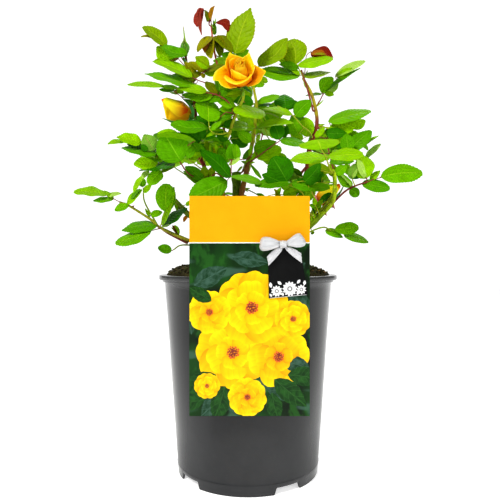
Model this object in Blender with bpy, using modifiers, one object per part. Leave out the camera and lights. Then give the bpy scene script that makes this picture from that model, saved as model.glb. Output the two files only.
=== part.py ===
# Rose bush in a tapered nursery pot, with its picture card, gift tag and bow.
# Metres, +Z up. The origin is on the ground under the middle of the pot, the
# plant's front looks along -Y.
import math

import bmesh
import bpy
from mathutils import Vector, noise

MM = 0.001
CLEAR = 0.0003            # air gap left between neighbouring pieces

# ---- pot -------------------------------------------------------------------
POT_HEIGHT = 0.2070
RIM_RADIUS = 0.0950       # outside of the turned-down rim
RIM_DEPTH = 0.0050
STEP_RADIUS = 0.0912      # small ring under the rim
STEP_DEPTH = 0.0025
BODY_TOP_RADIUS = 0.0890
FOOT_RADIUS = 0.0747
WALL = 0.0016
FLOOR_UNDER = 0.0075      # the floor is carried above the ground on the skirt
FLOOR_THICK = 0.0020
SKIRT_RISE = 0.0110       # moulding line above the foot skirt
NOTCH_HEIGHT = 0.0065
NOTCHES = ((-50.7, 23.5), (31.2, 23.5), (129.0, 23.5), (-149.0, 23.5))
DRAIN_COUNT = 6
DRAIN_RADIUS = 0.0040
DRAIN_RING = 0.0480
POT_STEPS = 36

# ---- compost ---------------------------------------------------------------
HEAP_RISE = 0.0145
HEAP_POWER = 0.70

# ---- picture card, tag and bow ----------------------------------------------
CARD_WIDTH = 0.1084
CARD_BOTTOM = 0.0830
CARD_TOP = 0.2800
CARD_THICK = 0.0008
CARD_BACK_Y = -(RIM_RADIUS + 0.0005)
CARD_CENTRE_X = 0.0017
TAB_WIDTH = 0.0160
TAG_THICK = 0.0015

# ---- bud union ---------------------------------------------------------------
UNION = Vector((-0.008, 0.0, 0.2226))
UNION_RADIUS = 0.0165


def clear_scene():
    for ob in list(bpy.data.objects):
        bpy.data.objects.remove(ob, do_unlink=True)


def collection(name):
    col = bpy.data.collections.new(name)
    bpy.context.scene.collection.children.link(col)
    return col


clear_scene()
PLANT = collection("rose_bush_in_pot")
CUTTERS = collection("cutters")


def material(name, colour, roughness, metallic=0.0):
    mat = bpy.data.materials.new(name)
    mat.use_nodes = True
    bsdf = mat.node_tree.nodes["Principled BSDF"]
    bsdf.inputs["Base Color"].default_value = (*colour, 1.0)
    bsdf.inputs["Roughness"].default_value = roughness
    bsdf.inputs["Metallic"].default_value = metallic
    mat.diffuse_color = (*colour, 1.0)
    return mat


POT_PLASTIC = material("pot_plastic", (0.030, 0.031, 0.034), 0.38)
COMPOST = material("compost", (0.045, 0.027, 0.015), 0.95)
OLD_WOOD = material("old_wood", (0.16, 0.12, 0.06), 0.75)
GREEN_CANE = material("green_cane", (0.20, 0.27, 0.05), 0.50)
RED_CANE = material("red_cane", (0.26, 0.07, 0.04), 0.50)
LEAF_MID = material("leaf_mid", (0.10, 0.36, 0.02), 0.45)
LEAF_DARK = material("leaf_dark", (0.03, 0.20, 0.02), 0.40)
LEAF_LIGHT = material("leaf_light", (0.24, 0.52, 0.01), 0.45)
LEAF_YOUNG = material("leaf_young", (0.30, 0.06, 0.03), 0.45)
LEAF_BRONZE = material("leaf_bronze", (0.22, 0.16, 0.02), 0.45)
PETAL = material("petal_yellow", (0.95, 0.52, 0.01), 0.55)
SEPAL = material("sepal_green", (0.08, 0.25, 0.03), 0.50)
CARD_PRINT = material("card_print", (0.85, 0.48, 0.02), 0.35)
TAG_BLACK = material("tag_black", (0.01, 0.01, 0.012), 0.40)
SATIN = material("satin_white", (0.85, 0.85, 0.86), 0.30)


def adopt(ob, name, mat, col=None):
    """Give the object its node name and material and move it to a collection."""
    ob.name = name
    ob.data.name = name
    ob.data.materials.clear()
    ob.data.materials.append(mat)
    for old in list(ob.users_collection):
        old.objects.unlink(ob)
    (col or PLANT).objects.link(ob)
    return ob


def as_mesh(ob, name, mat, weld=0.00001):
    """Replace a curve or a modified object by its evaluated, welded mesh."""
    deps = bpy.context.evaluated_depsgraph_get()
    mesh = bpy.data.meshes.new_from_object(ob.evaluated_get(deps))
    new = bpy.data.objects.new(name, mesh)
    new.matrix_world = ob.matrix_world
    PLANT.objects.link(new)
    bpy.data.objects.remove(ob, do_unlink=True)
    bm = bmesh.new()
    bm.from_mesh(mesh)
    bmesh.ops.remove_doubles(bm, verts=bm.verts, dist=weld)
    bmesh.ops.recalc_face_normals(bm, faces=bm.faces)
    bm.to_mesh(mesh)
    bm.free()
    return adopt(new, name, mat)


def turned(name, profile, mat, steps=48, col=None):
    """A solid of revolution about Z: the profile runs down its outer side."""
    mesh = bpy.data.meshes.new(name)
    mesh.from_pydata([(r, 0.0, z) for r, z in profile],
                     [(i, i + 1) for i in range(len(profile) - 1)], [])
    ob = bpy.data.objects.new(name, mesh)
    bpy.context.scene.collection.objects.link(ob)
    screw = ob.modifiers.new("turn", "SCREW")
    screw.axis = "Z"
    screw.steps = steps
    screw.render_steps = steps
    screw.use_merge_vertices = True
    screw.merge_threshold = 0.00001
    screw.use_smooth_shade = False
    return adopt(ob, name, mat, col)


def cutter(ob, name):
    adopt(ob, name, POT_PLASTIC, CUTTERS)
    ob.hide_render = True
    ob.display_type = "WIRE"
    return ob


def subtract(ob, tool):
    mod = ob.modifiers.new("cut_" + tool.name[:40], "BOOLEAN")
    mod.operation = "DIFFERENCE"
    mod.solver = "EXACT"
    mod.object = tool


def box(name, lo, hi):
    bpy.ops.mesh.primitive_cube_add(size=1.0)
    ob = bpy.context.object
    ob.location = (Vector(lo) + Vector(hi)) / 2
    ob.scale = Vector(hi) - Vector(lo)
    ob.name = name
    return ob


# ---- pot ---------------------------------------------------------------------
def body_radius(z):
    """Outside radius of the tapering wall at height z."""
    return FOOT_RADIUS + (BODY_TOP_RADIUS - FOOT_RADIUS) * z / (POT_HEIGHT - RIM_DEPTH)


floor_top = FLOOR_UNDER + FLOOR_THICK
rim_under = POT_HEIGHT - RIM_DEPTH
step_under = rim_under - STEP_DEPTH
pot_profile = [
    (0.0, floor_top),
    (body_radius(floor_top) - WALL - 0.003, floor_top),
    (body_radius(floor_top) - WALL, floor_top + 0.003),
    (body_radius(rim_under) - WALL, rim_under),
    (body_radius(rim_under) - WALL, POT_HEIGHT - 0.0004),
    (body_radius(rim_under) - WALL + 0.0006, POT_HEIGHT),
    (RIM_RADIUS - 0.0008, POT_HEIGHT),
    (RIM_RADIUS, POT_HEIGHT - 0.0008),
    (RIM_RADIUS - 0.0003, rim_under),
    (STEP_RADIUS, rim_under - 0.0002),
    (STEP_RADIUS - 0.0002, step_under),
    (body_radius(step_under), step_under - 0.0004),
    (body_radius(SKIRT_RISE), SKIRT_RISE),
    (body_radius(SKIRT_RISE) + 0.0004, SKIRT_RISE - 0.0006),
    (FOOT_RADIUS, 0.0),
    (FOOT_RADIUS - 0.0018, 0.0),
    (FOOT_RADIUS - 0.0018, FLOOR_UNDER - 0.001),
    (FOOT_RADIUS - 0.0028, FLOOR_UNDER),
    (0.0, FLOOR_UNDER),
]
pot = turned("pot", pot_profile, POT_PLASTIC, POT_STEPS)


def notch_cutter(index, azimuth, span):
    """A wedge across the foot skirt, narrower at its top, at an angle measured
    from the front towards +X."""
    half_low = FOOT_RADIUS * math.sin(math.radians(span / 2))
    half_high = half_low - 0.0030
    bm = bmesh.new()
    inner, outer = FOOT_RADIUS - 0.012, FOOT_RADIUS + 0.004
    rows = []
    for r in (inner, outer):
        rows.append([bm.verts.new((x, -r, z)) for x, z in (
            (-half_low, -0.001), (half_low, -0.001),
            (half_high, NOTCH_HEIGHT), (-half_high, NOTCH_HEIGHT))])
    bm.faces.new(rows[0][::-1])
    bm.faces.new(rows[1])
    for i in range(4):
        j = (i + 1) % 4
        bm.faces.new((rows[0][i], rows[0][j], rows[1][j], rows[1][i]))
    bmesh.ops.recalc_face_normals(bm, faces=bm.faces)
    mesh = bpy.data.meshes.new("notch")
    bm.to_mesh(mesh)
    bm.free()
    ob = bpy.data.objects.new("notch", mesh)
    bpy.context.scene.collection.objects.link(ob)
    ob.rotation_euler = (0.0, 0.0, math.radians(azimuth))
    return cutter(ob, "cut_notch_%d" % index)


for i, (azimuth, span) in enumerate(NOTCHES):
    subtract(pot, notch_cutter(i, azimuth, span))
for i in range(DRAIN_COUNT):
    a = 2 * math.pi * (i + 0.5) / DRAIN_COUNT
    bpy.ops.mesh.primitive_cylinder_add(
        vertices=10, radius=DRAIN_RADIUS, depth=0.02,
        location=(DRAIN_RING * math.cos(a), DRAIN_RING * math.sin(a), floor_top))
    subtract(pot, cutter(bpy.context.object, "cut_drain_%d" % i))

# ---- compost -----------------------------------------------------------------
inner_top = body_radius(rim_under) - WALL - CLEAR
inner_low = body_radius(floor_top) - WALL - CLEAR


def heap_height(r):
    """Height of the heap's surface, domed from the rim to the middle."""
    t = max(0.0, 1.0 - (r / inner_top) ** 2)
    return POT_HEIGHT + 0.0002 + HEAP_RISE * t ** HEAP_POWER


heap_rings = [0.022, 0.036, 0.050, 0.063, 0.075, 0.083]
heap_profile = [(0.0, heap_height(0.022))]
heap_profile += [(r, heap_height(r)) for r in heap_rings]
heap_profile += [
    (inner_top, POT_HEIGHT + 0.0002),
    (inner_top, rim_under),
    (inner_low, floor_top + 0.003 + CLEAR),
    (inner_low - 0.003, floor_top + CLEAR),
    (0.0, floor_top + CLEAR),
]
heap = turned("compost", heap_profile, COMPOST, POT_STEPS)
heap = as_mesh(heap, "compost", COMPOST)
for v in heap.data.vertices:
    r = math.hypot(v.co.x, v.co.y)
    if v.co.z > POT_HEIGHT + 0.001 and r > 0.030:
        fade = min(1.0, (r - 0.030) / 0.012)
        v.co.z += 0.0016 * fade * noise.noise(v.co * 60.0)

# ---- picture card hung over the rim --------------------------------------------
card_front = CARD_BACK_Y - CARD_THICK
card = box("card", (CARD_CENTRE_X - CARD_WIDTH / 2, card_front, CARD_BOTTOM),
           (CARD_CENTRE_X + CARD_WIDTH / 2, CARD_BACK_Y, CARD_TOP))
tab_low = POT_HEIGHT + CLEAR
leg_outer = -(body_radius(rim_under) - WALL - 0.0012)
tab = box("tab", (-TAB_WIDTH / 2, CARD_BACK_Y - CARD_THICK / 2, tab_low),
          (TAB_WIDTH / 2, leg_outer + CARD_THICK, tab_low + CARD_THICK))
leg = box("leg", (-TAB_WIDTH / 2, leg_outer, tab_low - 0.010),
          (TAB_WIDTH / 2, leg_outer + CARD_THICK, tab_low + CARD_THICK / 2))


def united(first, others, name, mat):
    """Boolean union of the first object with the others, as one mesh."""
    for other in others:
        mod = first.modifiers.new("join", "BOOLEAN")
        mod.operation = "UNION"
        mod.solver = "EXACT"
        mod.object = other
    out = as_mesh(first, name, mat)
    for other in others:
        bpy.data.objects.remove(other, do_unlink=True)
    return out


bpy.context.view_layer.update()
card = united(card, [tab, leg], "picture_card", CARD_PRINT)
slot = cutter(box("slot", (-TAB_WIDTH / 2 - CLEAR, leg_outer - 0.004, tab_low - 0.0103),
                  (TAB_WIDTH / 2 + CLEAR, leg_outer + CARD_THICK + CLEAR, tab_low + 0.02)),
              "cut_card_slot")
subtract(heap, slot)


# ---- gift tag: a flat tag with a pointed top, turned a little --------------------
def flat_plate(name, corners, front, thick, mat):
    """A flat outline in the XZ plane, front face at y = front."""
    curve = bpy.data.curves.new(name, "CURVE")
    curve.dimensions = "2D"
    curve.fill_mode = "BOTH"
    curve.extrude = thick / 2
    spline = curve.splines.new("POLY")
    spline.points.add(len(corners) - 1)
    for p, (x, z) in zip(spline.points, corners):
        p.co = (x, z, 0.0, 1.0)
    spline.use_cyclic_u = True
    ob = bpy.data.objects.new(name, curve)
    bpy.context.scene.collection.objects.link(ob)
    ob.rotation_euler = (math.pi / 2, 0.0, 0.0)
    ob.location = (0.0, front + thick / 2, 0.0)
    bpy.context.view_layer.update()
    return as_mesh(ob, name, mat)


TAG_WIDTH_TOP = 0.0304
TAG_WIDTH_LOW = 0.0352
TAG_SIDE = 0.0295
TAG_PEAK = 0.0145
TAG_CENTRE = (0.0347, 0.2031)     # middle of the lower half, in x and z
TAG_TURN = math.radians(4.0)


def tag_point(x, z):
    c, s = math.cos(TAG_TURN), math.sin(TAG_TURN)
    return (TAG_CENTRE[0] + c * x - s * z, TAG_CENTRE[1] + s * x + c * z)


tag_front = card_front - CLEAR - TAG_THICK
flat_plate("gift_tag", [
    tag_point(-TAG_WIDTH_LOW / 2, -TAG_SIDE / 2),
    tag_point(TAG_WIDTH_LOW / 2, -TAG_SIDE / 2),
    tag_point(TAG_WIDTH_TOP / 2, TAG_SIDE / 2),
    tag_point(0.0, TAG_SIDE / 2 + TAG_PEAK),
    tag_point(-TAG_WIDTH_TOP / 2, TAG_SIDE / 2)], tag_front, TAG_THICK, TAG_BLACK)

# ---- bow: two loops, a knot and two tails -----------------------------------------
BOW_KNOT = Vector((0.0310, 0.0, 0.2366))
BOW_FRONT = tag_front - CLEAR
BOW_LOOP = 0.0200
BOW_TILT = math.radians(8.0)


def bow_loop(side):
    """One plump loop that widens from the knot to its rounded outer end."""
    bpy.ops.mesh.primitive_uv_sphere_add(segments=10, ring_count=6, radius=1.0)
    ob = bpy.context.object
    for v in ob.data.vertices:
        x, y, z = v.co
        t = (x + 1) / 2
        half = (0.0020 + 0.0056 * t ** 0.8)
        v.co = (side * BOW_LOOP * t, 0.0036 * y * (0.55 + 0.45 * t), z * half)
    if side < 0:
        bm = bmesh.new()
        bm.from_mesh(ob.data)
        bmesh.ops.reverse_faces(bm, faces=bm.faces)
        bm.to_mesh(ob.data)
        bm.free()
    ob.rotation_euler = (0.0, -BOW_TILT, 0.0)
    ob.location = BOW_KNOT + Vector((0.0, BOW_FRONT - 0.0042, 0.0008))
    return ob


def bow_tail(side, reach, drop):
    ob = box("tail", (-0.0034, 0.0, -1.0), (0.0034, 0.0009, 0.0))
    length = math.hypot(reach, drop)
    ob.scale.z = length
    ob.rotation_euler = (0.0, -math.atan2(side * reach, drop), 0.0)
    mid = Vector((side * reach / 2, 0.0, -drop / 2))
    ob.location = BOW_KNOT + mid + Vector((0.0, BOW_FRONT - 0.0012, 0.0))
    return ob


bpy.ops.mesh.primitive_uv_sphere_add(segments=10, ring_count=6, radius=1.0)
knot = bpy.context.object
knot.scale = (0.0040, 0.0040, 0.0034)
knot.location = BOW_KNOT + Vector((0.0, BOW_FRONT - 0.0042, 0.0))
loops = [bow_loop(-1), bow_loop(1)]
tails = [bow_tail(-1, 0.0130, 0.0175), bow_tail(1, 0.0150, 0.0145)]
bpy.context.view_layer.update()
united(knot, loops + tails, "bow", SATIN)

# ---- bud union: the swollen foot the canes spring from ------------------------------
bpy.ops.mesh.primitive_uv_sphere_add(segments=14, ring_count=10, radius=UNION_RADIUS)
foot = bpy.context.object
foot.location = UNION
under = box("under", (-0.05, -0.05, 0.10), (0.05, 0.05, heap_height(0.022) + CLEAR))
bpy.context.view_layer.update()
mod = foot.modifiers.new("flat", "BOOLEAN")
mod.operation = "DIFFERENCE"
mod.solver = "EXACT"
mod.object = under
as_mesh(foot, "bud_union", OLD_WOOD)
bpy.data.objects.remove(under, do_unlink=True)


# ---- canes -------------------------------------------------------------------------
def smooth_path(knots, per_span):
    """Points on a Catmull-Rom curve through the knots."""
    pts = [Vector(k) for k in knots]
    ext = [pts[0] * 2 - pts[1]] + pts + [pts[-1] * 2 - pts[-2]]
    out = []
    for i in range(1, len(ext) - 2):
        p0, p1, p2, p3 = ext[i - 1:i + 3]
        for s in range(per_span):
            t = s / per_span
            out.append(0.5 * ((2 * p1) + (p2 - p0) * t
                              + (2 * p0 - 5 * p1 + 4 * p2 - p3) * t * t
                              + (3 * p1 - p0 - 3 * p2 + p3) * t ** 3))
    out.append(pts[-1])
    return out


LIMBS = {}


def limb(name, mat, thick, thin, knots, per_span=1, from_union=False):
    """A tapering cane through a few knots, given in millimetres. Its radius
    falls from thick to thin. A cane of the bud union starts on its surface."""
    knots = [Vector(k) * MM for k in knots]
    if from_union:
        aim = (knots[0] - UNION).normalized()
        knots.insert(0, UNION + aim * (UNION_RADIUS + CLEAR))
    path = smooth_path(knots, per_span)
    length = [0.0]
    for a, b in zip(path, path[1:]):
        length.append(length[-1] + (b - a).length)
    curve = bpy.data.curves.new(name, "CURVE")
    curve.dimensions = "3D"
    curve.bevel_depth = thick * MM
    curve.bevel_resolution = 1
    curve.use_fill_caps = True
    spline = curve.splines.new("POLY")
    spline.points.add(len(path) - 1)
    for p, co, s in zip(spline.points, path, length):
        p.co = (*co, 1.0)
        p.radius = 1.0 + (thin / thick - 1.0) * s / length[-1]
    ob = bpy.data.objects.new(name, curve)
    bpy.context.scene.collection.objects.link(ob)
    bpy.context.view_layer.update()
    LIMBS[name] = (path, thick * MM, thin * MM)
    return as_mesh(ob, name, mat)


def beside(name, at, towards, own_radius):
    """A start point just clear of another limb's side, in millimetres: at is
    how far along that limb, towards is where the new limb heads."""
    path, thick, thin = LIMBS[name]
    k = at * (len(path) - 1)
    i = min(int(k), len(path) - 2)
    p = path[i].lerp(path[i + 1], k - i)
    axis = (path[i + 1] - path[i]).normalized()
    r = thick + (thin - thick) * at
    out = Vector(towards) * MM - p
    side = (out - axis * out.dot(axis)).normalized()
    slope = out.normalized()
    lift = own_radius * MM * abs(slope.dot(axis)) / max(0.3, slope.dot(side))
    return (p + side * (r * 1.02 + CLEAR) + slope * lift) / MM


limb("cane_old_wood", OLD_WOOD, 5.6, 4.8, [(-9, 9, 258), (-12, 14, 292), (-13, 15, 320)],
     from_union=True)
limb("cane_left_tall", RED_CANE, 3.0, 1.3,
     [(-31, -7, 262), (-44, -10, 284), (-46, -12, 319), (-51, -14, 333), (-55, -16, 371),
      (-58, -18, 408), (-63, -20, 421), (-65, -22, 435)], from_union=True)
limb("cane_rose", GREEN_CANE, 2.9, 1.4,
     [(-19, -22, 260), (-27, -24, 301), (-24, -28, 341), (-19, -30, 353), (-12.5, -34, 371),
      (-5, -42, 384), (-5, -48, 389)], from_union=True)
limb("cane_right_tall", RED_CANE, 3.3, 1.3,
     [(18, 11, 259), (47, 16, 290), (65, 20, 318), (69, 24, 346), (78, 28, 375),
      (77.5, 28, 392), (72, 26, 411), (62, 22, 428)], from_union=True)
limb("cane_right_thick", GREEN_CANE, 3.3, 1.9,
     [(30, -15, 239), (54, -24, 249), (77, -36, 271), (86, -40, 284), (87, -42, 303),
      (85, -42, 313)], from_union=True)
limb("cane_right_inner", GREEN_CANE, 2.6, 1.6,
     [(24, 10, 240), (60, 2, 256), (70, -6, 276), (74, -10, 284)], from_union=True)
limb("cane_left_low", GREEN_CANE, 2.6, 1.0,
     [(-36, -14, 234), (-62, -17, 243), (-91, -18, 256), (-102, -18, 265), (-124, -20, 279),
      (-134, -20, 283)], from_union=True)
limb("cane_left_stub", OLD_WOOD, 3.2, 3.0, [(-46, 9, 257), (-66, 14, 273), (-82, 16, 289)],
     from_union=True)
limb("cane_back_left", GREEN_CANE, 2.8, 1.3,
     [(-26, 24, 248), (-44, 52, 288), (-52, 76, 330), (-58, 88, 348)], from_union=True)
limb("cane_back_right", RED_CANE, 2.8, 1.3,
     [(12, 32, 252), (38, 58, 290), (66, 76, 330), (82, 84, 350)], from_union=True)
limb("cane_back_middle", GREEN_CANE, 2.4, 1.2,
     [(-8, 32, 242), (-4, 62, 270), (8, 88, 330), (14, 94, 374)], from_union=True)

limb("cane_centre", OLD_WOOD, 3.1, 1.3,
     [beside("cane_old_wood", 0.62, (6, 4, 345), 3.1), (2, 0, 337), (6, -6, 356),
      (9, -10, 386), (6, -12, 405)])
limb("shoot_red", RED_CANE, 1.7, 0.9,
     [beside("cane_rose", 0.63, (-30, -4, 400), 1.7), (-26, -8, 398), (-33, -2, 432),
      (-37, 0, 452), (-40, 0, 476)])
limb("twig_left", GREEN_CANE, 1.0, 0.7,
     [beside("cane_left_low", 0.67, (-112, -17, 296), 1.0), (-108, -17, 282), (-110, -18, 293)])
limb("twig_lowest_left", GREEN_CANE, 0.9, 0.7,
     [beside("cane_left_low", 0.27, (-70, -11, 239), 0.9), (-70, -11, 238.5), (-79, -12, 233.5)])
limb("twig_low_right", GREEN_CANE, 1.0, 0.7,
     [beside("cane_right_thick", 0.36, (80, -33, 255), 1.0), (74, -33, 255.5), (84, -34, 252.5)])
limb("shoot_far_right", RED_CANE, 1.2, 0.8,
     [beside("cane_right_thick", 0.66, (112, -30, 299), 1.2), (97, -36, 291), (112, -27, 299.5),
      (125, -21, 304)])


# ---- foliage masses -----------------------------------------------------------------
def foliage(name, mat, centre, half, tips, detail=3, seed=1, rough=0.10, spread=26.0,
            around=()):
    """A closed, uneven mass: an ellipsoid whose surface is drawn out to each
    reach point in tips. All sizes in millimetres. Canes that run through it
    are cut out of it with their air gap."""
    centre, half = Vector(centre), Vector(half)
    bpy.ops.mesh.primitive_ico_sphere_add(subdivisions=detail, radius=1.0)
    ob = bpy.context.object
    pulls = []
    for tip in tips:
        rel = Vector(tip) - centre
        unit = Vector((rel.x / half.x, rel.y / half.y, rel.z / half.z))
        pulls.append((unit.normalized(), unit.length, rel))
    verts = ob.data.vertices
    dirs = [v.co.normalized() for v in verts]
    nearest = {max(range(len(dirs)), key=lambda i: dirs[i].dot(u)): rel for u, _, rel in pulls}
    off = Vector((seed * 7.31, seed * 3.17, seed * 1.73))
    width = math.radians(spread)
    for i, v in enumerate(verts):
        d = dirs[i]
        s = 1.0 + rough * noise.noise(d * 1.9 + off) * 1.6
        for u, length, _ in pulls:
            a = math.acos(max(-1.0, min(1.0, d.dot(u))))
            s += (length - 1.0) * math.exp(-(a / width) ** 2) * 0.92
        rel = nearest.get(i) or Vector((half.x * d.x, half.y * d.y, half.z * d.z)) * s
        v.co = rel * MM
    ob.location = centre * MM
    adopt(ob, name, mat)
    for limb_name in around:
        path, thick, thin = LIMBS[limb_name]
        curve = bpy.data.curves.new("sleeve", "CURVE")
        curve.dimensions = "3D"
        curve.bevel_depth = 1.0
        curve.bevel_resolution = 1
        curve.use_fill_caps = True
        spline = curve.splines.new("POLY")
        last = (path[-1] - path[-2]).normalized() * 2 * CLEAR
        run = path[:-1] + [path[-1] + last]
        spline.points.add(len(run) - 1)
        total = sum((b - a).length for a, b in zip(run, run[1:]))
        gone = 0.0
        for k, (p, co) in enumerate(zip(spline.points, run)):
            if k:
                gone += (co - run[k - 1]).length
            p.co = (*co, 1.0)
            p.radius = (thick + (thin - thick) * gone / total) * 1.05 + CLEAR * 1.6
        sleeve = bpy.data.objects.new("sleeve", curve)
        bpy.context.scene.collection.objects.link(sleeve)
        bpy.context.view_layer.update()
        sleeve = as_mesh(sleeve, "sleeve", mat)
        subtract(ob, cutter(sleeve, "cut_%s_%s" % (name[8:30], limb_name[:22])))
    return ob


foliage("foliage_top_leaf", LEAF_MID, (-8, -6, 472), (12, 5, 18),
        [(2.5, -4, 497), (-15, -6, 448)], detail=2, seed=2)
foliage("foliage_shoot_tip", LEAF_YOUNG, (-40, 0, 479), (12, 6, 9),
        [(-58, 0, 470), (-50, 0, 464), (-36, 0, 498), (-21, -2, 468)], seed=3,
        around=("shoot_red",))
foliage("foliage_bronze", LEAF_BRONZE, (-36, 1, 453), (14, 7, 8),
        [(-54, 2, 449), (-42, 4, 442), (-18, 0, 450)], seed=4, around=("shoot_red",))
foliage("foliage_upper_right", LEAF_MID, (52, 20, 447), (28, 9, 14),
        [(9, 16, 448), (45, 20, 472), (95, 22, 446), (16, 18, 427), (92, 20, 434)], seed=5,
        around=("cane_right_tall",))
foliage("foliage_upper_left", LEAF_LIGHT, (-67, -38, 405), (30, 7, 14),
        [(-104, -38, 412), (-97, -38, 423), (-42, -36, 424), (-123, -36, 402), (-40, -40, 392)],
        seed=6)
foliage("foliage_upper_left_tip", LEAF_DARK, (-82, -38, 439), (15, 6, 9),
        [(-107, -40, 461), (-94, -38, 428), (-65, -38, 433), (-108, -38, 449)], detail=2, seed=7)
foliage("foliage_centre_left", LEAF_MID, (-38, -54, 365), (22, 9, 17),
        [(-70, -54, 352), (-12, -58, 387), (-28, -54, 342), (-50, -54, 388)], seed=8)
foliage("foliage_left_mid", LEAF_MID, (-86, -60, 327), (24, 10, 13),
        [(-135, -62, 337), (-56, -58, 342), (-108, -60, 309), (-88, -58, 298)], seed=9)
foliage("foliage_centre_top", LEAF_LIGHT, (4, -72, 357), (22, 8, 9),
        [(-29, -74, 346), (42, -76, 352), (36, -64, 369), (-13, -70, 369)], seed=10)
foliage("foliage_behind_rose", LEAF_DARK, (43, 4, 384), (20, 8, 12),
        [(14, 6, 398), (66, 12, 390), (62, 10, 361), (30, 4, 364)], detail=2, seed=11)
foliage("foliage_centre_middle", LEAF_MID, (14, 22, 350), (24, 7, 10),
        [(54, 14, 346), (-22, 24, 350), (36, 24, 336), (-14, 24, 338)], detail=2, seed=12)
foliage("foliage_centre_low", LEAF_DARK, (-4, -52, 300), (30, 8, 11),
        [(-57, -52, 287), (43, -52, 321), (22, -52, 324), (-56, -50, 300)], seed=13)
foliage("foliage_right_low", LEAF_DARK, (61, -5, 313), (15, 7, 11),
        [(83, -8, 318), (46, -4, 303), (78, -6, 302)], detail=2, seed=14)
foliage("foliage_right_front", LEAF_LIGHT, (70, -88, 318), (22, 9, 8),
        [(103, -92, 322), (36, -86, 319), (47, -92, 331), (80, -62, 303), (62, -140, 315)],
        seed=15)
foliage("foliage_right_upper", LEAF_MID, (104, -10, 361), (20, 9, 14),
        [(130, -12, 381), (82, -8, 379), (76, -8, 354), (131, -12, 360), (104, -14, 338)],
        seed=16)
foliage("foliage_right_side", LEAF_LIGHT, (111, -26, 318), (15, 8, 11),
        [(136, -28, 342), (134, -26, 312), (96, -30, 308)], detail=2, seed=17)
foliage("foliage_far_right", LEAF_MID, (148, -20, 307), (19, 6, 8),
        [(182, -20, 314), (122, -20, 303), (149, -22, 295), (143, -20, 322)], detail=2, seed=18,
        around=("shoot_far_right",))
foliage("foliage_right_spray", LEAF_LIGHT, (98, 38, 430), (15, 6, 7),
        [(134, 40, 453), (69, 36, 414), (104, 40, 414)], detail=2, seed=19)
foliage("foliage_low_right", LEAF_MID, (101, -35, 250), (13, 5, 5.5),
        [(121, -35, 240), (84, -35, 250), (112, -35, 259)], detail=2, seed=20,
        around=("twig_low_right",))
foliage("foliage_far_left", LEAF_LIGHT, (-150, -20, 289), (18, 6, 6),
        [(-182, -20, 295), (-137, -22, 276), (-122, -20, 291)], detail=2, seed=21,
        around=("cane_left_low",))
foliage("foliage_left_upright", LEAF_MID, (-84, -27, 281), (9, 5, 15),
        [(-91, -28, 300), (-78, -28, 299), (-86, -28, 265), (-67, -28, 272)], detail=2, seed=22)
foliage("foliage_left_twig", LEAF_MID, (-112, -18, 301), (8, 5, 6),
        [(-124, -18, 294), (-114, -18, 312), (-102, -18, 303)], detail=2, seed=23,
        around=("twig_left",))
foliage("foliage_low_left", LEAF_MID, (-115, -25, 248), (15, 5.5, 6.5),
        [(-137, -26, 238), (-131, -25, 253), (-97, -25, 252)], detail=2, seed=24)
foliage("foliage_lowest_left", LEAF_DARK, (-86, -12, 234.5), (8, 4, 4.5), [], detail=2,
        seed=25, around=("twig_lowest_left",))
foliage("foliage_back_left", LEAF_MID, (-66, 96, 358), (30, 20, 20),
        [(-112, 116, 372), (-70, 140, 352), (-46, 100, 392), (-96, 76, 330)], seed=26,
        around=("cane_back_left",))
foliage("foliage_back_right", LEAF_DARK, (104, 88, 368), (28, 20, 20),
        [(148, 100, 392), (108, 138, 350), (84, 84, 402), (140, 70, 346)], seed=27,
        around=("cane_back_right",))
foliage("foliage_back_middle", LEAF_MID, (16, 98, 392), (25, 17, 16),
        [(-12, 128, 398), (46, 118, 404), (20, 92, 420)], detail=2, seed=28,
        around=("cane_back_middle",))
foliage("foliage_back_top", LEAF_MID, (-8, 58, 436), (20, 13, 13),
        [(-31, 66, 446), (15, 50, 452), (-4, 84, 431)], detail=2, seed=30)
foliage("foliage_middle_left", LEAF_DARK, (-64, 40, 352), (24, 13, 14),
        [(-100, 44, 362), (-42, 52, 338), (-62, 58, 374)], detail=2, seed=31)
foliage("foliage_middle_right", LEAF_LIGHT, (106, 44, 366), (20, 12, 14),
        [(134, 50, 378), (96, 58, 340), (112, 66, 386)], detail=2, seed=32)
foliage("foliage_middle_low", LEAF_MID, (54, 48, 318), (19, 11, 10),
        [(82, 44, 324), (30, 60, 312), (58, 70, 322)], detail=2, seed=33)
foliage("foliage_back_low", LEAF_DARK, (24, 100, 276), (32, 18, 15),
        [(-26, 130, 268), (72, 120, 284), (34, 138, 262)], detail=2, seed=29)


# ---- blooms -------------------------------------------------------------------------
def aim_at(ob, base, direction):
    """Stand a turned piece on base (mm) with its +Z along direction."""
    ob.rotation_euler = Vector(direction).to_track_quat("Z", "Y").to_euler()
    ob.location = Vector(base) * MM


def bloom(name, mat, base, direction, length, width, belly, mouth, steps=14):
    """A bud or cupped flower as a turned body: belly is where it is widest and
    mouth the relative width of its open end."""
    rows = 7
    profile = [(0.0, length)]
    for k in range(rows):
        t = 1.0 - k / (rows - 1) * 0.97
        if t > belly:
            u = (t - belly) / (1 - belly)
            r = 1.0 - (1.0 - mouth) * u ** 1.6
        else:
            r = math.sin(math.pi / 2 * (t / belly) ** 0.8)
        profile.append((max(0.04, r) * width / 2, t * length - (0.002 * length if k == 0 else 0)))
    profile.append((0.0, 0.0))
    ob = turned(name, [(r * MM, z * MM) for r, z in profile], mat, steps)
    aim_at(ob, base, direction)
    return ob


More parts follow.
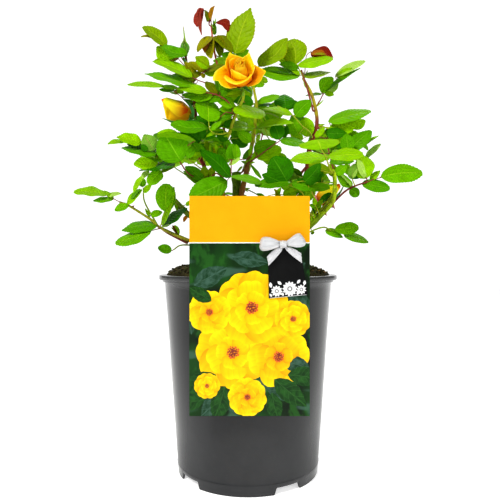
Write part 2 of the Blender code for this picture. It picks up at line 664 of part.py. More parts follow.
bloom("rose_open", PETAL, (-6, -51, 390), (-0.10, -0.62, 0.78), 34, 50, 0.72, 0.86, 18)
bloom("rose_bud_left", PETAL, (-57, -32, 371), (-0.92, -0.10, 0.37), 31, 24, 0.42, 0.16)
bloom("rose_bud_right", PETAL, (75, -11, 286), (0.86, -0.15, 0.48), 26, 21, 0.55, 0.45)
bloom("bud_green", SEPAL, (-65, -22, 436), (-0.10, 0.02, 0.99), 32, 8.4, 0.22, 0.10, 10)
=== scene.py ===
import math
import random

import bmesh
import bpy
import numpy as np
from mathutils import Matrix, Vector, noise


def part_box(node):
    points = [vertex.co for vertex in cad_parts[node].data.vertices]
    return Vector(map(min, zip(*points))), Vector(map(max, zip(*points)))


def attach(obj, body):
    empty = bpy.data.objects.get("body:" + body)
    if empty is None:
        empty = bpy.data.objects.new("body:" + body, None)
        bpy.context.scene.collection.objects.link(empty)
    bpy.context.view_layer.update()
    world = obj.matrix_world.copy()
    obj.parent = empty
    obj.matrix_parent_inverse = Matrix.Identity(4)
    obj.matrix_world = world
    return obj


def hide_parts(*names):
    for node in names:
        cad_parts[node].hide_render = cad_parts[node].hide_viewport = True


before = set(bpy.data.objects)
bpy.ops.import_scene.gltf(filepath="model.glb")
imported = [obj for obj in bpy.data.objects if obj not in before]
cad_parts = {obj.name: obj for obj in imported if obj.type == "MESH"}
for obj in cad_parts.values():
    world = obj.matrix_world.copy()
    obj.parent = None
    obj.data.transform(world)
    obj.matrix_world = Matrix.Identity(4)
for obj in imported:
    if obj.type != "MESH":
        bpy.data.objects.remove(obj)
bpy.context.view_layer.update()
MM = 0.001
BODY = "root"

# =============================================================================
# camera, light, floor
# =============================================================================
EYE = Vector((0.0, -0.55, 0.2231))

cam_data = bpy.data.cameras.new("camera")
cam_data.sensor_width = 36.0
cam_data.lens = 36.5
cam_data.shift_x = 0.004
cam_data.shift_y = 0.019
cam = bpy.data.objects.new("camera", cam_data)
cam.location = EYE
cam.rotation_euler = (math.radians(90.0), 0.0, 0.0)
bpy.context.scene.collection.objects.link(cam)
bpy.context.scene.camera = cam

scene = bpy.context.scene
scene.view_settings.view_transform = "Standard"
scene.view_settings.look = "Medium High Contrast"
scene.view_settings.exposure = 0.0
world = bpy.data.worlds.new("studio")
scene.world = world
world.use_nodes = True
sky = world.node_tree.nodes["Background"]
sky.inputs["Color"].default_value = (1.0, 1.0, 1.0, 1.0)


def studio_level():
    """A white backdrop, with dimmer side walls, ceiling and room behind the eye."""
    tree = world.node_tree
    way = tree.nodes.new("ShaderNodeTexCoord").outputs["Generated"]
    parts = tree.nodes.new("ShaderNodeSeparateXYZ")
    tree.links.new(way, parts.inputs[0])
    aside = tree.nodes.new("ShaderNodeMath")
    aside.operation = "ABSOLUTE"
    tree.links.new(parts.outputs[0], aside.inputs[0])
    level = None
    for out, lo, hi, at_lo, at_hi in ((parts.outputs[2], 0.50, 0.80, 1.0, 0.40),
                                      (parts.outputs[1], -0.35, 0.35, 0.42, 1.0),
                                      (aside.outputs[0], 0.50, 0.66, 1.0, 0.24)):
        ramp = tree.nodes.new("ShaderNodeMapRange")
        ramp.interpolation_type = "SMOOTHSTEP"
        tree.links.new(out, ramp.inputs[0])
        for k, v in enumerate((lo, hi, at_lo, at_hi)):
            ramp.inputs[k + 1].default_value = v
        if level is None:
            level = ramp.outputs[0]
        else:
            both = tree.nodes.new("ShaderNodeMath")
            both.operation = "MULTIPLY"
            tree.links.new(level, both.inputs[0])
            tree.links.new(ramp.outputs[0], both.inputs[1])
            level = both.outputs[0]
    tree.links.new(level, sky.inputs["Strength"])


studio_level()


def area_light(name, place, target, size, power, tint=(1, 1, 1)):
    data = bpy.data.lights.new(name, "AREA")
    data.shape = "DISK"
    data.size = size
    data.energy = power
    data.color = tint
    ob = bpy.data.objects.new(name, data)
    ob.location = place
    aim = Vector(target) - Vector(place)
    ob.rotation_euler = aim.to_track_quat("-Z", "Y").to_euler()
    scene.collection.objects.link(ob)
    return ob


area_light("key", (-1.1, -1.5, 1.9), (0, 0, 0.3), 0.7, 38.0, (1.0, 0.99, 0.96))
area_light("fill", (1.5, -1.0, 0.9), (0, 0, 0.3), 1.0, 9.0)
area_light("rim", (0.5, 1.5, 1.6), (0, 0, 0.35), 0.9, 7.0)


def spot(px, py, y_mm):
    """The point at a depth (millimetres) that the eye sees at a place in a
    500 by 500 frame."""
    reach = (y_mm * MM - EYE.y) / 507.0
    return Vector(((px - 248.0) * reach, y_mm * MM, EYE.z + (259.5 - py) * reach))


def seen(point):
    """The place in the frame where the eye sees a point."""
    reach = (point.y - EYE.y) / 507.0
    return (248.0 + point.x / reach, 259.5 - (point.z - EYE.z) / reach)


# =============================================================================
# node networks
# =============================================================================
class Net:
    """A material's node tree with one Principled shader."""

    def __init__(self, name, rough=0.5, specular=0.5):
        self.mat = bpy.data.materials.new(name)
        self.mat.use_nodes = True
        self.tree = self.mat.node_tree
        self.shader = self.tree.nodes["Principled BSDF"]
        self.shader.inputs["Roughness"].default_value = rough
        self.shader.inputs["Specular IOR Level"].default_value = specular
        self.count = 0

    def node(self, kind, **props):
        n = self.tree.nodes.new(kind)
        for k, v in props.items():
            setattr(n, k, v)
        self.count += 1
        n.location = (-200 * self.count, 0)
        return n

    def feed(self, socket, value):
        if isinstance(value, bpy.types.NodeSocket):
            self.tree.links.new(value, socket)
        elif isinstance(value, (tuple, list)) and len(value) == 3 and socket.type == "RGBA":
            socket.default_value = (*value, 1.0)
        else:
            socket.default_value = value

    def math(self, op, a, b=0.0, c=0.0, clamp=False):
        n = self.node("ShaderNodeMath", operation=op, use_clamp=clamp)
        self.feed(n.inputs[0], a)
        self.feed(n.inputs[1], b)
        self.feed(n.inputs[2], c)
        return n.outputs[0]

    def spread(self, value, lo, hi, out_lo=0.0, out_hi=1.0, smooth=True):
        n = self.node("ShaderNodeMapRange",
                      interpolation_type="SMOOTHSTEP" if smooth else "LINEAR")
        for socket, v in zip(n.inputs, (value, lo, hi, out_lo, out_hi)):
            self.feed(socket, v)
        return n.outputs[0]

    def mix(self, fac, a, b, blend="MIX"):
        n = self.node("ShaderNodeMix", data_type="RGBA", blend_type=blend)
        self.feed(n.inputs[0], fac)
        self.feed(n.inputs[6], a)
        self.feed(n.inputs[7], b)
        return n.outputs[2]

    def scaled(self, colour, factor):
        """A colour made lighter or darker by a number that varies."""
        n = self.node("ShaderNodeVectorMath", operation="SCALE")
        self.feed(n.inputs[0], colour)
        self.feed(n.inputs[3], factor)
        return n.outputs[0]

    def place(self):
        return self.node("ShaderNodeTexCoord").outputs["Object"]

    def uv(self, name):
        return self.node("ShaderNodeUVMap", uv_map=name).outputs[0]

    def split(self, vector):
        n = self.node("ShaderNodeSeparateXYZ")
        self.feed(n.inputs[0], vector)
        return n.outputs

    def join(self, x, y, z=0.0):
        n = self.node("ShaderNodeCombineXYZ")
        for socket, v in zip(n.inputs, (x, y, z)):
            self.feed(socket, v)
        return n.outputs[0]

    def stretch(self, vector, scale):
        n = self.node("ShaderNodeMapping")
        self.feed(n.inputs[0], vector)
        n.inputs["Scale"].default_value = scale
        return n.outputs[0]

    def noise(self, vector, scale, detail=3.0, rough=0.55):
        n = self.node("ShaderNodeTexNoise")
        self.feed(n.inputs["Vector"], vector)
        n.inputs["Scale"].default_value = scale
        n.inputs["Detail"].default_value = detail
        n.inputs["Roughness"].default_value = rough
        return n.outputs[0]

    def cells(self, vector, scale, feature="F1"):
        n = self.node("ShaderNodeTexVoronoi", feature=feature)
        self.feed(n.inputs["Vector"], vector)
        n.inputs["Scale"].default_value = scale
        return n.outputs[0]

    def colour(self, value):
        self.feed(self.shader.inputs["Base Color"], value)

    def rough(self, value):
        self.feed(self.shader.inputs["Roughness"], value)

    def bump(self, height, distance, strength=1.0, under=None):
        n = self.node("ShaderNodeBump")
        n.inputs["Strength"].default_value = strength
        n.inputs["Distance"].default_value = distance
        self.feed(n.inputs["Height"], height)
        if under is not None:
            self.feed(n.inputs["Normal"], under)
        self.feed(self.shader.inputs["Normal"], n.outputs[0])
        return n.outputs[0]


# =============================================================================
# mesh building
# =============================================================================
class Build:
    """Gathers many small closed bodies into one mesh."""

    def __init__(self, uv_name="lay"):
        self.uv_name = uv_name
        self.verts, self.faces, self.uvs, self.rims = [], [], [], []
        self.n = 0

    def add(self, verts, faces, uvs, rim=None):
        verts = np.asarray(verts, float)
        self.verts.append(verts)
        base = self.n
        self.faces.extend([i + base for i in f] for f in faces)
        self.uvs.extend(uvs)
        self.rims.append(np.zeros(len(verts), bool) if rim is None else rim)
        self.n += len(verts)

    def finish(self, name, mat, slot=None, nodes=(), smooth=True):
        if not self.verts:
            return None
        mesh = bpy.data.meshes.new(name)
        verts = np.concatenate(self.verts)
        mesh.from_pydata(verts.tolist(), [], self.faces)
        layer = mesh.uv_layers.new(name=self.uv_name)
        flat = np.array([c for uv in self.uvs for c in uv], np.float32).ravel()
        layer.data.foreach_set("uv", flat)
        mesh.polygons.foreach_set("use_smooth", [smooth] * len(mesh.polygons))
        rim = np.concatenate(self.rims)
        if rim.any():
            ends = np.zeros(len(mesh.edges) * 2, np.int32)
            mesh.edges.foreach_get("vertices", ends)
            ends = ends.reshape(-1, 2)
            mesh.edges.foreach_set("use_edge_sharp", rim[ends[:, 0]] & rim[ends[:, 1]])
        mesh.update()
        mesh.materials.append(mat)
        ob = bpy.data.objects.new(name, mesh)
        scene.collection.objects.link(ob)
        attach(ob, BODY)
        if nodes:
            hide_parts(*nodes)
        return ob


_TOPO = {}


def topology(n, m, first, last):
    """Faces of a thin closed body over an n by m grid whose rim is shared by
    its two sides. A first or last row may close to one point."""
    key = (n, m, first, last)
    if key in _TOPO:
        return _TOPO[key]
    top = -np.ones((n, m), int)
    src = []
    for r in range(n):
        for c in range(m):
            if ((r == 0 and first) or (r == n - 1 and last)) and c > 0:
                top[r, c] = top[r, 0]
                continue
            top[r, c] = len(src)
            src.append((r, c))
    count_top = len(src)
    low = top.copy()
    low_src = []
    for r in range(1, n - 1):
        for c in range(1, m - 1):
            low[r, c] = count_top + len(low_src)
            low_src.append((r, c))
    rim = np.ones(count_top + len(low_src), bool)
    for r in range(1, n - 1):
        for c in range(1, m - 1):
            rim[top[r, c]] = False
            rim[low[r, c]] = False
    faces, corners = [], []
    for side, grid in ((0, top), (1, low)):
        for r in range(n - 1):
            for c in range(m - 1):
                quad = [(r, c), (r, c + 1), (r + 1, c + 1), (r + 1, c)]
                if side:
                    quad.reverse()
                face, cs = [], []
                for rc in quad:
                    if grid[rc] not in face:
                        face.append(int(grid[rc]))
                        cs.append((side, rc[0], rc[1]))
                if len(face) > 2:
                    faces.append(face)
                    corners.append(cs)
    _TOPO[key] = (src, low_src, rim, faces, corners)
    return _TOPO[key]


def shell(build, grid, thick, uv_of, first=False, last=False):
    """Adds a thin closed body over a grid of points. uv_of(side, row, column)
    gives the place on the surface map."""
    grid = np.asarray(grid, float)
    n, m = grid.shape[:2]
    src, low_src, rim, faces, corners = topology(n, m, first, last)
    du = np.gradient(grid, axis=1)
    dv = np.gradient(grid, axis=0)
    nor = np.cross(du, dv)
    size = np.linalg.norm(nor, axis=2, keepdims=True)
    nor = nor / np.maximum(size, 1e-12)
    rc = np.array(src)
    top = grid[rc[:, 0], rc[:, 1]]
    lc = np.array(low_src)
    low = grid[lc[:, 0], lc[:, 1]] - nor[lc[:, 0], lc[:, 1]] * thick
    key = (n, m, first, last, uv_of)
    if key not in _UVS:
        _UVS[key] = [[uv_of(s, r / (n - 1), c / (m - 1)) for s, r, c in cs] for cs in corners]
    build.add(np.concatenate([top, low]), faces, _UVS[key], rim)


_UVS = {}


def two_sided(side, v, u):
    """Upper side on the left half of the map, under side on the right half."""
    return (0.01 + 0.48 * u + 0.5 * side, 0.01 + 0.98 * v)


def curve_through(knots, step):
    """Evenly walked points on a Catmull-Rom curve through the knots (metres)."""
    pts = [Vector(k) for k in knots]
    if len(pts) == 2:
        n = max(2, int((pts[1] - pts[0]).length / step))
        return [pts[0].lerp(pts[1], i / n) for i in range(n + 1)]
    ext = [pts[0] * 2 - pts[1]] + pts + [pts[-1] * 2 - pts[-2]]
    out = []
    for i in range(1, len(ext) - 2):
        p0, p1, p2, p3 = ext[i - 1:i + 3]
        n = max(1, int((p2 - p1).length / step))
        for s in range(n):
            t = s / n
            out.append(0.5 * ((2 * p1) + (p2 - p0) * t
                              + (2 * p0 - 5 * p1 + 4 * p2 - p3) * t * t
                              + (3 * p1 - p0 - 3 * p2 + p3) * t ** 3))
    out.append(pts[-1])
    return out


def tube(build, pts, radii, sides=12, relief=None, round_end=True):
    """A closed tube along points. relief(angle, length, point) scales the
    radius at a place on it."""
    tangents = []
    for i in range(len(pts)):
        a = pts[max(0, i - 1)]
        b = pts[min(len(pts) - 1, i + 1)]
        tangents.append((b - a).normalized())
    ref = tangents[0].orthogonal().normalized()
    verts, rings, lengths = [], [], []
    run = 0.0
    rows = []
    for i, (p, t) in enumerate(zip(pts, tangents)):
        if i:
            run += (p - pts[i - 1]).length
        ref = (ref - t * ref.dot(t)).normalized()
        side = t.cross(ref)
        rows.append((p, t, ref.copy(), side, radii[i], run))
    if round_end:
        p, t, ra, sa, r, run = rows[-1]
        rows[-1] = (p - t * r * 0.3, t, ra, sa, r, run)
        rows.append((p + t * r * 0.25, t, ra, sa, r * 0.72, run + r * 0.5))
    for p, t, ra, sa, r, run in rows:
        ring = []
        for k in range(sides):
            a = 2 * math.pi * k / sides
            d = ra * math.cos(a) + sa * math.sin(a)
            q = p + d * r
            if relief:
                q = p + d * (r * relief(a, run, q))
            ring.append(len(verts))
            verts.append(q)
        rings.append(ring)
        lengths.append(run)
    faces, uvs = [], []
    around = 2 * math.pi * max(radii)
    for i in range(len(rings) - 1):
        v0, v1 = lengths[i] / around, lengths[i + 1] / around
        for k in range(sides):
            j = (k + 1) % sides
            u0, u1 = k / sides, (k + 1) / sides
            faces.append([rings[i][k], rings[i][j], rings[i + 1][j], rings[i + 1][k]])
            uvs.append([(u0, v0), (u1, v0), (u1, v1), (u0, v1)])
    for ring, tip, flip, v in ((rings[0], rows[0][0], True, 0.0),
                               (rings[-1], rows[-1][0] + rows[-1][1] * rows[-1][4] * 0.25,
                                False, lengths[-1] / around)):
        c = len(verts)
        verts.append(tip)
        for k in range(sides):
            j = (k + 1) % sides
            f = [ring[j], ring[k], c] if flip else [ring[k], ring[j], c]
            faces.append(f)
            uvs.append([(k / sides, v), ((k + 1) / sides, v), ((k + .5) / sides, v)])
    build.add([tuple(v) for v in verts], faces, uvs)
    return rows


def lathe(profile, columns, height_of=None):
    """A closed body turned about Z. profile is a closed loop of (radius, z),
    with None for z where the foot follows height_of(azimuth)."""
    verts, rings = [], []
    for r, z in profile:
        if r == 0.0:
            rings.append([len(verts)])
            verts.append((0.0, 0.0, z))
            continue
        ring = []
        for a in columns:
            zz = height_of(a) if z is None else z
            ring.append(len(verts))
            verts.append((r * math.sin(a), -r * math.cos(a), zz))
        rings.append(ring)
    faces = []
    n = len(columns)
    pairs = list(zip(rings, rings[1:] + rings[:1]))
    for i, (ra, rb) in enumerate(pairs):
        if len(ra) == 1 and len(rb) == 1:
            continue
        for k in range(n):
            j = (k + 1) % n
            if len(ra) == 1:
                faces.append([ra[0], rb[j], rb[k]])
            elif len(rb) == 1:
                faces.append([ra[k], ra[j], rb[0]])
            else:
                faces.append([ra[k], ra[j], rb[j], rb[k]])
    return verts, faces


def plain_uvs(verts, faces, size=0.1):
    return [[(verts[i][0] / size, verts[i][2] / size) for i in f] for f in faces]


def prism(build, outline, back, front, uv_of=None):
    """A flat outline in x and z (anticlockwise from the front) between two depths."""
    n = len(outline)
    verts = [(x, front, z) for x, z in outline] + [(x, back, z) for x, z in outline]
    faces = [list(range(n)), list(range(2 * n - 1, n - 1, -1))]
    for k in range(n):
        j = (k + 1) % n
        faces.append([k, k + n, j + n, j])
    if uv_of is None:
        xs = [p[0] for p in outline]
        zs = [p[1] for p in outline]
        w = max(max(xs) - min(xs), 1e-6)
        h = max(max(zs) - min(zs), 1e-6)

        def uv_of(x, z):
            return ((x - min(xs)) / w, (z - min(zs)) / h)
    uvs = [[uv_of(verts[i][0], verts[i][2]) for i in f] for f in faces]
    build.add(verts, faces, uvs)


def fan_prism(build, centre, outline, back, front, uv_of):
    """As prism, with the front and back fanned round a middle point."""
    n = len(outline)
    verts = [(x, front, z) for x, z in outline] + [(x, back, z) for x, z in outline]
    verts += [(centre[0], front, centre[1]), (centre[0], back, centre[1])]
    faces = []
    for k in range(n):
        j = (k + 1) % n
        faces.append([k, j, 2 * n])
        faces.append([j + n, k + n, 2 * n + 1])
        faces.append([k, k + n, j + n, j])
    uvs = [[uv_of(verts[i][0], verts[i][2]) for i in f] for f in faces]
    build.add(verts, faces, uvs)


# =============================================================================
# materials
# =============================================================================
def plastic_material():
    m = Net("pot_plastic_fine", 0.28, 0.36)
    at = m.place()
    cloud = m.noise(at, 14.0, 4.0, 0.6)
    flow = m.noise(m.stretch(at, (90.0, 90.0, 9.0)), 1.0, 4.0, 0.6)
    dust = m.spread(m.noise(at, 420.0, 2.0), 0.60, 0.78)
    base = m.mix(m.spread(cloud, 0.3, 0.7), (0.0020, 0.0022, 0.0026), (0.0044, 0.0048, 0.0056))
    # painted reflection: the pot is painted lighter grey at its foot, fading out by 0.18 m up, standing in for the
    # bright floor it reflects
    painted_floor_reflection = m.mix(m.spread(cloud, 0.3, 0.7), (0.025, 0.026, 0.028), (0.035, 0.036, 0.038))
    high = m.split(at)[2]
    base = m.mix(m.spread(high, 0.020, 0.180), painted_floor_reflection, base)
    # painted highlight: the rim and step, the top 8 mm or so, are painted lighter grey for the rim's highlight
    base = m.mix(m.spread(high, POT_HEIGHT - 0.014, POT_HEIGHT - 0.008), base, (0.045, 0.046, 0.047))
    base = m.mix(m.math("MULTIPLY", dust, 0.12), base, (0.06, 0.058, 0.054))
    m.colour(base)
    m.rough(m.spread(m.math("ADD", m.math("MULTIPLY", flow, 0.6),
                            m.math("MULTIPLY", cloud, 0.4)), 0.3, 0.7, 0.13, 0.22))
    fine = m.noise(at, 900.0, 2.0)
    m.bump(m.math("ADD", m.math("MULTIPLY", fine, 0.35), flow), 0.00008, 0.45)
    return m.mat


def compost_material(name, dark, light, scale):
    m = Net(name, 0.95, 0.2)
    at = m.place()
    big = m.noise(at, scale * 0.4, 4.0, 0.65)
    small = m.noise(at, scale * 2.4, 5.0, 0.7)
    fac = m.spread(m.math("ADD", m.math("MULTIPLY", big, 0.5),
                          m.math("MULTIPLY", small, 0.5)), 0.36, 0.66)
    m.colour(m.mix(fac, dark, light))
    m.bump(small, 0.0009, 0.9)
    return m.mat


def bark_material(name, low, high, z_low, z_high, blotch, amount=0.4, rough=0.55, fine=1.0):
    """Young or old rose bark: one colour low on the cane, another high on it,
    with blotches, long fibres and pale dots."""
    m = Net(name, rough, 0.16)
    at = m.place()
    z = m.split(at)[2]
    lay = m.uv("lay")
    wander = m.noise(at, 55.0, 3.0, 0.6)
    rise = m.math("ADD", z, m.math("MULTIPLY", m.math("SUBTRACT", wander, 0.5), 0.05))
    base = m.mix(m.spread(rise, z_low, z_high), low, high)
    patch = m.spread(m.noise(at, 130.0, 4.0, 0.65), 0.50, 0.66)
    base = m.mix(m.math("MULTIPLY", patch, amount), base, blotch)
    fibre = m.noise(m.stretch(lay, (26.0, 2.2, 1.0)), 1.0, 4.0, 0.6)
    base = m.scaled(base, m.spread(fibre, 0.3, 0.7, 0.74, 1.22, False))
    dots = m.spread(m.cells(m.stretch(lay, (7.0, 4.2, 1.0)), 1.0), 0.10, 0.17, 1.0, 0.0)
    base = m.mix(m.math("MULTIPLY", dots, 0.35), base, (0.42, 0.36, 0.22))
    m.colour(base)
    m.rough(m.spread(fibre, 0.3, 0.7, rough - 0.10, rough + 0.14))
    m.bump(m.math("ADD", fibre, m.math("MULTIPLY", dots, 0.5)), 0.00025 * fine, 0.8)
    return m.mat


def leaf_material(name, base, vein, under, edge, gloss=0.42, edge_amount=0.35, shade=1.0):
    """A leaflet's two sides from its own surface map: midrib, side veins, the leaf raised in puffs between them, with
    painted light on the puffs and painted shade along the veins, mottling and a tinted margin."""
    m = Net(name, gloss, 0.14)
    m.shader.inputs["Specular Tint"].default_value = (0.85, 1.0, 0.24, 1.0)
    u, v, _ = m.split(m.uv("OFBake"))
    doubled = m.math("MULTIPLY", u, 2.0)
    is_under = m.math("GREATER_THAN", doubled, 1.0)
    across = m.math("FRACT", doubled)
    s = m.math("ABSOLUTE", m.math("SUBTRACT", m.math("MULTIPLY", across, 2.0), 1.0))
    # veins leave the midrib forwards and bend towards the tip
    lead = m.math("ADD", m.math("MULTIPLY", s, 1.55), m.math("MULTIPLY", m.math("POWER", s, 2.0), 0.55))
    right = m.math("GREATER_THAN", across, 0.5)
    both = m.join(m.math("ADD", s, m.math("MULTIPLY", right, 1.7)), v, m.math("MULTIPLY", is_under, 3.0))
    mottle = m.noise(both, 5.0, 4.0, 0.6)
    wander = m.math("MULTIPLY", m.math("SUBTRACT", m.noise(both, 3.0, 2.0), 0.5), 1.1)
    q = m.math("SUBTRACT", m.math("MULTIPLY", v, 8.0), m.math("ADD", lead, wander))
    wave = m.math("ABSOLUTE", m.math("SUBTRACT", m.math("FRACT", q), 0.5))   # 0.5 on a vein
    rib = m.spread(wave, 0.44, 0.5)
    mid = m.spread(s, 0.012, 0.048, 1.0, 0.0)
    ribs = m.math("MAXIMUM", m.math("MULTIPLY", rib, m.spread(s, 0.40, 1.0, 0.26, 0.02)), mid)
    net = m.cells(m.stretch(both, (18.0, 30.0, 1.0)), 1.0)
    plain = m.mix(is_under, base, under)
    # painted light and shade: the right half of each leaflet is painted 7% lighter than the left, for the light and
    # shade of its midrib fold
    factor = m.math("MULTIPLY", m.spread(mottle, 0.3, 0.7, 0.84 * shade, 1.18 * shade, False),
                    m.math("ADD", m.spread(net, 0.0, 0.9, 1.03, 0.93, False), m.math("MULTIPLY", right, 0.07)))
    col = m.scaled(plain, factor)
    # painted light and shade: 3% lighter midway between the side veins and 4% darker along them, for the light on the
    # puffed leaf and the shade in its vein grooves
    vein_groove_shade = m.spread(wave, 0.0, 0.5, 1.03, 0.96, False)
    col = m.scaled(col, vein_groove_shade)
    col = m.mix(m.math("MULTIPLY", ribs, 0.62), col, vein)
    rim = m.math("MULTIPLY", m.spread(s, 0.86, 1.0), edge_amount)
    col = m.mix(rim, col, edge)
    m.colour(col)
    upper = m.spread(mottle, 0.3, 0.7, gloss - 0.08, gloss + 0.10)
    m.rough(m.math("MAXIMUM", upper, m.math("MULTIPLY", is_under, 0.72)))
    puff = m.math("SUBTRACT", m.spread(wave, 0.5, 0.12), m.math("MULTIPLY", mid, 0.9))
    sign = m.math("SUBTRACT", 1.0, m.math("MULTIPLY", is_under, 1.7))
    height = m.math("MULTIPLY", m.math("ADD", puff, m.math("MULTIPLY", net, 0.25)), sign)
    m.bump(height, 0.00030, 0.8)
    return m.mat


def petal_material(name, heart, middle, lip, under, tip=None, tip_reach=0.1):
    """Petal colour by its own map: deep at the claw, clear yellow at the lip,
    with fine veins that run up it; a bud's petals are tipped with orange."""
    m = Net(name, 0.60, 0.10)
    u, v, _ = m.split(m.uv("OFBake"))
    doubled = m.math("MULTIPLY", u, 2.0)
    is_under = m.math("GREATER_THAN", doubled, 1.0)
    across = m.math("FRACT", doubled)
    s = m.math("ABSOLUTE", m.math("SUBTRACT", m.math("MULTIPLY", across, 2.0), 1.0))
    edge = m.math("MAXIMUM", v, m.math("MULTIPLY", s, 0.92))
    veins = m.noise(m.join(m.math("MULTIPLY", across, 26.0), m.math("MULTIPLY", v, 1.6),
                           m.math("MULTIPLY", is_under, 5.0)), 1.0, 3.0, 0.6)
    # the deep colour from the claw up is partly the petal's own and partly painted shade for the inside of the bloom's
    # cup
    col = m.mix(m.spread(v, 0.10, 0.74), heart, middle)
    col = m.mix(m.spread(edge, 0.82, 0.99), col, lip)
    col = m.mix(m.math("MULTIPLY", is_under, m.spread(v, 0.9, 0.2, 0.25, 0.75)), col, under)
    if tip:
        col = m.mix(m.spread(v, 1.0 - tip_reach, 1.0 - tip_reach * 0.35), col, tip)
    col = m.scaled(col, m.spread(veins, 0.3, 0.7, 0.93, 1.05, False))
    m.colour(col)
    m.shader.inputs["Subsurface Weight"].default_value = 0.38
    m.shader.inputs["Subsurface Radius"].default_value = (1.0, 0.50, 0.06)
    m.shader.inputs["Subsurface Scale"].default_value = 0.0042
    m.bump(veins, 0.0002, 0.5)
    return m.mat


def sepal_material(name, base, under, tip):
    m = Net(name, 0.55, 0.35)
    u, v, _ = m.split(m.uv("OFBake"))
    doubled = m.math("MULTIPLY", u, 2.0)
    is_under = m.math("GREATER_THAN", doubled, 1.0)
    across = m.math("FRACT", doubled)
    s = m.math("ABSOLUTE", m.math("SUBTRACT", m.math("MULTIPLY", across, 2.0), 1.0))
    grain = m.noise(m.join(m.math("MULTIPLY", across, 14.0), m.math("MULTIPLY", v, 3.0), 0.0), 1.0, 3.0)
    col = m.mix(is_under, base, under)
    col = m.mix(m.math("MULTIPLY", m.spread(v, 0.7, 1.0), 0.5), col, tip)
    col = m.mix(m.math("MULTIPLY", m.spread(s, 0.80, 1.0), 0.55), col, (0.36, 0.42, 0.24))
    col = m.scaled(col, m.spread(grain, 0.3, 0.7, 0.8, 1.2, False))
    m.colour(col)
    m.bump(grain, 0.0002, 0.7)
    return m.mat


def satin_material():
    m = Net("satin_ribbon", 0.34, 0.5)
    u, v, _ = m.split(m.uv("OFBake"))
    thread = m.math("SINE", m.math("MULTIPLY", v, 620.0))
    cross = m.math("SINE", m.math("MULTIPLY", u, 1500.0))
    soft = m.noise(m.join(m.math("MULTIPLY", u, 9.0), m.math("MULTIPLY", v, 3.0), 0.0), 1.0, 2.0)
    m.colour(m.mix(m.spread(soft, 0.3, 0.7), (0.50, 0.505, 0.52), (0.62, 0.625, 0.64)))
    m.rough(m.spread(soft, 0.3, 0.7, 0.26, 0.38))
    m.shader.inputs["Sheen Weight"].default_value = 0.10
    m.shader.inputs["Anisotropic"].default_value = 0.5
    m.bump(m.math("ADD", m.math("MULTIPLY", thread, 0.6), m.math("MULTIPLY", cross, 0.4)),
           0.00004, 0.5)
    return m.mat


# =============================================================================
# pot
# =============================================================================
POT_HEIGHT = 0.2070
RIM_RADIUS = 0.0950
RIM_DEPTH = 0.0050
STEP_RADIUS = 0.0912
STEP_DEPTH = 0.0025
FOOT_RADIUS = 0.0747
WALL = 0.0016
FLOOR_UNDER = 0.0075
FLOOR_TOP = 0.0095
SKIRT_RISE = 0.0110
NOTCH_HEIGHT = 0.0065
NOTCHES = ((-50.7, 23.5), (31.2, 23.5), (129.0, 23.5), (-149.0, 23.5))


def body_radius(z):
    return FOOT_RADIUS + 0.0143 * z / 0.2020


def foot_height(azimuth):
    """The underside of the foot skirt: on the ground, or up in a notch."""
    out = 0.0
    for centre, span in NOTCHES:
        d = (azimuth - math.radians(centre) + math.pi) % (2 * math.pi) - math.pi
        if abs(d) > math.pi / 2:
            continue
        half_low = FOOT_RADIUS * math.sin(math.radians(span / 2))
        across = abs(FOOT_RADIUS * math.sin(d))
        t = min(1.0, max(0.0, (half_low - across) / 0.0030))
        t = t * t * (3 - 2 * t)
        out = max(out, NOTCH_HEIGHT * t)
    return out


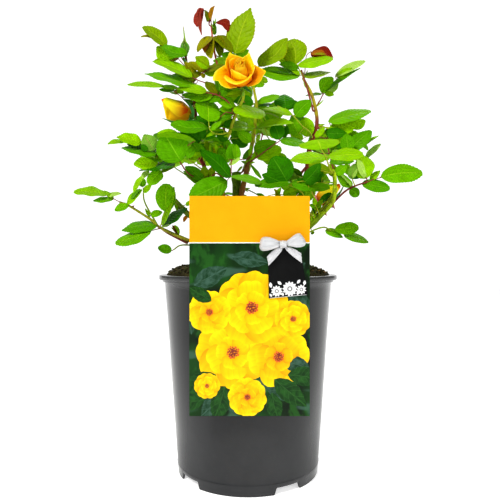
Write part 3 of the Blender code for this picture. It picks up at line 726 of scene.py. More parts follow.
def make_pot():
    step = 2 * math.pi / 216
    columns = [i * step for i in range(216)]
    for centre, span in NOTCHES:
        for side in (-1, 1):
            for reach in (1.0, 0.93, 0.86, 0.80):
                columns.append(math.radians(centre) + side * math.radians(span / 2) * reach)
    columns = sorted({round(a % (2 * math.pi), 5) for a in columns})
    rim_under = POT_HEIGHT - RIM_DEPTH
    step_under = rim_under - STEP_DEPTH
    r = RIM_RADIUS
    out = [
        (0.0, FLOOR_TOP), (body_radius(FLOOR_TOP) - WALL - 0.003, FLOOR_TOP),
        (body_radius(FLOOR_TOP) - WALL - 0.0008, FLOOR_TOP + 0.0010),
        (body_radius(FLOOR_TOP) - WALL, FLOOR_TOP + 0.0030),
        (body_radius(0.10) - WALL, 0.10),
        (body_radius(rim_under) - WALL, rim_under),
        (body_radius(rim_under) - WALL, POT_HEIGHT - 0.0006),
        (body_radius(rim_under) - WALL + 0.0006, POT_HEIGHT),
        (r - 0.0014, POT_HEIGHT), (r - 0.0008, POT_HEIGHT - 0.00012),
        (r - 0.0003, POT_HEIGHT - 0.00045), (r - 0.00005, POT_HEIGHT - 0.0010),
        (r, POT_HEIGHT - 0.0018), (r - 0.00005, rim_under + 0.0012),
        (r - 0.0002, rim_under + 0.0005), (r - 0.0006, rim_under + 0.0001),
        (r - 0.0012, rim_under), (STEP_RADIUS + 0.0004, rim_under),
        (STEP_RADIUS, rim_under - 0.0003), (STEP_RADIUS - 0.0001, step_under + 0.0006),
        (STEP_RADIUS - 0.0004, step_under + 0.0001),
        (body_radius(step_under) + 0.0003, step_under),
        (body_radius(step_under), step_under - 0.0005),
        (body_radius(0.150), 0.150), (body_radius(0.100), 0.100), (body_radius(0.050), 0.050),
        (body_radius(SKIRT_RISE) + 0.00005, SKIRT_RISE + 0.0006),
        (body_radius(SKIRT_RISE) + 0.00035, SKIRT_RISE),
        (body_radius(SKIRT_RISE) + 0.00045, SKIRT_RISE - 0.0006),
        (FOOT_RADIUS + 0.0006, 0.0078),
        (FOOT_RADIUS, None), (FOOT_RADIUS - 0.0018, None),
        (FOOT_RADIUS - 0.0018, FLOOR_UNDER - 0.0007),
        (FOOT_RADIUS - 0.0028, FLOOR_UNDER), (0.0, FLOOR_UNDER),
    ]
    verts, faces = lathe(out[::-1], columns, foot_height)
    mesh = bpy.data.meshes.new("pot_shell")
    mesh.from_pydata(verts, [], faces)
    bm = bmesh.new()
    bm.from_mesh(mesh)
    bmesh.ops.recalc_face_normals(bm, faces=bm.faces)
    bm.to_mesh(mesh)
    bm.free()
    ob = bpy.data.objects.new("pot_shell", mesh)
    scene.collection.objects.link(ob)
    holes = bmesh.new()
    for i in range(6):
        a = 2 * math.pi * (i + 0.5) / 6
        spin = Matrix.Translation((0.048 * math.cos(a), 0.048 * math.sin(a), 0.0085))
        bmesh.ops.create_cone(holes, cap_ends=True, segments=28, radius1=0.004,
                              radius2=0.004, depth=0.012, matrix=spin)
    hole_mesh = bpy.data.meshes.new("holes")
    holes.to_mesh(hole_mesh)
    holes.free()
    hole_ob = bpy.data.objects.new("holes", hole_mesh)
    scene.collection.objects.link(hole_ob)
    mod = ob.modifiers.new("drain", "BOOLEAN")
    mod.operation = "DIFFERENCE"
    mod.solver = "EXACT"
    mod.object = hole_ob
    bpy.context.view_layer.update()
    dg = bpy.context.evaluated_depsgraph_get()
    done = bpy.data.meshes.new_from_object(ob.evaluated_get(dg))
    ob.modifiers.clear()
    ob.data = done
    bpy.data.objects.remove(hole_ob, do_unlink=True)
    done.materials.clear()
    done.materials.append(plastic_material())
    for p in done.polygons:
        p.use_smooth = True
    done.set_sharp_from_angle(angle=math.radians(32))
    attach(ob, BODY)
    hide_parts("pot")


make_pot()

# =============================================================================
# compost
# =============================================================================
HEAP_EDGE = body_radius(POT_HEIGHT - RIM_DEPTH) - WALL - 0.0003


def heap_height(r):
    t = max(0.0, 1.0 - (r / HEAP_EDGE) ** 2)
    if r < 0.022:
        t = 1.0 - (0.022 / HEAP_EDGE) ** 2
    return POT_HEIGHT + 0.0002 + 0.0165 * t ** 0.66


def heap_surface(x, y):
    """Crumbled surface of the heap."""
    r = math.hypot(x, y)
    p = Vector((x, y, 0.0))
    lump = 0.0016 * noise.noise(Vector((x, y, heap_height(r))) * 60.0)
    fine = 0.0012 * noise.fractal(p * 260.0, 0.9, 2.1, 3)
    fade = min(1.0, max(0.0, (HEAP_EDGE - r) / 0.004))
    return heap_height(r) + (lump * min(1.0, max(0.0, (r - 0.030) / 0.012)) + fine) * (0.35 + 0.65 * fade)


def make_compost():
    rng = random.Random(11)
    columns = [2 * math.pi * i / 150 for i in range(150)]
    radii = [0.004 + (HEAP_EDGE - 0.004) * (i / 46) ** 0.92 for i in range(47)]
    verts, faces = [(0.0, 0.0, heap_surface(0, 0))], []
    for r in radii:
        for a in columns:
            x, y = r * math.sin(a), -r * math.cos(a)
            verts.append((x, y, heap_surface(x, y)))
    low = [(HEAP_EDGE, POT_HEIGHT - 0.0012), (body_radius(0.1) - WALL - 0.0003, 0.10),
           (body_radius(0.0125) - WALL - 0.0003, FLOOR_TOP + 0.0033),
           (body_radius(0.0125) - WALL - 0.0033, FLOOR_TOP + 0.0003)]
    for r, z in low:
        for a in columns:
            verts.append((r * math.sin(a), -r * math.cos(a), z))
    n = len(columns)
    for k in range(n):
        faces.append([0, 1 + k, 1 + (k + 1) % n])
    rows = len(radii) + len(low)
    for i in range(rows - 1):
        for k in range(n):
            j = (k + 1) % n
            a, b = 1 + i * n, 1 + (i + 1) * n
            faces.append([a + k, b + k, b + j, a + j])
    bottom = len(verts)
    verts.append((0.0, 0.0, FLOOR_TOP + 0.0003))
    a = 1 + (rows - 1) * n
    for k in range(n):
        faces.append([a + (k + 1) % n, a + k, bottom])
    heap = Build()
    heap.add(verts, faces, plain_uvs(verts, faces))
    mat = compost_material("compost_fine", (0.015, 0.012, 0.004), (0.070, 0.058, 0.022), 130.0)
    heap.finish("compost_heap", mat, "compost", ("compost",))

    ball = bmesh.new()
    bmesh.ops.create_icosphere(ball, subdivisions=1, radius=1.0)
    ball.verts.ensure_lookup_table()
    ball_v = [v.co.copy() for v in ball.verts]
    ball_f = [[v.index for v in f.verts] for f in ball.faces]
    ball.free()
    kinds = [
        ("compost_crumbs_dark", (0.016, 0.013, 0.005), (0.046, 0.039, 0.015), 560, (0.6, 2.0), 1.5),
        ("compost_crumbs_brown", (0.040, 0.031, 0.009), (0.110, 0.088, 0.030), 300, (0.5, 1.9), 2.1),
        ("compost_chips_tan", (0.16, 0.085, 0.034), (0.30, 0.18, 0.085), 90, (0.5, 1.4), 3.2),
        ("compost_moss_bits", (0.055, 0.070, 0.012), (0.15, 0.17, 0.035), 130, (0.5, 1.2), 1.4),
    ]
    for name, dark, light, count, sizes, longer in kinds:
        b = Build()
        for i in range(count):
            r = HEAP_EDGE * math.sqrt(rng.uniform(0.02, 0.985))
            a = rng.uniform(0, 2 * math.pi)
            size = rng.uniform(*sizes) * MM
            if r > HEAP_EDGE - 0.0025:
                r = HEAP_EDGE - 0.0025
            x, y = r * math.sin(a), -r * math.cos(a)
            spin = Matrix.Rotation(rng.uniform(0, 6.28), 3, "Z") @ \
                Matrix.Rotation(rng.uniform(-0.6, 0.6), 3, "X")
            stretchy = Vector((rng.uniform(1.0, longer), rng.uniform(0.7, 1.0), rng.uniform(0.45, 0.8)))
            shift = Vector((rng.uniform(0, 9), rng.uniform(0, 9), rng.uniform(0, 9)))
            base = Vector((x, y, heap_surface(x, y) + size * 0.22))
            vs = []
            for v in ball_v:
                k = 1.0 + 0.38 * noise.noise(v * 1.7 + shift)
                vs.append(base + spin @ Vector((v.x * stretchy.x, v.y * stretchy.y, v.z * stretchy.z)) * k * size)
            b.add([tuple(v) for v in vs], ball_f, plain_uvs([tuple(v) for v in vs], ball_f))
        b.finish(name, compost_material(name + "_look", dark, light, 300.0), "compost")


make_compost()

# =============================================================================
# picture card
# =============================================================================
CARD_WIDTH = 0.1078
CARD_BOTTOM = 0.0830
CARD_TOP = 0.2800
CARD_BACK = -(RIM_RADIUS + 0.0005)
CARD_FRONT = CARD_BACK - 0.0008
CARD_X = 0.0014
CARD_LEFT = CARD_X - CARD_WIDTH / 2
CARD_RIGHT = CARD_X + CARD_WIDTH / 2
BAND_LOW = 0.2385
FIELD_TOP = 0.2376


def rounded(x0, z0, x1, z1, r, steps=6):
    """An anticlockwise outline of a box with rounded corners; r holds the
    radii of the low left, low right, high right and high left corners."""
    out = []
    for cx, cz, a0, rad in ((x0 + r[0], z0 + r[0], math.pi, r[0]),
                            (x1 - r[1], z0 + r[1], 1.5 * math.pi, r[1]),
                            (x1 - r[2], z1 - r[2], 0.0, r[2]),
                            (x0 + r[3], z1 - r[3], 0.5 * math.pi, r[3])):
        if rad <= 0:
            out.append((cx, cz))
            continue
        for i in range(steps + 1):
            a = a0 + 0.5 * math.pi * i / steps
            out.append((cx + rad * math.cos(a), cz + rad * math.sin(a)))
    return out


def board_material():
    m = Net("card_board", 0.40, 0.5)
    at = m.place()
    m.colour(m.mix(m.spread(m.noise(at, 900.0, 3.0), 0.3, 0.7), (0.80, 0.80, 0.78), (0.90, 0.90, 0.88)))
    m.bump(m.noise(at, 1500.0, 2.0), 0.00003, 0.5)
    return m.mat


def ink_material(name, low, high, scale=60.0, gloss=0.30, stretch=(1, 1, 1)):
    m = Net(name, gloss, 0.12)
    at = m.place()
    cloud = m.noise(m.stretch(at, stretch), scale, 4.0, 0.6)
    grain = m.noise(at, 2600.0, 2.0)
    col = m.mix(m.spread(cloud, 0.35, 0.65), low, high)
    m.colour(m.scaled(col, m.spread(grain, 0.3, 0.7, 0.96, 1.04, False)))
    m.bump(grain, 0.00002, 0.4)
    return m.mat


def field_material():
    """Out-of-focus greenery: soft dark greens with a few grey-green drifts."""
    m = Net("card_field", 0.30, 0.20)
    at = m.place()
    big = m.noise(m.stretch(at, (1.0, 1.0, 0.7)), 34.0, 2.0, 0.5)
    mid = m.noise(m.stretch(at, (1.3, 1.0, 0.8)), 78.0, 3.0, 0.5)
    col = m.mix(m.spread(big, 0.38, 0.62), (0.002, 0.011, 0.002), (0.008, 0.056, 0.006))
    col = m.mix(m.math("MULTIPLY", m.spread(mid, 0.52, 0.66), 0.70), col, (0.020, 0.110, 0.012))
    drift = m.spread(m.noise(m.stretch(at, (0.8, 1.0, 1.6)), 52.0, 1.0, 0.4), 0.56, 0.68)
    col = m.mix(m.math("MULTIPLY", drift, 0.55), col, (0.070, 0.150, 0.110))
    m.colour(col)
    return m.mat


def leaf_print_material(name, low, high, line):
    m = Net(name, 0.30, 0.20)
    u, v, _ = m.split(m.uv("OFBake"))
    s = m.math("ABSOLUTE", m.math("SUBTRACT", m.math("MULTIPLY", u, 2.0), 1.0))
    q = m.math("SUBTRACT", m.math("MULTIPLY", v, 7.0), m.math("MULTIPLY", s, 1.6))
    rib = m.spread(m.math("ABSOLUTE", m.math("SUBTRACT", m.math("FRACT", q), 0.5)), 0.40, 0.5)
    cloud = m.noise(m.join(m.math("MULTIPLY", u, 3.0), m.math("MULTIPLY", v, 4.0), 0.0), 1.0, 3.0)
    col = m.mix(m.spread(cloud, 0.3, 0.7), low, high)
    col = m.mix(m.math("MULTIPLY", m.math("MAXIMUM", m.math("MULTIPLY", rib, 0.55),
                                          m.spread(s, 0.02, 0.07, 1.0, 0.0)), 0.6), col, line)
    m.colour(col)
    return m.mat


def blossom_material(name, heart, body, lip):
    m = Net(name, 0.30, 0.16)
    u, v, _ = m.split(m.uv("OFBake"))
    streak = m.noise(m.join(m.math("MULTIPLY", u, 22.0), m.math("MULTIPLY", v, 1.8), 0.0), 1.0, 3.0)
    side = m.math("ABSOLUTE", m.math("SUBTRACT", m.math("MULTIPLY", u, 2.0), 1.0))
    col = m.mix(m.spread(v, 0.10, 0.62), heart, body)
    col = m.mix(m.spread(v, 0.70, 1.0), col, lip)
    col = m.mix(m.math("MULTIPLY", m.spread(side, 0.60, 1.0), 0.55), col, heart)
    m.colour(m.scaled(col, m.spread(streak, 0.3, 0.7, 0.88, 1.08, False)))
    return m.mat


def make_card():
    board = Build()
    outline = rounded(CARD_LEFT, CARD_BOTTOM, CARD_RIGHT, CARD_TOP, (0.0006,) * 4)
    prism(board, outline, CARD_BACK, CARD_FRONT)
    # the hook over the rim: a tongue with a bent end that stands in the compost
    half, thick = 0.0080, 0.0008
    leg_y = -(body_radius(POT_HEIGHT - RIM_DEPTH) - WALL - 0.0012)
    path = [(CARD_BACK + 0.0001, POT_HEIGHT + 0.0007), (leg_y - 0.0012, POT_HEIGHT + 0.0007),
            (leg_y + 0.0001, POT_HEIGHT + 0.0004), (leg_y + 0.0004, POT_HEIGHT - 0.0008),
            (leg_y + 0.0004, POT_HEIGHT - 0.0097)]
    verts = []
    for i, (y, z) in enumerate(path):
        a = path[max(0, i - 1)]
        b = path[min(len(path) - 1, i + 1)]
        d = Vector((b[0] - a[0], b[1] - a[1])).normalized()
        ny, nz = -d[1] * thick / 2, d[0] * thick / 2
        verts += [(-half, y + ny, z + nz), (half, y + ny, z + nz),
                  (half, y - ny, z - nz), (-half, y - ny, z - nz)]
    faces = [[3, 2, 1, 0]]
    for i in range(len(path) - 1):
        a, b = 4 * i, 4 * (i + 1)
        for k in range(4):
            j = (k + 1) % 4
            faces.append([a + k, a + j, b + j, b + k])
    e = 4 * (len(path) - 1)
    faces.append([e, e + 1, e + 2, e + 3])
    board.add(verts, faces, plain_uvs(verts, faces))
    board.finish("card_board", board_material(), "card_print", ("picture_card",), smooth=False)

    front = CARD_FRONT + 0.00005
    band = Build()
    prism(band, rounded(CARD_LEFT, BAND_LOW, CARD_RIGHT, CARD_TOP, (0, 0, 0.0006, 0.0006)),
          front, CARD_FRONT - 0.00003)
    band.finish("card_band", ink_material("amber_ink", (0.80, 0.362, 0.002), (0.84, 0.382, 0.003), 30.0, 0.46),
                "card_print", smooth=False)
    field = Build()
    prism(field, rounded(CARD_LEFT, CARD_BOTTOM, CARD_RIGHT, FIELD_TOP, (0.0006, 0.0006, 0, 0)),
          front, CARD_FRONT - 0.00003)
    field.finish("card_field", field_material(), "card_print", smooth=False)

    rng = random.Random(5)

    def card_leaf(build, x, z, length, width, turn, layer):
        c, s = math.cos(turn), math.sin(turn)
        outline = []
        n = 13
        pts = []
        for side in (1, -1):
            rows = range(n) if side == 1 else range(n - 2, 0, -1)
            for i in rows:
                t = i / (n - 1)
                w = width / 2 * (math.sin(math.pi * t ** 0.85) ** 0.85) if 0 < t < 1 else 0.0
                w *= 1.0 + (0.06 if i % 2 else 0.0)
                pts.append((side * w, t * length, 0.5 + side * 0.5 * (w > 0), t))
        lookup = {}
        for px, pz, u, t in pts:
            q = (x + c * px - s * pz, z + s * px + c * pz)
            q = (min(CARD_RIGHT - 0.0002, max(CARD_LEFT + 0.0002, q[0])),
                 min(FIELD_TOP - 0.0002, max(CARD_BOTTOM + 0.0002, q[1])))
            outline.append(q)
            lookup[(round(q[0], 7), round(q[1], 7))] = (u, t)
        centre = (x - s * length * 0.5, z + c * length * 0.5)
        centre = (min(CARD_RIGHT - 0.001, max(CARD_LEFT + 0.001, centre[0])),
                  min(FIELD_TOP - 0.001, max(CARD_BOTTOM + 0.001, centre[1])))
        top = CARD_FRONT - 0.00004 - layer * 0.000010
        fan_prism(build, centre, outline, CARD_FRONT - 0.00001, top,
                  lambda px, pz: lookup.get((round(px, 7), round(pz, 7)), (0.5, 0.5)))

    back_leaves, fore_leaves = Build("OFBake"), Build("OFBake")
    # in millimetres from the middle of the printed field: place, size, turn
    for i, (x, z, length, width, deg) in enumerate((
            (-50, 40, 34, 17, -62), (-16, 66, 34, 14, -100), (50, 60, 36, 16, 118),
            (-52, -4, 30, 15, 20), (53, 10, 34, 17, 30), (44, -60, 40, 22, 60),
            (10, -72, 34, 18, 80), (-24, -56, 30, 16, 140), (54, -34, 30, 14, 75))):
        card_leaf(back_leaves, CARD_X + x * MM, 0.160 + z * MM, length * MM, width * MM,
                  math.radians(deg), i)
    for i, (x, z, length, width, deg) in enumerate((
            (-30, -40, 36, 18, 118), (-22, -50, 34, 17, 165), (-40, -62, 30, 15, 100),
            (22, -44, 38, 18, -130), (34, -40, 34, 17, -95), (20, -56, 28, 14, -170),
            (-34, 26, 24, 12, 60), (26, 44, 26, 13, -40), (-4, -60, 26, 13, 178))):
        card_leaf(fore_leaves, CARD_X + x * MM, 0.160 + z * MM, length * MM, width * MM,
                  math.radians(deg), 10 + i)
    back_leaves.finish("card_leaves_far", leaf_print_material(
        "far_leaf_ink", (0.006, 0.040, 0.012), (0.050, 0.115, 0.080), (0.08, 0.16, 0.11)),
        "card_print", smooth=False)
    fore_leaves.finish("card_leaves_near", leaf_print_material(
        "near_leaf_ink", (0.004, 0.034, 0.004), (0.018, 0.095, 0.012), (0.06, 0.17, 0.04)),
        "card_print", smooth=False)

    petals, lips, hearts = Build("OFBake"), Build("OFBake"), Build("OFBake")

    def card_petal(build, cx, cz, reach, width, turn, top):
        """A broad notched petal of a simple open blossom."""
        n = 19
        c, s = math.cos(turn), math.sin(turn)
        outline, lookup = [], {}
        for i in range(n):
            a = math.pi * (i / (n - 1)) * 1.16 - math.pi * 0.08
            x = math.cos(a) * width / 2
            z = reach * 0.52 + math.sin(a) * reach * 0.48
            z -= reach * 0.07 * math.exp(-((a - math.pi / 2) / 0.22) ** 2)
            x *= 1.0 + 0.02 * math.sin(5 * a + turn)
            outline.append((x, z))
        outline += [(-width * 0.10, reach * 0.04), (width * 0.10, reach * 0.04)]
        out = []
        for x, z in outline:
            q = (cx + c * x - s * z, cz + s * x + c * z)
            q = (min(CARD_RIGHT - 0.0002, max(CARD_LEFT + 0.0002, q[0])),
                 min(FIELD_TOP - 0.0002, max(CARD_BOTTOM + 0.0002, q[1])))
            out.append(q)
            lookup[(round(q[0], 7), round(q[1], 7))] = (0.5 + x / width, z / reach)
        mid = (cx - s * reach * 0.5, cz + c * reach * 0.5)
        mid = (min(CARD_RIGHT - 0.001, max(CARD_LEFT + 0.001, mid[0])), mid[1])
        fan_prism(build, mid, out, CARD_FRONT - 0.00001, top,
                  lambda px, pz: lookup.get((round(px, 7), round(pz, 7)), (0.5, 0.5)))

    # double blossoms in a loose bunch: place, radius, turn
    bunch = ((-15, -20, 34, 10), (26, -24, 29, -14), (2, 20, 34, 36), (-36, 16, 20, 0),
             (39, 10, 17, 25), (-2, -60, 18, 8), (-38, -50, 12, 30))
    layer = 0
    for bx, bz, size, deg in bunch:
        cx, cz = CARD_X + bx * MM, 0.160 + bz * MM
        for ring, (share, count, turn) in enumerate(((1.0, 6, 0.0), (0.74, 5, 34.0), (0.46, 5, 8.0))):
            for k in range(count):
                layer += 1
                top = CARD_FRONT - 0.00007 - layer * 0.0000018
                target = petals if (k + layer + ring) % 2 else lips
                card_petal(target, cx, cz, size * share * MM, size * share * MM * rng.uniform(1.02, 1.14),
                           math.radians(deg + turn + 360 / count * k + rng.uniform(-6, 6)), top)
        layer += 1
        top = CARD_FRONT - 0.00007 - layer * 0.0000018
        for k in range(30):
            a = 2.399963 * k
            d = size * MM * 0.030 * math.sqrt(k)
            r = size * MM * 0.028 * rng.uniform(0.8, 1.25)
            px, pz = cx + d * math.cos(a), cz + d * math.sin(a)
            out = [(px + r * math.cos(t), pz + r * math.sin(t))
                   for t in (2 * math.pi * i / 8 for i in range(8))]
            shade = k / 30
            fan_prism(hearts, (px, pz), out, CARD_FRONT - 0.00001, top - 0.0000012 * (k % 5),
                      lambda x, z, v=shade: (0.5, v))
    petals.finish("card_petals", blossom_material(
        "petal_ink", (0.78, 0.24, 0.000), (0.90, 0.48, 0.000), (0.96, 0.62, 0.001)), "card_print", smooth=False)
    lips.finish("card_petals_light", blossom_material(
        "petal_ink_light", (0.86, 0.34, 0.000), (0.95, 0.57, 0.000), (0.99, 0.72, 0.004)), "card_print", smooth=False)
    heart = Net("heart_ink", 0.35, 0.5)
    _, hv, _ = heart.split(heart.uv("OFBake"))
    heart.colour(heart.mix(heart.spread(hv, 0.3, 1.0), (0.20, 0.007, 0.001), (0.76, 0.11, 0.002)))
    hearts.finish("card_hearts", heart.mat, "card_print", smooth=False)


make_card()

# =============================================================================
# gift tag
# =============================================================================
TAG_WIDTH_TOP = 0.0304
TAG_WIDTH_LOW = 0.0352
TAG_SIDE = 0.0295
TAG_PEAK = 0.0145
TAG_CENTRE = (0.0347, 0.2031)
TAG_TURN = math.radians(5.4)
TAG_BACK = CARD_FRONT - 0.0003
TAG_FRONT = TAG_BACK - 0.0015


def tag_point(x, z):
    c, s = math.cos(TAG_TURN), math.sin(TAG_TURN)
    return (TAG_CENTRE[0] + c * x - s * z, TAG_CENTRE[1] + s * x + c * z)


def make_tag():
    corners = [(0.0185, 0.1883), (0.0534, 0.1917), (0.0486, 0.2204), (0.0313, 0.2342), (0.0181, 0.2177)]
    outline = []
    n = len(corners)
    for i, p in enumerate(corners):
        p = Vector(p)
        a = (Vector(corners[i - 1]) - p).normalized()
        b = (Vector(corners[(i + 1) % n]) - p).normalized()
        r = 0.0006
        for t in (0.0, 0.25, 0.5, 0.75, 1.0):
            q = (p + a * r) * (1 - t) ** 2 + p * 2 * t * (1 - t) + (p + b * r) * t ** 2
            outline.append(q)
    rows = ((0.0, 0.00025), (0.00025, 0.0), (0.00125, 0.0), (0.0015, 0.00025))
    middle = sum(outline, Vector((0, 0))) / len(outline)
    verts, faces = [], []
    for depth, inset in rows:
        for q in outline:
            d = (middle - q).normalized() * inset
            verts.append((q.x + d.x, TAG_FRONT + depth, q.y + d.y))
    m = len(outline)
    faces.append(list(range(m)))
    faces.append(list(range(4 * m - 1, 3 * m - 1, -1)))
    for i in range(3):
        for k in range(m):
            j = (k + 1) % m
            faces.append([i * m + k, (i + 1) * m + k, (i + 1) * m + j, i * m + j])
    tag = Build()
    tag.add(verts, faces, plain_uvs(verts, faces, 0.03))
    black = Net("tag_black_look", 0.50, 0.16)
    at = black.place()
    grain = black.noise(at, 1400.0, 3.0)
    black.colour(black.mix(black.spread(black.noise(at, 120.0, 3.0), 0.3, 0.7),
                           (0.0020, 0.0022, 0.0024), (0.0045, 0.0048, 0.0050)))
    black.rough(black.spread(grain, 0.3, 0.7, 0.38, 0.56))
    black.bump(grain, 0.00004, 0.5)
    ob = tag.finish("gift_tag_board", black.mat, "tag_black", ("gift_tag",), smooth=False)

    # white line ornament along the foot: three plain daisies between leaf sprigs
    art = Build()
    front = TAG_FRONT - 0.00012

    def stroke(points, width, closed=False):
        pts = [Vector(p) for p in points]
        k = len(pts)
        sides = ([], [])
        for i, p in enumerate(pts):
            a = pts[i - 1] if (closed or i) else pts[0]
            b = pts[(i + 1) % k] if (closed or i < k - 1) else pts[-1]
            d = (b - a).normalized()
            nrm = Vector((-d.y, d.x)) * width / 2
            sides[0].append(p + nrm)
            sides[1].append(p - nrm)
        verts, faces = [], []
        for i in range(k):
            for q in (sides[0][i], sides[1][i]):
                x, z = tag_point(q.x, q.y)
                verts.append((x, front, z))
                verts.append((x, TAG_FRONT + 0.00002, z))
        last = k if closed else k - 1
        for i in range(last):
            a, b = 4 * i, 4 * ((i + 1) % k)
            faces += [[a, b, b + 2, a + 2], [a + 1, a + 3, b + 3, b + 1],
                      [a, a + 1, b + 1, b], [a + 2, b + 2, b + 3, a + 3]]
        if not closed:
            e = 4 * (k - 1)
            faces += [[0, 2, 3, 1], [e, e + 1, e + 3, e + 2]]
        art.add(verts, faces, plain_uvs(verts, faces, 0.03))

    def disc(x, z, r, count=14):
        ring = [(x + r * math.cos(2 * math.pi * i / count), z + r * math.sin(2 * math.pi * i / count))
                for i in range(count)]
        verts = []
        for q in ring:
            px, pz = tag_point(*q)
            verts.append((px, front, pz))
        for q in ring:
            px, pz = tag_point(*q)
            verts.append((px, TAG_FRONT + 0.00002, pz))
        faces = [list(range(count)), list(range(2 * count - 1, count - 1, -1))]
        for k in range(count):
            j = (k + 1) % count
            faces.append([k, k + count, j + count, j])
        art.add(verts, faces, plain_uvs(verts, faces, 0.03))

    def leaf_shape(x, z, length, width, turn):
        c, s = math.cos(turn), math.sin(turn)
        pts = []
        for i in range(7):
            t = i / 6
            pts.append((width / 2 * math.sin(math.pi * t) ** 0.8 if 0 < t < 1 else 0.0, t * length))
        pts += [(-px, pz) for px, pz in reversed(pts[1:-1])]
        ring = [(x + c * px - s * pz, z + s * px + c * pz) for px, pz in pts]
        k = len(ring)
        verts = []
        for y in (front, TAG_FRONT + 0.00002):
            for q in ring:
                px, pz = tag_point(*q)
                verts.append((px, y, pz))
        faces = [list(range(k)), list(range(2 * k - 1, k - 1, -1))]
        for i in range(k):
            j = (i + 1) % k
            faces.append([i, i + k, j + k, j])
        art.add(verts, faces, plain_uvs(verts, faces, 0.03))

    base = -TAG_SIDE / 2 + 0.0020
    for cx, cz, size, petals in ((0.0020, 0.0064, 0.0070, 13), (-0.0098, 0.0054, 0.0054, 11),
                                 (0.0122, 0.0048, 0.0046, 10)):
        for k in range(petals):
            a = 2 * math.pi * k / petals
            leaf_shape(cx + 0.26 * size * math.cos(a + math.pi / 2),
                       base + cz + 0.26 * size * math.sin(a + math.pi / 2),
                       size * 0.72, size * 0.36, a)
        disc(cx, base + cz, size * 0.20)
    for x, z, length, width, deg in ((-0.0145, 0.0088, 0.0050, 0.0028, 4), (-0.0146, 0.0008, 0.0034, 0.0020, 30),
                                     (-0.0042, 0.0006, 0.0034, 0.0022, 20), (0.0082, 0.0002, 0.0034, 0.0022, -14),
                                     (0.0150, 0.0084, 0.0044, 0.0026, -16), (0.0088, 0.0104, 0.0046, 0.0026, -44),
                                     (-0.0050, 0.0108, 0.0046, 0.0026, 46)):
        leaf_shape(x, base + z, length, width, math.radians(deg))
    edge = [(-TAG_WIDTH_LOW / 2 + 0.0012, base - 0.0002), (TAG_WIDTH_LOW / 2 - 0.0012, base - 0.0002)]
    stroke(edge, 0.00030)
    white = Net("tag_white_ink", 0.5, 0.4)
    at = white.place()
    white.colour(white.mix(white.spread(white.noise(at, 700.0, 3.0), 0.3, 0.7),
                           (0.74, 0.74, 0.74), (0.88, 0.88, 0.88)))
    art.finish("gift_tag_ornament", white.mat, "tag_black", smooth=False)


make_tag()

# =============================================================================
# satin bow
# =============================================================================
KNOT = Vector((0.0310, TAG_FRONT - 0.0003 - 0.0042, 0.2366))


def weave(knots, n, m):
    """A smooth sheet, n rows by m columns, through a grid of points."""
    knots = np.array(knots, float)

    def along(c, count):
        ends = np.concatenate([[2 * c[0] - c[1]], c, [2 * c[-1] - c[-2]]])
        out = []
        for k in range(count):
            at = k / (count - 1) * (len(c) - 1)
            i = min(int(at), len(c) - 2)
            t = at - i
            p0, p1, p2, p3 = ends[i:i + 4]
            out.append(0.5 * (2 * p1 + (p2 - p0) * t + (2 * p0 - 5 * p1 + 4 * p2 - p3) * t * t
                              + (3 * p1 - p0 - 3 * p2 + p3) * t ** 3))
        return np.array(out)

    rows = np.swapaxes(along(np.swapaxes(knots, 0, 1), m), 0, 1)
    return along(rows, n)


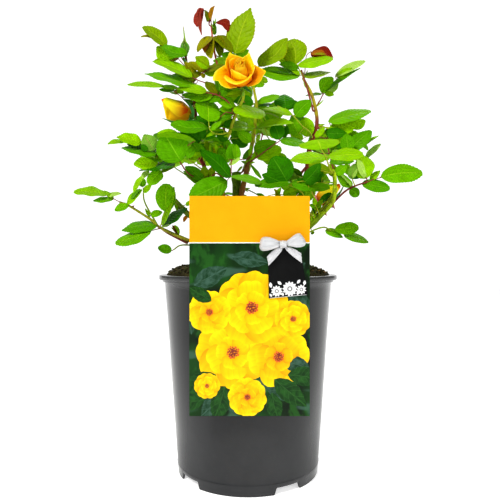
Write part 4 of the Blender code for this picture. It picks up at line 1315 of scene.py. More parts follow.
def make_bow():
    satin = satin_material()
    bow = Build("OFBake")

    def ribbon_uv(side, v, u):
        return (0.01 + 0.48 * u + 0.5 * side, 0.01 + 0.98 * v)

    def ribbon(rows, n, m, pleat, phase):
        """A length of ribbon through rows of places: where each is seen and how
        far it stands behind the knot's middle (mm). Soft folds run out of the
        knot and fade."""
        knots = [[list(spot(px, py, KNOT.y / MM + d)) for px, py, d in row] for row in rows]
        grid = weave(knots, n, m)
        for i in range(n):
            t = i / (n - 1)
            near = min(1.0, min(t, 1 - t) * 3.4) if pleat[1] else t
            for j in range(m):
                w = -1 + 2 * j / (m - 1)
                grid[i, j, 1] += (math.cos(w * 6.4 + phase) * (1 - near) ** 1.2
                                  + 0.35 * math.cos(w * 3.0 + phase * 2)) * pleat[0]
        shell(bow, grid, 0.00028, ribbon_uv)

    ribbon([[(281, 242.0, 0), (281, 242.8, 0.3), (281, 243.7, -0.2), (281, 244.7, 0.3), (281, 245.6, 0)],
            [(276, 239.5, -1.5), (275.8, 241.3, -2.6), (275.5, 243.7, -2.0), (275.4, 246.1, -2.8), (275.8, 248.2, -1.5)],
            [(269.5, 237.2, -1.5), (268.6, 240, -3.8), (268, 243.8, -3.6), (267.8, 247.2, -3.8), (268.5, 250.4, -1.5)],
            [(264.6, 236.8, -0.5), (262.8, 239.6, -2.8), (262, 243.8, -3.0), (261.6, 247.8, -2.8), (263.6, 251.0, -0.5)],
            [(262.6, 237.4, 1.6), (260.8, 240.2, 1.4), (260.1, 244, 1.4), (259.8, 247.6, 1.4), (261.4, 250.2, 1.6)],
            [(265, 237.8, 2.6), (264, 240.4, 3.2), (263.6, 244, 3.2), (263.6, 247.2, 3.2), (264.6, 249.8, 2.6)],
            [(272, 239.6, 2.4), (272, 241.4, 2.6), (272, 243.7, 2.6), (272, 245.8, 2.6), (272, 247.4, 2.4)],
            [(281, 242.3, 1.8), (281, 243.1, 1.8), (281, 243.8, 1.8), (281, 244.6, 1.8), (281, 245.3, 1.8)]],
           60, 23, (0.00042, True), 0.6)
    ribbon([[(285, 242.0, 0), (285, 242.9, 0.3), (285, 243.7, -0.2), (285, 244.6, 0.3), (285, 245.5, 0)],
            [(290, 238.4, -1.5), (290, 240.5, -2.6), (290.2, 242.6, -2.0), (290.4, 244.6, -2.8), (290.4, 246.3, -1.5)],
            [(295, 234.6, -1.5), (296, 237.6, -3.8), (296.4, 240.8, -3.6), (296.8, 244.2, -3.8), (296.6, 247.4, -1.5)],
            [(299.0, 233.2, -0.5), (301.2, 236, -2.8), (302.4, 239.6, -3.0), (303.2, 243, -2.8), (301.6, 247.0, -0.5)],
            [(300.9, 234.2, 1.6), (303.2, 236.9, 1.4), (304.9, 240, 1.4), (306.2, 242.8, 1.4), (304.6, 245.6, 1.6)],
            [(298.6, 235, 2.6), (301, 237.5, 3.2), (302, 240.4, 3.2), (302.6, 243, 3.2), (301.2, 245.6, 2.6)],
            [(292, 238.6, 2.4), (292.6, 240.5, 2.6), (293, 242.4, 2.6), (293, 244.2, 2.6), (292.8, 245.8, 2.4)],
            [(285, 242.3, 1.8), (285, 243.1, 1.8), (285, 243.8, 1.8), (285, 244.6, 1.8), (285, 245.3, 1.8)]],
           60, 23, (0.00042, True), 2.2)
    # tails from under the knot
    ribbon([[(280.4, 245.4, 1.6), (281.6, 246, 1.4), (282.8, 246.6, 1.6)],
            [(276.5, 247.9, 0.4), (278.8, 249.6, -0.2), (281.8, 250.8, 0.6)],
            [(272, 251.2, 0.8), (274.6, 253.6, 0.2), (278, 255.6, 1.0)],
            [(269.3, 253.9, 1.4), (270.9, 257.4, 0.8), (273.2, 261.0, 1.6)],
            [(266.9, 256.9, 2.0), (267.8, 261.4, 1.6), (268.5, 265.8, 2.2)]], 34, 15, (0.00045, False), 0.4)
    ribbon([[(284.2, 246.8, 1.6), (285.2, 246.2, 1.4), (286, 245.5, 1.6)],
            [(286.4, 250.4, 0.6), (288.6, 248.8, -0.2), (291, 247.4, 0.4)],
            [(290.4, 254.4, 1.0), (293.4, 252.0, 0.2), (296, 249.8, 0.8)],
            [(296, 258.8, 1.6), (297.8, 255.4, 0.8), (299, 251.8, 1.4)],
            [(302, 263.2, 2.2), (301.8, 258.2, 1.6), (301.3, 253.3, 2.0)]], 34, 15, (0.00045, False), 1.9)

    # the knot: a short band wrapped round the middle, pinched into soft folds
    rows, cols = 40, 21
    grid = np.zeros((rows, cols, 3))
    for i in range(rows):
        th = -0.12 + (2 * math.pi + 0.24) * i / (rows - 1)
        for j in range(cols):
            w = -1 + 2 * j / (cols - 1)
            r_y = 0.0034 * (1 - 0.20 * w * w) + 0.00010 * math.cos(w * 8 + 1.0) + 0.00025 * (i / rows)
            r_z = 0.0029 * (1 - 0.12 * w * w) + 0.00008 * math.cos(w * 8 + 1.0) + 0.00025 * (i / rows)
            grid[i, j] = (KNOT.x + w * 0.0030 * (1 + 0.10 * math.cos(th)),
                          KNOT.y + 0.0003 + r_y * math.sin(th), KNOT.z + r_z * math.cos(th) - 0.0001)
    shell(bow, grid[:, ::-1], 0.0003, ribbon_uv)
    bow.finish("satin_bow", satin, "satin_white", ("bow",))


make_bow()


# =============================================================================
# canes
# =============================================================================
def srgb(r, g, b):
    """A colour given as 0-255 display values, as the shader wants it."""
    out = []
    for c in (r, g, b):
        c = c / 255.0
        out.append(c / 12.92 if c <= 0.04045 else ((c + 0.055) / 1.055) ** 2.4)
    return tuple(out)


UNION = Vector((-0.008, 0.0, 0.2226))
UNION_RADIUS = 0.0165

BARK = {
    "old": bark_material("bark_old", srgb(92, 106, 22), srgb(86, 118, 14), 0.24, 0.34,
                         srgb(44, 46, 14), 0.60, 0.66, 2.4),
    "centre": bark_material("bark_centre", srgb(132, 92, 40), srgb(176, 182, 30), 0.325, 0.350,
                            srgb(104, 48, 30), 0.45, 0.5),
    "left_tall": bark_material("bark_left_tall", srgb(132, 52, 40), srgb(108, 84, 34), 0.33, 0.43,
                               srgb(84, 18, 22), 0.6, 0.5),
    "rose": bark_material("bark_rose", srgb(140, 122, 26), srgb(166, 176, 36), 0.315, 0.36,
                          srgb(150, 80, 34), 0.40, 0.45),
    "right_tall": bark_material("bark_right_tall", srgb(136, 62, 46), srgb(176, 164, 38), 0.376, 0.400,
                                srgb(112, 26, 26), 0.50, 0.5),
    "right_thick": bark_material("bark_right_thick", srgb(118, 146, 8), srgb(178, 204, 22), 0.258, 0.290,
                                 srgb(74, 66, 8), 0.60, 0.5),
    "green": bark_material("bark_green", srgb(132, 160, 22), srgb(152, 180, 34), 0.25, 0.33,
                           srgb(140, 74, 44), 0.45, 0.5),
    "left_low": bark_material("bark_left_low", srgb(118, 108, 18), srgb(150, 150, 36), 0.238, 0.256,
                              srgb(70, 36, 16), 0.55, 0.55),
    "red": bark_material("bark_red", srgb(168, 78, 62), srgb(192, 100, 84), 0.39, 0.46,
                         srgb(136, 26, 50), 0.50, 0.42),
    "far_right": bark_material("bark_far_right", srgb(112, 42, 30), srgb(128, 60, 44), 0.29, 0.31,
                               srgb(70, 20, 14), 0.4, 0.45),
}
THORN = Net("thorn_look", 0.42, 0.5)
_tz = THORN.noise(THORN.place(), 420.0, 3.0)
THORN.colour(THORN.mix(THORN.spread(_tz, 0.3, 0.7), srgb(120, 44, 36), srgb(176, 104, 76)))
THORN.bump(_tz, 0.0002, 0.5)

LIMBS = {}
THORNS = Build()


def add_thorn(point, outward, along, size):
    """A flat-based prickle that hooks down along the cane."""
    side = along.cross(outward).normalized()
    verts, faces = [], []
    rows = ((0.0, 1.0, 0.0), (0.18, 0.72, 0.02), (0.42, 0.42, 0.10), (0.70, 0.20, 0.26), (0.92, 0.08, 0.44))
    sides = 8
    for h, r, droop in rows:
        c = point + outward * (h * size - 0.0004) - along * (droop * size * 0.8)
        for k in range(sides):
            a = 2 * math.pi * k / sides
            verts.append(tuple(c + side * (math.cos(a) * r * size * 0.30)
                               + along * (math.sin(a) * r * size * 0.62)))
    base, tip = len(verts), len(verts) + 1
    verts.append(tuple(point - outward * 0.0006))
    verts.append(tuple(point + outward * size - along * (0.5 * size * 0.8)))
    n = len(rows)
    for i in range(n - 1):
        for k in range(sides):
            j = (k + 1) % sides
            faces.append([i * sides + k, i * sides + j, (i + 1) * sides + j, (i + 1) * sides + k])
    for k in range(sides):
        j = (k + 1) % sides
        faces.append([j, k, base])
        faces.append([(n - 1) * sides + k, (n - 1) * sides + j, tip])
    THORNS.add(verts, faces, plain_uvs(verts, faces, 0.01))


def limb(node, look, slot, thick, thin, knots, seed, from_union=False, thorns=0,
         rough=0.045, blunt=False, taper=1.0, full=1.0):
    """A cane along the frame's own route, with ribbed bark, swollen nodes and prickles."""
    rng = random.Random(seed)
    knots = [Vector(k) * MM for k in knots]
    if from_union:
        aim = (knots[0] - UNION).normalized()
        knots.insert(0, UNION + aim * (UNION_RADIUS * 0.55))
    pts = curve_through(knots, 0.0013)
    total = sum((b - a).length for a, b in zip(pts, pts[1:]))
    run, radii = 0.0, []
    nodes = []
    at = 0.012 + rng.uniform(0, 0.008)
    while at < total - 0.006:
        nodes.append((at, rng.uniform(0, 6.28)))
        at += rng.uniform(0.017, 0.027)
    for i, p in enumerate(pts):
        if i:
            run += (p - pts[i - 1]).length
        t = run / total
        r = (thin + (thick - thin) * (1 - t) ** taper) * full * MM
        for where, _ in nodes:
            r *= 1.0 + 0.13 * math.exp(-((run - where) / (0.0016 + r * 0.25)) ** 2)
        if from_union and run < 0.010:
            r *= 1.0 + 0.55 * (1 - run / 0.010) ** 2
        radii.append(r)
    shift = Vector((seed * 1.37, seed * 2.11, seed * 0.73))

    def relief(a, length, q):
        v = 1.0 + rough * 1.6 * noise.noise(Vector((math.cos(a) * 2.2, math.sin(a) * 2.2, length * 70)) + shift)
        v += rough * noise.noise(Vector((math.cos(a) * 6, math.sin(a) * 6, length * 160)) + shift)
        v += rough * 0.5 * math.sin(5 * a + 30 * length)
        return v

    build = Build()
    sides = 18 if thick > 1.5 else 12
    rows = tube(build, pts, radii, sides, relief, round_end=not blunt)
    LIMBS[node] = (pts, radii)
    for _ in range(thorns):
        i = rng.randrange(int(len(pts) * 0.16), int(len(pts) * 0.97))
        p, t = pts[i], (pts[min(i + 1, len(pts) - 1)] - pts[i - 1]).normalized()
        out = Matrix.Rotation(rng.uniform(0, 6.28), 3, t) @ t.orthogonal().normalized()
        add_thorn(p + out * radii[i] * 0.96, out, t, rng.uniform(1.5, 2.9) * MM)
    ob = build.finish("bark_" + node, BARK[look], slot, (node,))
    return ob


def beside(name, at, towards, own_radius):
    """A start point on another limb's side, in millimetres."""
    pts, radii = LIMBS[name]
    i = int(at * (len(pts) - 2))
    p = pts[i]
    axis = (pts[i + 1] - pts[i]).normalized()
    out = Vector(towards) * MM - p
    side = (out - axis * out.dot(axis)).normalized()
    return (p + side * radii[i] * 0.5) / MM


def make_union():
    """The knobbly foot that the canes spring from, sunk in the compost."""
    rows, cols = 30, 44
    verts, faces, uvs = [], [], []
    for i in range(1, rows):
        th = math.pi * i / rows
        for j in range(cols):
            ph = 2 * math.pi * j / cols
            d = Vector((math.sin(th) * math.cos(ph), math.sin(th) * math.sin(ph), math.cos(th)))
            r = UNION_RADIUS * (1.0 + 0.10 * noise.noise(d * 2.3) + 0.05 * noise.noise(d * 6.0)
                                + 0.03 * abs(noise.noise(d * 13.0)))
            q = UNION + d * r
            q.z = max(q.z, 0.2095)
            verts.append(tuple(q))
    top, low = len(verts), len(verts) + 1
    verts.append(tuple(UNION + Vector((0, 0, UNION_RADIUS * 1.02))))
    verts.append((UNION.x, UNION.y, 0.2095))
    for i in range(rows - 2):
        for j in range(cols):
            k = (j + 1) % cols
            faces.append([i * cols + j, (i + 1) * cols + j, (i + 1) * cols + k, i * cols + k])
    for j in range(cols):
        k = (j + 1) % cols
        faces.append([top, j, k])
        faces.append([low, (rows - 2) * cols + k, (rows - 2) * cols + j])
    b = Build()
    b.add(verts, faces, [[(verts[i][0] / 0.03 + verts[i][1] / 0.05, verts[i][2] / 0.1) for i in f] for f in faces])
    b.finish("bark_bud_union", BARK["old"], "old_wood", ("bud_union",))


make_union()
limb("cane_old_wood", "old", "old_wood", 5.6, 4.8, [(-9, 9, 258), (-12, 14, 292), (-13, 15, 320)],
     1, True, 2, 0.08, blunt=True)
limb("cane_left_tall", "left_tall", "red_cane", 3.0, 1.3,
     [(-31, -7, 262), (-44, -10, 284), (-46, -12, 319), (-51, -14, 333), (-55, -16, 371),
      (-58, -18, 408), (-63, -20, 421), (-65, -22, 435)], 2, True, 7)
limb("cane_rose", "rose", "green_cane", 2.9, 1.4,
     [(-19, -22, 260), (-27, -24, 301), (-24, -28, 341), (-19, -30, 353), (-12.5, -34, 371),
      (-5, -42, 384), (-5, -48, 389)], 3, True, 6)
limb("cane_right_tall", "right_tall", "red_cane", 3.3, 1.3,
     [(18, 11, 259), (47, 16, 290), (65, 20, 318), (69, 24, 346), (78, 28, 375),
      (77.5, 28, 392), (72, 26, 411), (62, 22, 428)], 4, True, 6, full=1.18)
limb("cane_right_thick", "right_thick", "green_cane", 3.3, 1.9,
     [(30, -15, 239), (54, -24, 249), (77, -36, 271), (86, -40, 284), (87, -42, 303),
      (85, -42, 313)], 5, True, 4)
limb("cane_right_inner", "green", "green_cane", 2.6, 1.6,
     [(24, 10, 240), (60, 2, 256), (70, -6, 276), (74, -10, 284)], 6, True, 3)
limb("cane_left_low", "left_low", "green_cane", 2.6, 1.0,
     [(-36, -14, 234), (-62, -17, 243), (-91, -18, 256), (-102, -18, 265), (-124, -20, 279),
      (-134, -20, 283)], 7, True, 4, taper=2.0, full=1.18)
limb("cane_left_stub", "old", "old_wood", 3.2, 3.0, [(-46, 9, 257), (-66, 14, 273), (-82, 16, 289)],
     8, True, 3, 0.08, blunt=True)
limb("cane_back_left", "green", "green_cane", 2.8, 1.3,
     [(-26, 24, 248), (-44, 52, 288), (-52, 76, 330), (-58, 88, 348)], 9, True, 5)
limb("cane_back_right", "right_tall", "red_cane", 2.8, 1.3,
     [(12, 32, 252), (38, 58, 290), (66, 76, 330), (82, 84, 350)], 10, True, 5)
limb("cane_back_middle", "green", "green_cane", 2.4, 1.2,
     [(-8, 32, 242), (-9, 60, 270), (-6, 80, 308), (1, 89, 336), (14, 94, 374)], 11, True, 5)
limb("cane_centre", "centre", "old_wood", 3.1, 1.3,
     [beside("cane_old_wood", 0.62, (6, 4, 345), 3.1), (2, 0, 337), (6, -6, 356),
      (9, -10, 386), (6, -12, 405)], 12, False, 5)
limb("shoot_red", "red", "red_cane", 1.7, 0.9,
     [beside("cane_rose", 0.63, (-30, -4, 400), 1.7), (-26, -8, 398), (-33, -2, 432),
      (-37, 0, 452), (-40, 0, 476)], 13, False, 2, 0.03)
limb("twig_left", "green", "green_cane", 1.0, 0.7,
     [beside("cane_left_low", 0.67, (-112, -17, 296), 1.0), (-108, -17, 282), (-110, -18, 293)],
     14, rough=0.03)
limb("twig_lowest_left", "green", "green_cane", 0.9, 0.7,
     [beside("cane_left_low", 0.27, (-70, -11, 239), 0.9), (-70, -11, 238.5), (-79, -12, 233.5)],
     15, rough=0.03)
limb("twig_low_right", "green", "green_cane", 1.0, 0.7,
     [beside("cane_right_thick", 0.36, (80, -33, 255), 1.0), (74, -33, 255.5), (84, -34, 252.5)],
     16, rough=0.03)
limb("shoot_far_right", "far_right", "red_cane", 1.2, 0.8,
     [beside("cane_right_thick", 0.66, (112, -30, 299), 1.2), (97, -36, 291), (112, -27, 299.5),
      (125, -21, 304)], 17, rough=0.03)


def limb_spot(name, px, py):
    """The point of a limb that the eye sees nearest to a place in the frame."""
    pts, radii = LIMBS[name]
    best = min(range(len(pts)), key=lambda i: (seen(pts[i])[0] - px) ** 2 + (seen(pts[i])[1] - py) ** 2)
    a, b = pts[max(0, best - 1)], pts[min(len(pts) - 1, best + 1)]
    return pts[best], (b - a).normalized(), radii[best]


# the prickles that stand out from their canes
for name, px, py, turn, size in (("cane_right_tall", 310.5, 107, (-1, -0.2, 0.1), 3.4),
                                 ("cane_right_tall", 318, 128, (1, -0.2, -0.1), 4.0),
                                 ("cane_right_thick", 331, 205, (1, -0.1, -0.5), 4.6),
                                 ("cane_right_thick", 325, 213, (1, -0.1, -0.6), 3.0),
                                 ("cane_centre", 251, 173, (1, -0.2, -0.2), 2.6)):
    p, t, r = limb_spot(name, px, py)
    out = Vector(turn)
    out = (out - t * out.dot(t)).normalized()
    add_thorn(p + out * r * 0.95, out, t, size * MM)

# =============================================================================
# leaves
# =============================================================================
# colour of the upper side, the veins, the under side and the margin
# The greens from dark to light are partly the leaflets' own tones and partly painted light and shade: leaflets that lie
# in shade in the mass are given the darker tints, lit ones the lighter.
TINTS = {
    "dark": (srgb(48, 118, 0), srgb(104, 170, 34), srgb(90, 152, 12), srgb(28, 86, 0), "leaf_dark", 0.38),
    "deep": (srgb(86, 152, 0), srgb(142, 198, 40), srgb(118, 174, 8), srgb(48, 106, 0), "leaf_dark", 0.40),
    "mid": (srgb(106, 170, 0), srgb(170, 210, 40), srgb(132, 186, 6), srgb(74, 132, 0), "leaf_mid", 0.44),
    "fresh": (srgb(136, 190, 0), srgb(192, 222, 44), srgb(146, 196, 4), srgb(118, 154, 0), "leaf_mid", 0.44),
    "light": (srgb(138, 192, 0), srgb(188, 218, 44), srgb(138, 194, 2), srgb(140, 146, 0), "leaf_light", 0.46),
    "pale": (srgb(170, 210, 90), srgb(206, 228, 130), srgb(186, 220, 116), srgb(170, 196, 76), "leaf_light", 0.48),
    "grey": (srgb(116, 164, 54), srgb(170, 120, 90), srgb(126, 172, 66), srgb(96, 140, 44), "leaf_mid", 0.48),
    "olive": (srgb(142, 142, 0), srgb(180, 176, 40), srgb(142, 144, 8), srgb(150, 92, 8), "leaf_bronze", 0.42),
    "olive_dark": (srgb(108, 122, 0), srgb(154, 154, 30), srgb(124, 132, 8), srgb(122, 84, 4), "leaf_bronze", 0.42),
    "sun": (srgb(124, 156, 0), srgb(180, 198, 50), srgb(152, 176, 16), srgb(154, 112, 0), "leaf_mid", 0.42),
    "bronze": (srgb(160, 96, 14), srgb(190, 140, 30), srgb(170, 120, 20), srgb(150, 44, 24), "leaf_bronze", 0.40),
    "red": (srgb(148, 46, 38), srgb(186, 98, 80), srgb(168, 68, 56), srgb(112, 20, 18), "leaf_young", 0.38),
    "ruby": (srgb(124, 28, 18), srgb(186, 92, 70), srgb(150, 60, 44), srgb(90, 12, 8), "leaf_young", 0.38),
}
LEAVES = {name: Build("OFBake") for name in TINTS}
STALKS = {"green": Build(), "red": Build(), "lime": Build()}


def leaf_grid(length, width, n, m, fold, arch, curl, ripple, twist, phase, teeth=0.030, lean=0.0,
              tip=0.0):
    """A toothed leaflet in its own space: across is x, along is y, its upper
    side faces z. fold lifts the two halves, arch bends their edges down and
    curl bows it along its length; tip draws the end out (above 0) or rounds it."""
    t = np.linspace(0.0, 1.0, n)
    ahead_power = 0.80 + 0.30 * max(tip, -1.0) if tip < 0 else 0.80
    prof = (t ** 0.56) * (1 - t) ** ahead_power
    peak = 0.56 / (0.56 + ahead_power)
    prof = prof / ((peak ** 0.56) * (1 - peak) ** ahead_power)
    prof = prof * (1.0 - (0.10 + 0.5 * max(tip, 0.0)) * np.clip((t - 0.72) / 0.22, 0, 1))
    half = width / 2 * prof
    curl = curl if abs(curl) > 1e-3 else 1e-3
    path = length * curl / (2 * math.sin(curl / 2))
    th = curl * (t - 0.5)
    cy = path * (np.sin(th) - math.sin(-curl / 2)) / curl
    cz = path * (np.cos(th) - math.cos(curl / 2)) / curl
    grid = np.zeros((n, m, 3))
    for j in range(m):
        s = -1 + 2 * j / (m - 1)
        a = abs(s)
        w = half.copy()
        ahead = np.zeros(n)
        if j in (0, m - 1):
            odd = (np.arange(n) % 2 == 1) & (np.arange(n) > 0) & (np.arange(n) < n - 1)
            w = np.where(odd, w * (1 + teeth), w * (1 - teeth * 0.4))
            ahead = np.where(odd, 0.55 * length / (n - 1), 0.0)
        x = s * w * math.cos(fold * (1 - 0.35 * a))
        z = w * (math.sin(fold) * a - arch * s * s)
        z = z + ripple * width * a ** 1.6 * np.sin(2 * math.pi * 2.2 * t + phase + (0 if s < 0 else 2.1)) \
            * np.sin(math.pi * t) ** 0.5
        x = x + lean * width * np.sin(math.pi * t) ** 2 * 0.5
        tw = twist * (t - 0.25)
        xr = x * np.cos(tw) - z * np.sin(tw)
        zr = x * np.sin(tw) + z * np.cos(tw)
        yy = cy + ahead * np.cos(th) + zr * np.sin(th)
        zz = cz - ahead * np.sin(th) + zr * np.cos(th)
        grid[:, j, 0], grid[:, j, 1], grid[:, j, 2] = xr, yy, zz
    return grid


def put_leaf(tint, base, along, normal, length, width, rng, n=19, m=7, fold=None, arch=None,
             curl=None, ripple=None, twist=None, lean=None, tip=None):
    """Sets one leaflet on its base point."""
    along = along.normalized()
    normal = (normal - along * normal.dot(along)).normalized()
    side = along.cross(normal)
    grid = leaf_grid(length, width, n, m,
                     rng.uniform(0.05, 0.30) if fold is None else fold,
                     rng.uniform(0.06, 0.22) if arch is None else arch,
                     rng.uniform(0.10, 0.65) if curl is None else curl,
                     rng.uniform(0.006, 0.022) if ripple is None else ripple,
                     rng.uniform(-0.25, 0.25) if twist is None else twist,
                     rng.uniform(0, 6.28), lean=rng.uniform(-0.10, 0.10) if lean is None else lean,
                     tip=rng.uniform(-0.6, 0.3) if tip is None else tip)
    spin = np.array([list(side), list(along), list(normal)])
    world = grid @ spin + np.array(base)
    shell(LEAVES[tint], world, 0.00032, two_sided, True, True)


def stalk(kind, points, r0, r1, sides=7, step=0.0016):
    pts = curve_through(points, step)
    if len(pts) < 2 or (pts[-1] - pts[0]).length < 1e-5:
        return pts
    radii = [r0 + (r1 - r0) * i / (len(pts) - 1) for i in range(len(pts))]
    tube(STALKS[kind], pts, radii, sides)
    return pts


def stipules(tint, pts, radius, rng):
    """The pair of narrow wings at the foot of a rose leaf's stalk."""
    if len(pts) < 6:
        return
    reach = min(len(pts) - 1, 6)
    foot, on = pts[0], pts[reach]
    along = (on - foot).normalized()
    for sgn in (-1, 1):
        out = (Matrix.Rotation(sgn * 1.2, 3, along) @ along.orthogonal()).normalized()
        put_leaf(tint, foot + out * radius * 0.4, (along + out * 0.22), out.cross(along) * sgn,
                 (on - foot).length * rng.uniform(0.95, 1.2), 0.0022, rng, 9, 3, 0.2, 0.1, 0.2, 0.0, 0.0, 0.0)


def lf(bx, by, tx, ty, w, tint, dy=None, roll=6.0, curl=None, flip=None, lift=0.0,
       fold=None, arch=None, twist=None, ripple=None, lean=None, tip=None, face=None, aspect=0.62):
    """One leaflet of a spray: where its base and tip are seen, how wide it is
    seen, its tint, how far its tip comes forward (mm, minus is nearer), and how
    far its face at least turns up from the eye (degrees)."""
    return dict(b=(bx, by), t=(tx, ty), w=w, tint=tint, dy=dy, roll=roll, curl=curl, flip=flip,
                lift=lift, fold=fold, arch=arch, twist=twist, ripple=ripple, lean=lean, tip=tip,
                face=face, aspect=aspect)


_spray_count = [0]


def spray(limb_name, at, knots, leaves, kind="green", thick=0.85, thin=0.5, wings="fresh"):
    """A leaf stalk that leaves a limb, runs through places seen in the frame at
    given depths, and carries leaflets, each on its own short stalk."""
    _spray_count[0] += 1
    rng = random.Random(1000 + _spray_count[0])
    start, axis, r = limb_spot(limb_name, *at)
    first = spot(*knots[0])
    head = (first - start)
    side = head - axis * head.dot(axis)
    side = side.normalized() if side.length > 1e-6 else axis.orthogonal()
    points = [start + side * r * 0.3]
    if head.length > 0.008:
        points.append(start + side * (r + 0.0014) + axis * 0.0010)
    points += [spot(*k) for k in knots]
    path = stalk(kind, points, thick * MM, thin * MM)
    if wings and head.length > 0.012:
        stipules(wings, path, r, rng)
    flat = [seen(p) for p in path]
    for leaf in leaves:
        bx, by = leaf["b"]
        tx, ty = leaf["t"]
        i = min(range(len(path)), key=lambda k: (flat[k][0] - bx) ** 2 + (flat[k][1] - by) ** 2)
        depth = path[i].y / MM + leaf["lift"]
        reach = (depth * MM - EYE.y) / 507.0
        wide = leaf["w"] * reach
        flat_long = math.hypot(tx - bx, ty - by) * reach
        dy = leaf["dy"]
        if dy is None:
            # a leaf that looks too round for a rose's is seen foreshortened
            true_long = wide / (leaf["aspect"] + 0.04)
            dy = min(20.0, math.sqrt(max(0.0, true_long ** 2 - flat_long ** 2)) / MM)
            dy = -dy if ty > by - 2 else dy
            if dy == 0.0:
                dy = rng.uniform(-5.0, 2.0)
        base = spot(bx, by, depth)
        tip = spot(tx, ty, depth + dy)
        along = tip - base
        to_eye = (EYE - (base + tip) / 2).normalized()
        normal = (to_eye - along * to_eye.dot(along) / along.length_squared).normalized()
        natural = leaf["aspect"] * along.length
        turn = max(math.radians(abs(leaf["roll"])), math.acos(min(1.0, wide / natural)))
        turn = min(turn, math.radians(68.0))
        flip = leaf["flip"]
        if flip is None:
            flip = turn > math.radians(56.0) and (base.z + tip.z) / 2 > 0.27 and rng.random() < 0.5
        if flip:
            normal = -normal
        spun = [Matrix.Rotation(sgn * turn, 3, along.normalized()) @ normal for sgn in (1, -1)]
        normal = max(spun, key=lambda v: v.z * (1 if leaf["roll"] >= 0 else -1))
        if leaf["face"]:
            normal = Vector(leaf["face"])
            turn = 0.0
        width = wide / math.cos(turn)
        calm = math.cos(turn)
        gap = (base - path[i]).length
        if gap > 0.0005:
            mid = path[i].lerp(base, 0.5) + Vector((0, 0, gap * 0.08))
            stalk(kind, [path[i], mid, base + along.normalized() * 0.0012], 0.42 * MM, 0.36 * MM, 6, 0.0012)
        fold = rng.uniform(0.10, 0.34) * (0.35 + 0.65 * calm) if leaf["fold"] is None else leaf["fold"]
        curl = rng.uniform(0.10, 0.60) * (0.30 + 0.70 * calm) if leaf["curl"] is None else leaf["curl"]
        put_leaf(leaf["tint"], base, along, normal, along.length, width, rng, 29, 9,
                 fold, leaf["arch"], curl, leaf["ripple"], leaf["twist"], leaf["lean"], leaf["tip"])
    return path


# ---- top: the young shoot and the big leaf above the flower -------------------
spray("cane_centre", (254, 90), [(249, 78, -4), (240, 64, -4), (235, 54, -6)], [
    lf(234.8, 54, 250.6, 7.6, 26.5, "sun", -3, 6, 0.25, fold=0.16, arch=0.16, lean=-0.06, twist=0.1, tip=0.75),
    lf(236, 57, 249, 50, 9, "mid", lift=2),
    lf(237, 60, 221, 54, 9, "deep", lift=3),
    lf(238, 63, 213, 61, 7, "mid", lift=4)], "green", 0.9, 0.6)
spray("shoot_red", (211.5, 25), [(208.5, 16, -1), (204.5, 10.5, -2), (199, 10, -2)], [
    lf(200.8, 9.4, 197.4, 27.5, 5.2, "red", -3, 20, 0.35, fold=0.6, tip=0.4),
    lf(201.8, 9.2, 200.6, 24, 6.0, "ruby", -2, 12, 0.3, fold=0.45, lift=1),
    lf(203.8, 8.4, 201.8, 35.4, 7.6, "red", -5, 12, 0.3, fold=0.55, lift=-1, tip=0.5),
    lf(206.5, 11.5, 209.5, 23, 6, "ruby", 2, 25, 0.3),
    lf(205.4, 10, 207, 22, 5, "olive_dark", -1, 30, 0.3, fold=0.5, lift=-1)], "red", 0.7, 0.5, "bronze")
spray("shoot_red", (211.2, 23), [(211, 20, -0.5)], [
    lf(211, 20.5, 214.6, 5.6, 4.5, "bronze", 1, 50, 0.2, fold=0.6, tip=0.4)], "red", 0.6, 0.5)
spray("shoot_red", (213, 28), [(215.8, 23.0, -1), (217.4, 21.6, -1)], [
    lf(217.4, 21.4, 229, 31.4, 9, "ruby", -4, 18, 0.9, fold=0.3, lean=-0.55, tip=0.1)], "red", 0.6, 0.5)
spray("shoot_red", (213.5, 33), [(214.6, 31, -1.5)], [
    lf(214.4, 34, 216, 18, 3.0, "light", -1, 40, 0.1, fold=0.5, flip=False),
    lf(213.8, 35, 213, 20, 3.4, "deep", -1, 40, 0.1, fold=0.5, flip=False),
    lf(214.2, 32, 211.6, 24, 2.4, "pale", -1, 30, 0.1, fold=0.5, flip=False)], "lime", 0.6, 0.5)
spray("shoot_red", (213, 37), [(211.5, 35.6, -0.5)], [
    lf(211.4, 36.4, 197.8, 52.2, 8.6, "olive", -7, 14, 0.7, fold=0.28, lean=-0.25),
    lf(211.8, 38, 211.8, 58.4, 9.5, "olive", -6, 16, 0.5, fold=0.3, lift=-1),
    lf(211, 37, 205, 53, 7, "bronze", -3, 20, 0.5, fold=0.3, lift=1)], "red", 0.6, 0.5)
spray("shoot_red", (213.4, 38), [(215.8, 36, -0.5)], [
    lf(215.6, 36.2, 231.6, 53, 12, "olive_dark", -8, 14, 0.7, fold=0.34, lean=-0.05),
    lf(216.5, 39, 219.5, 57, 10, "olive_dark", -4, 20, 0.4, fold=0.35, lift=1),
    lf(216, 38, 226, 49, 5, "olive", -9, 14, 0.5, fold=0.4, lift=-1)], "red", 0.6, 0.5)

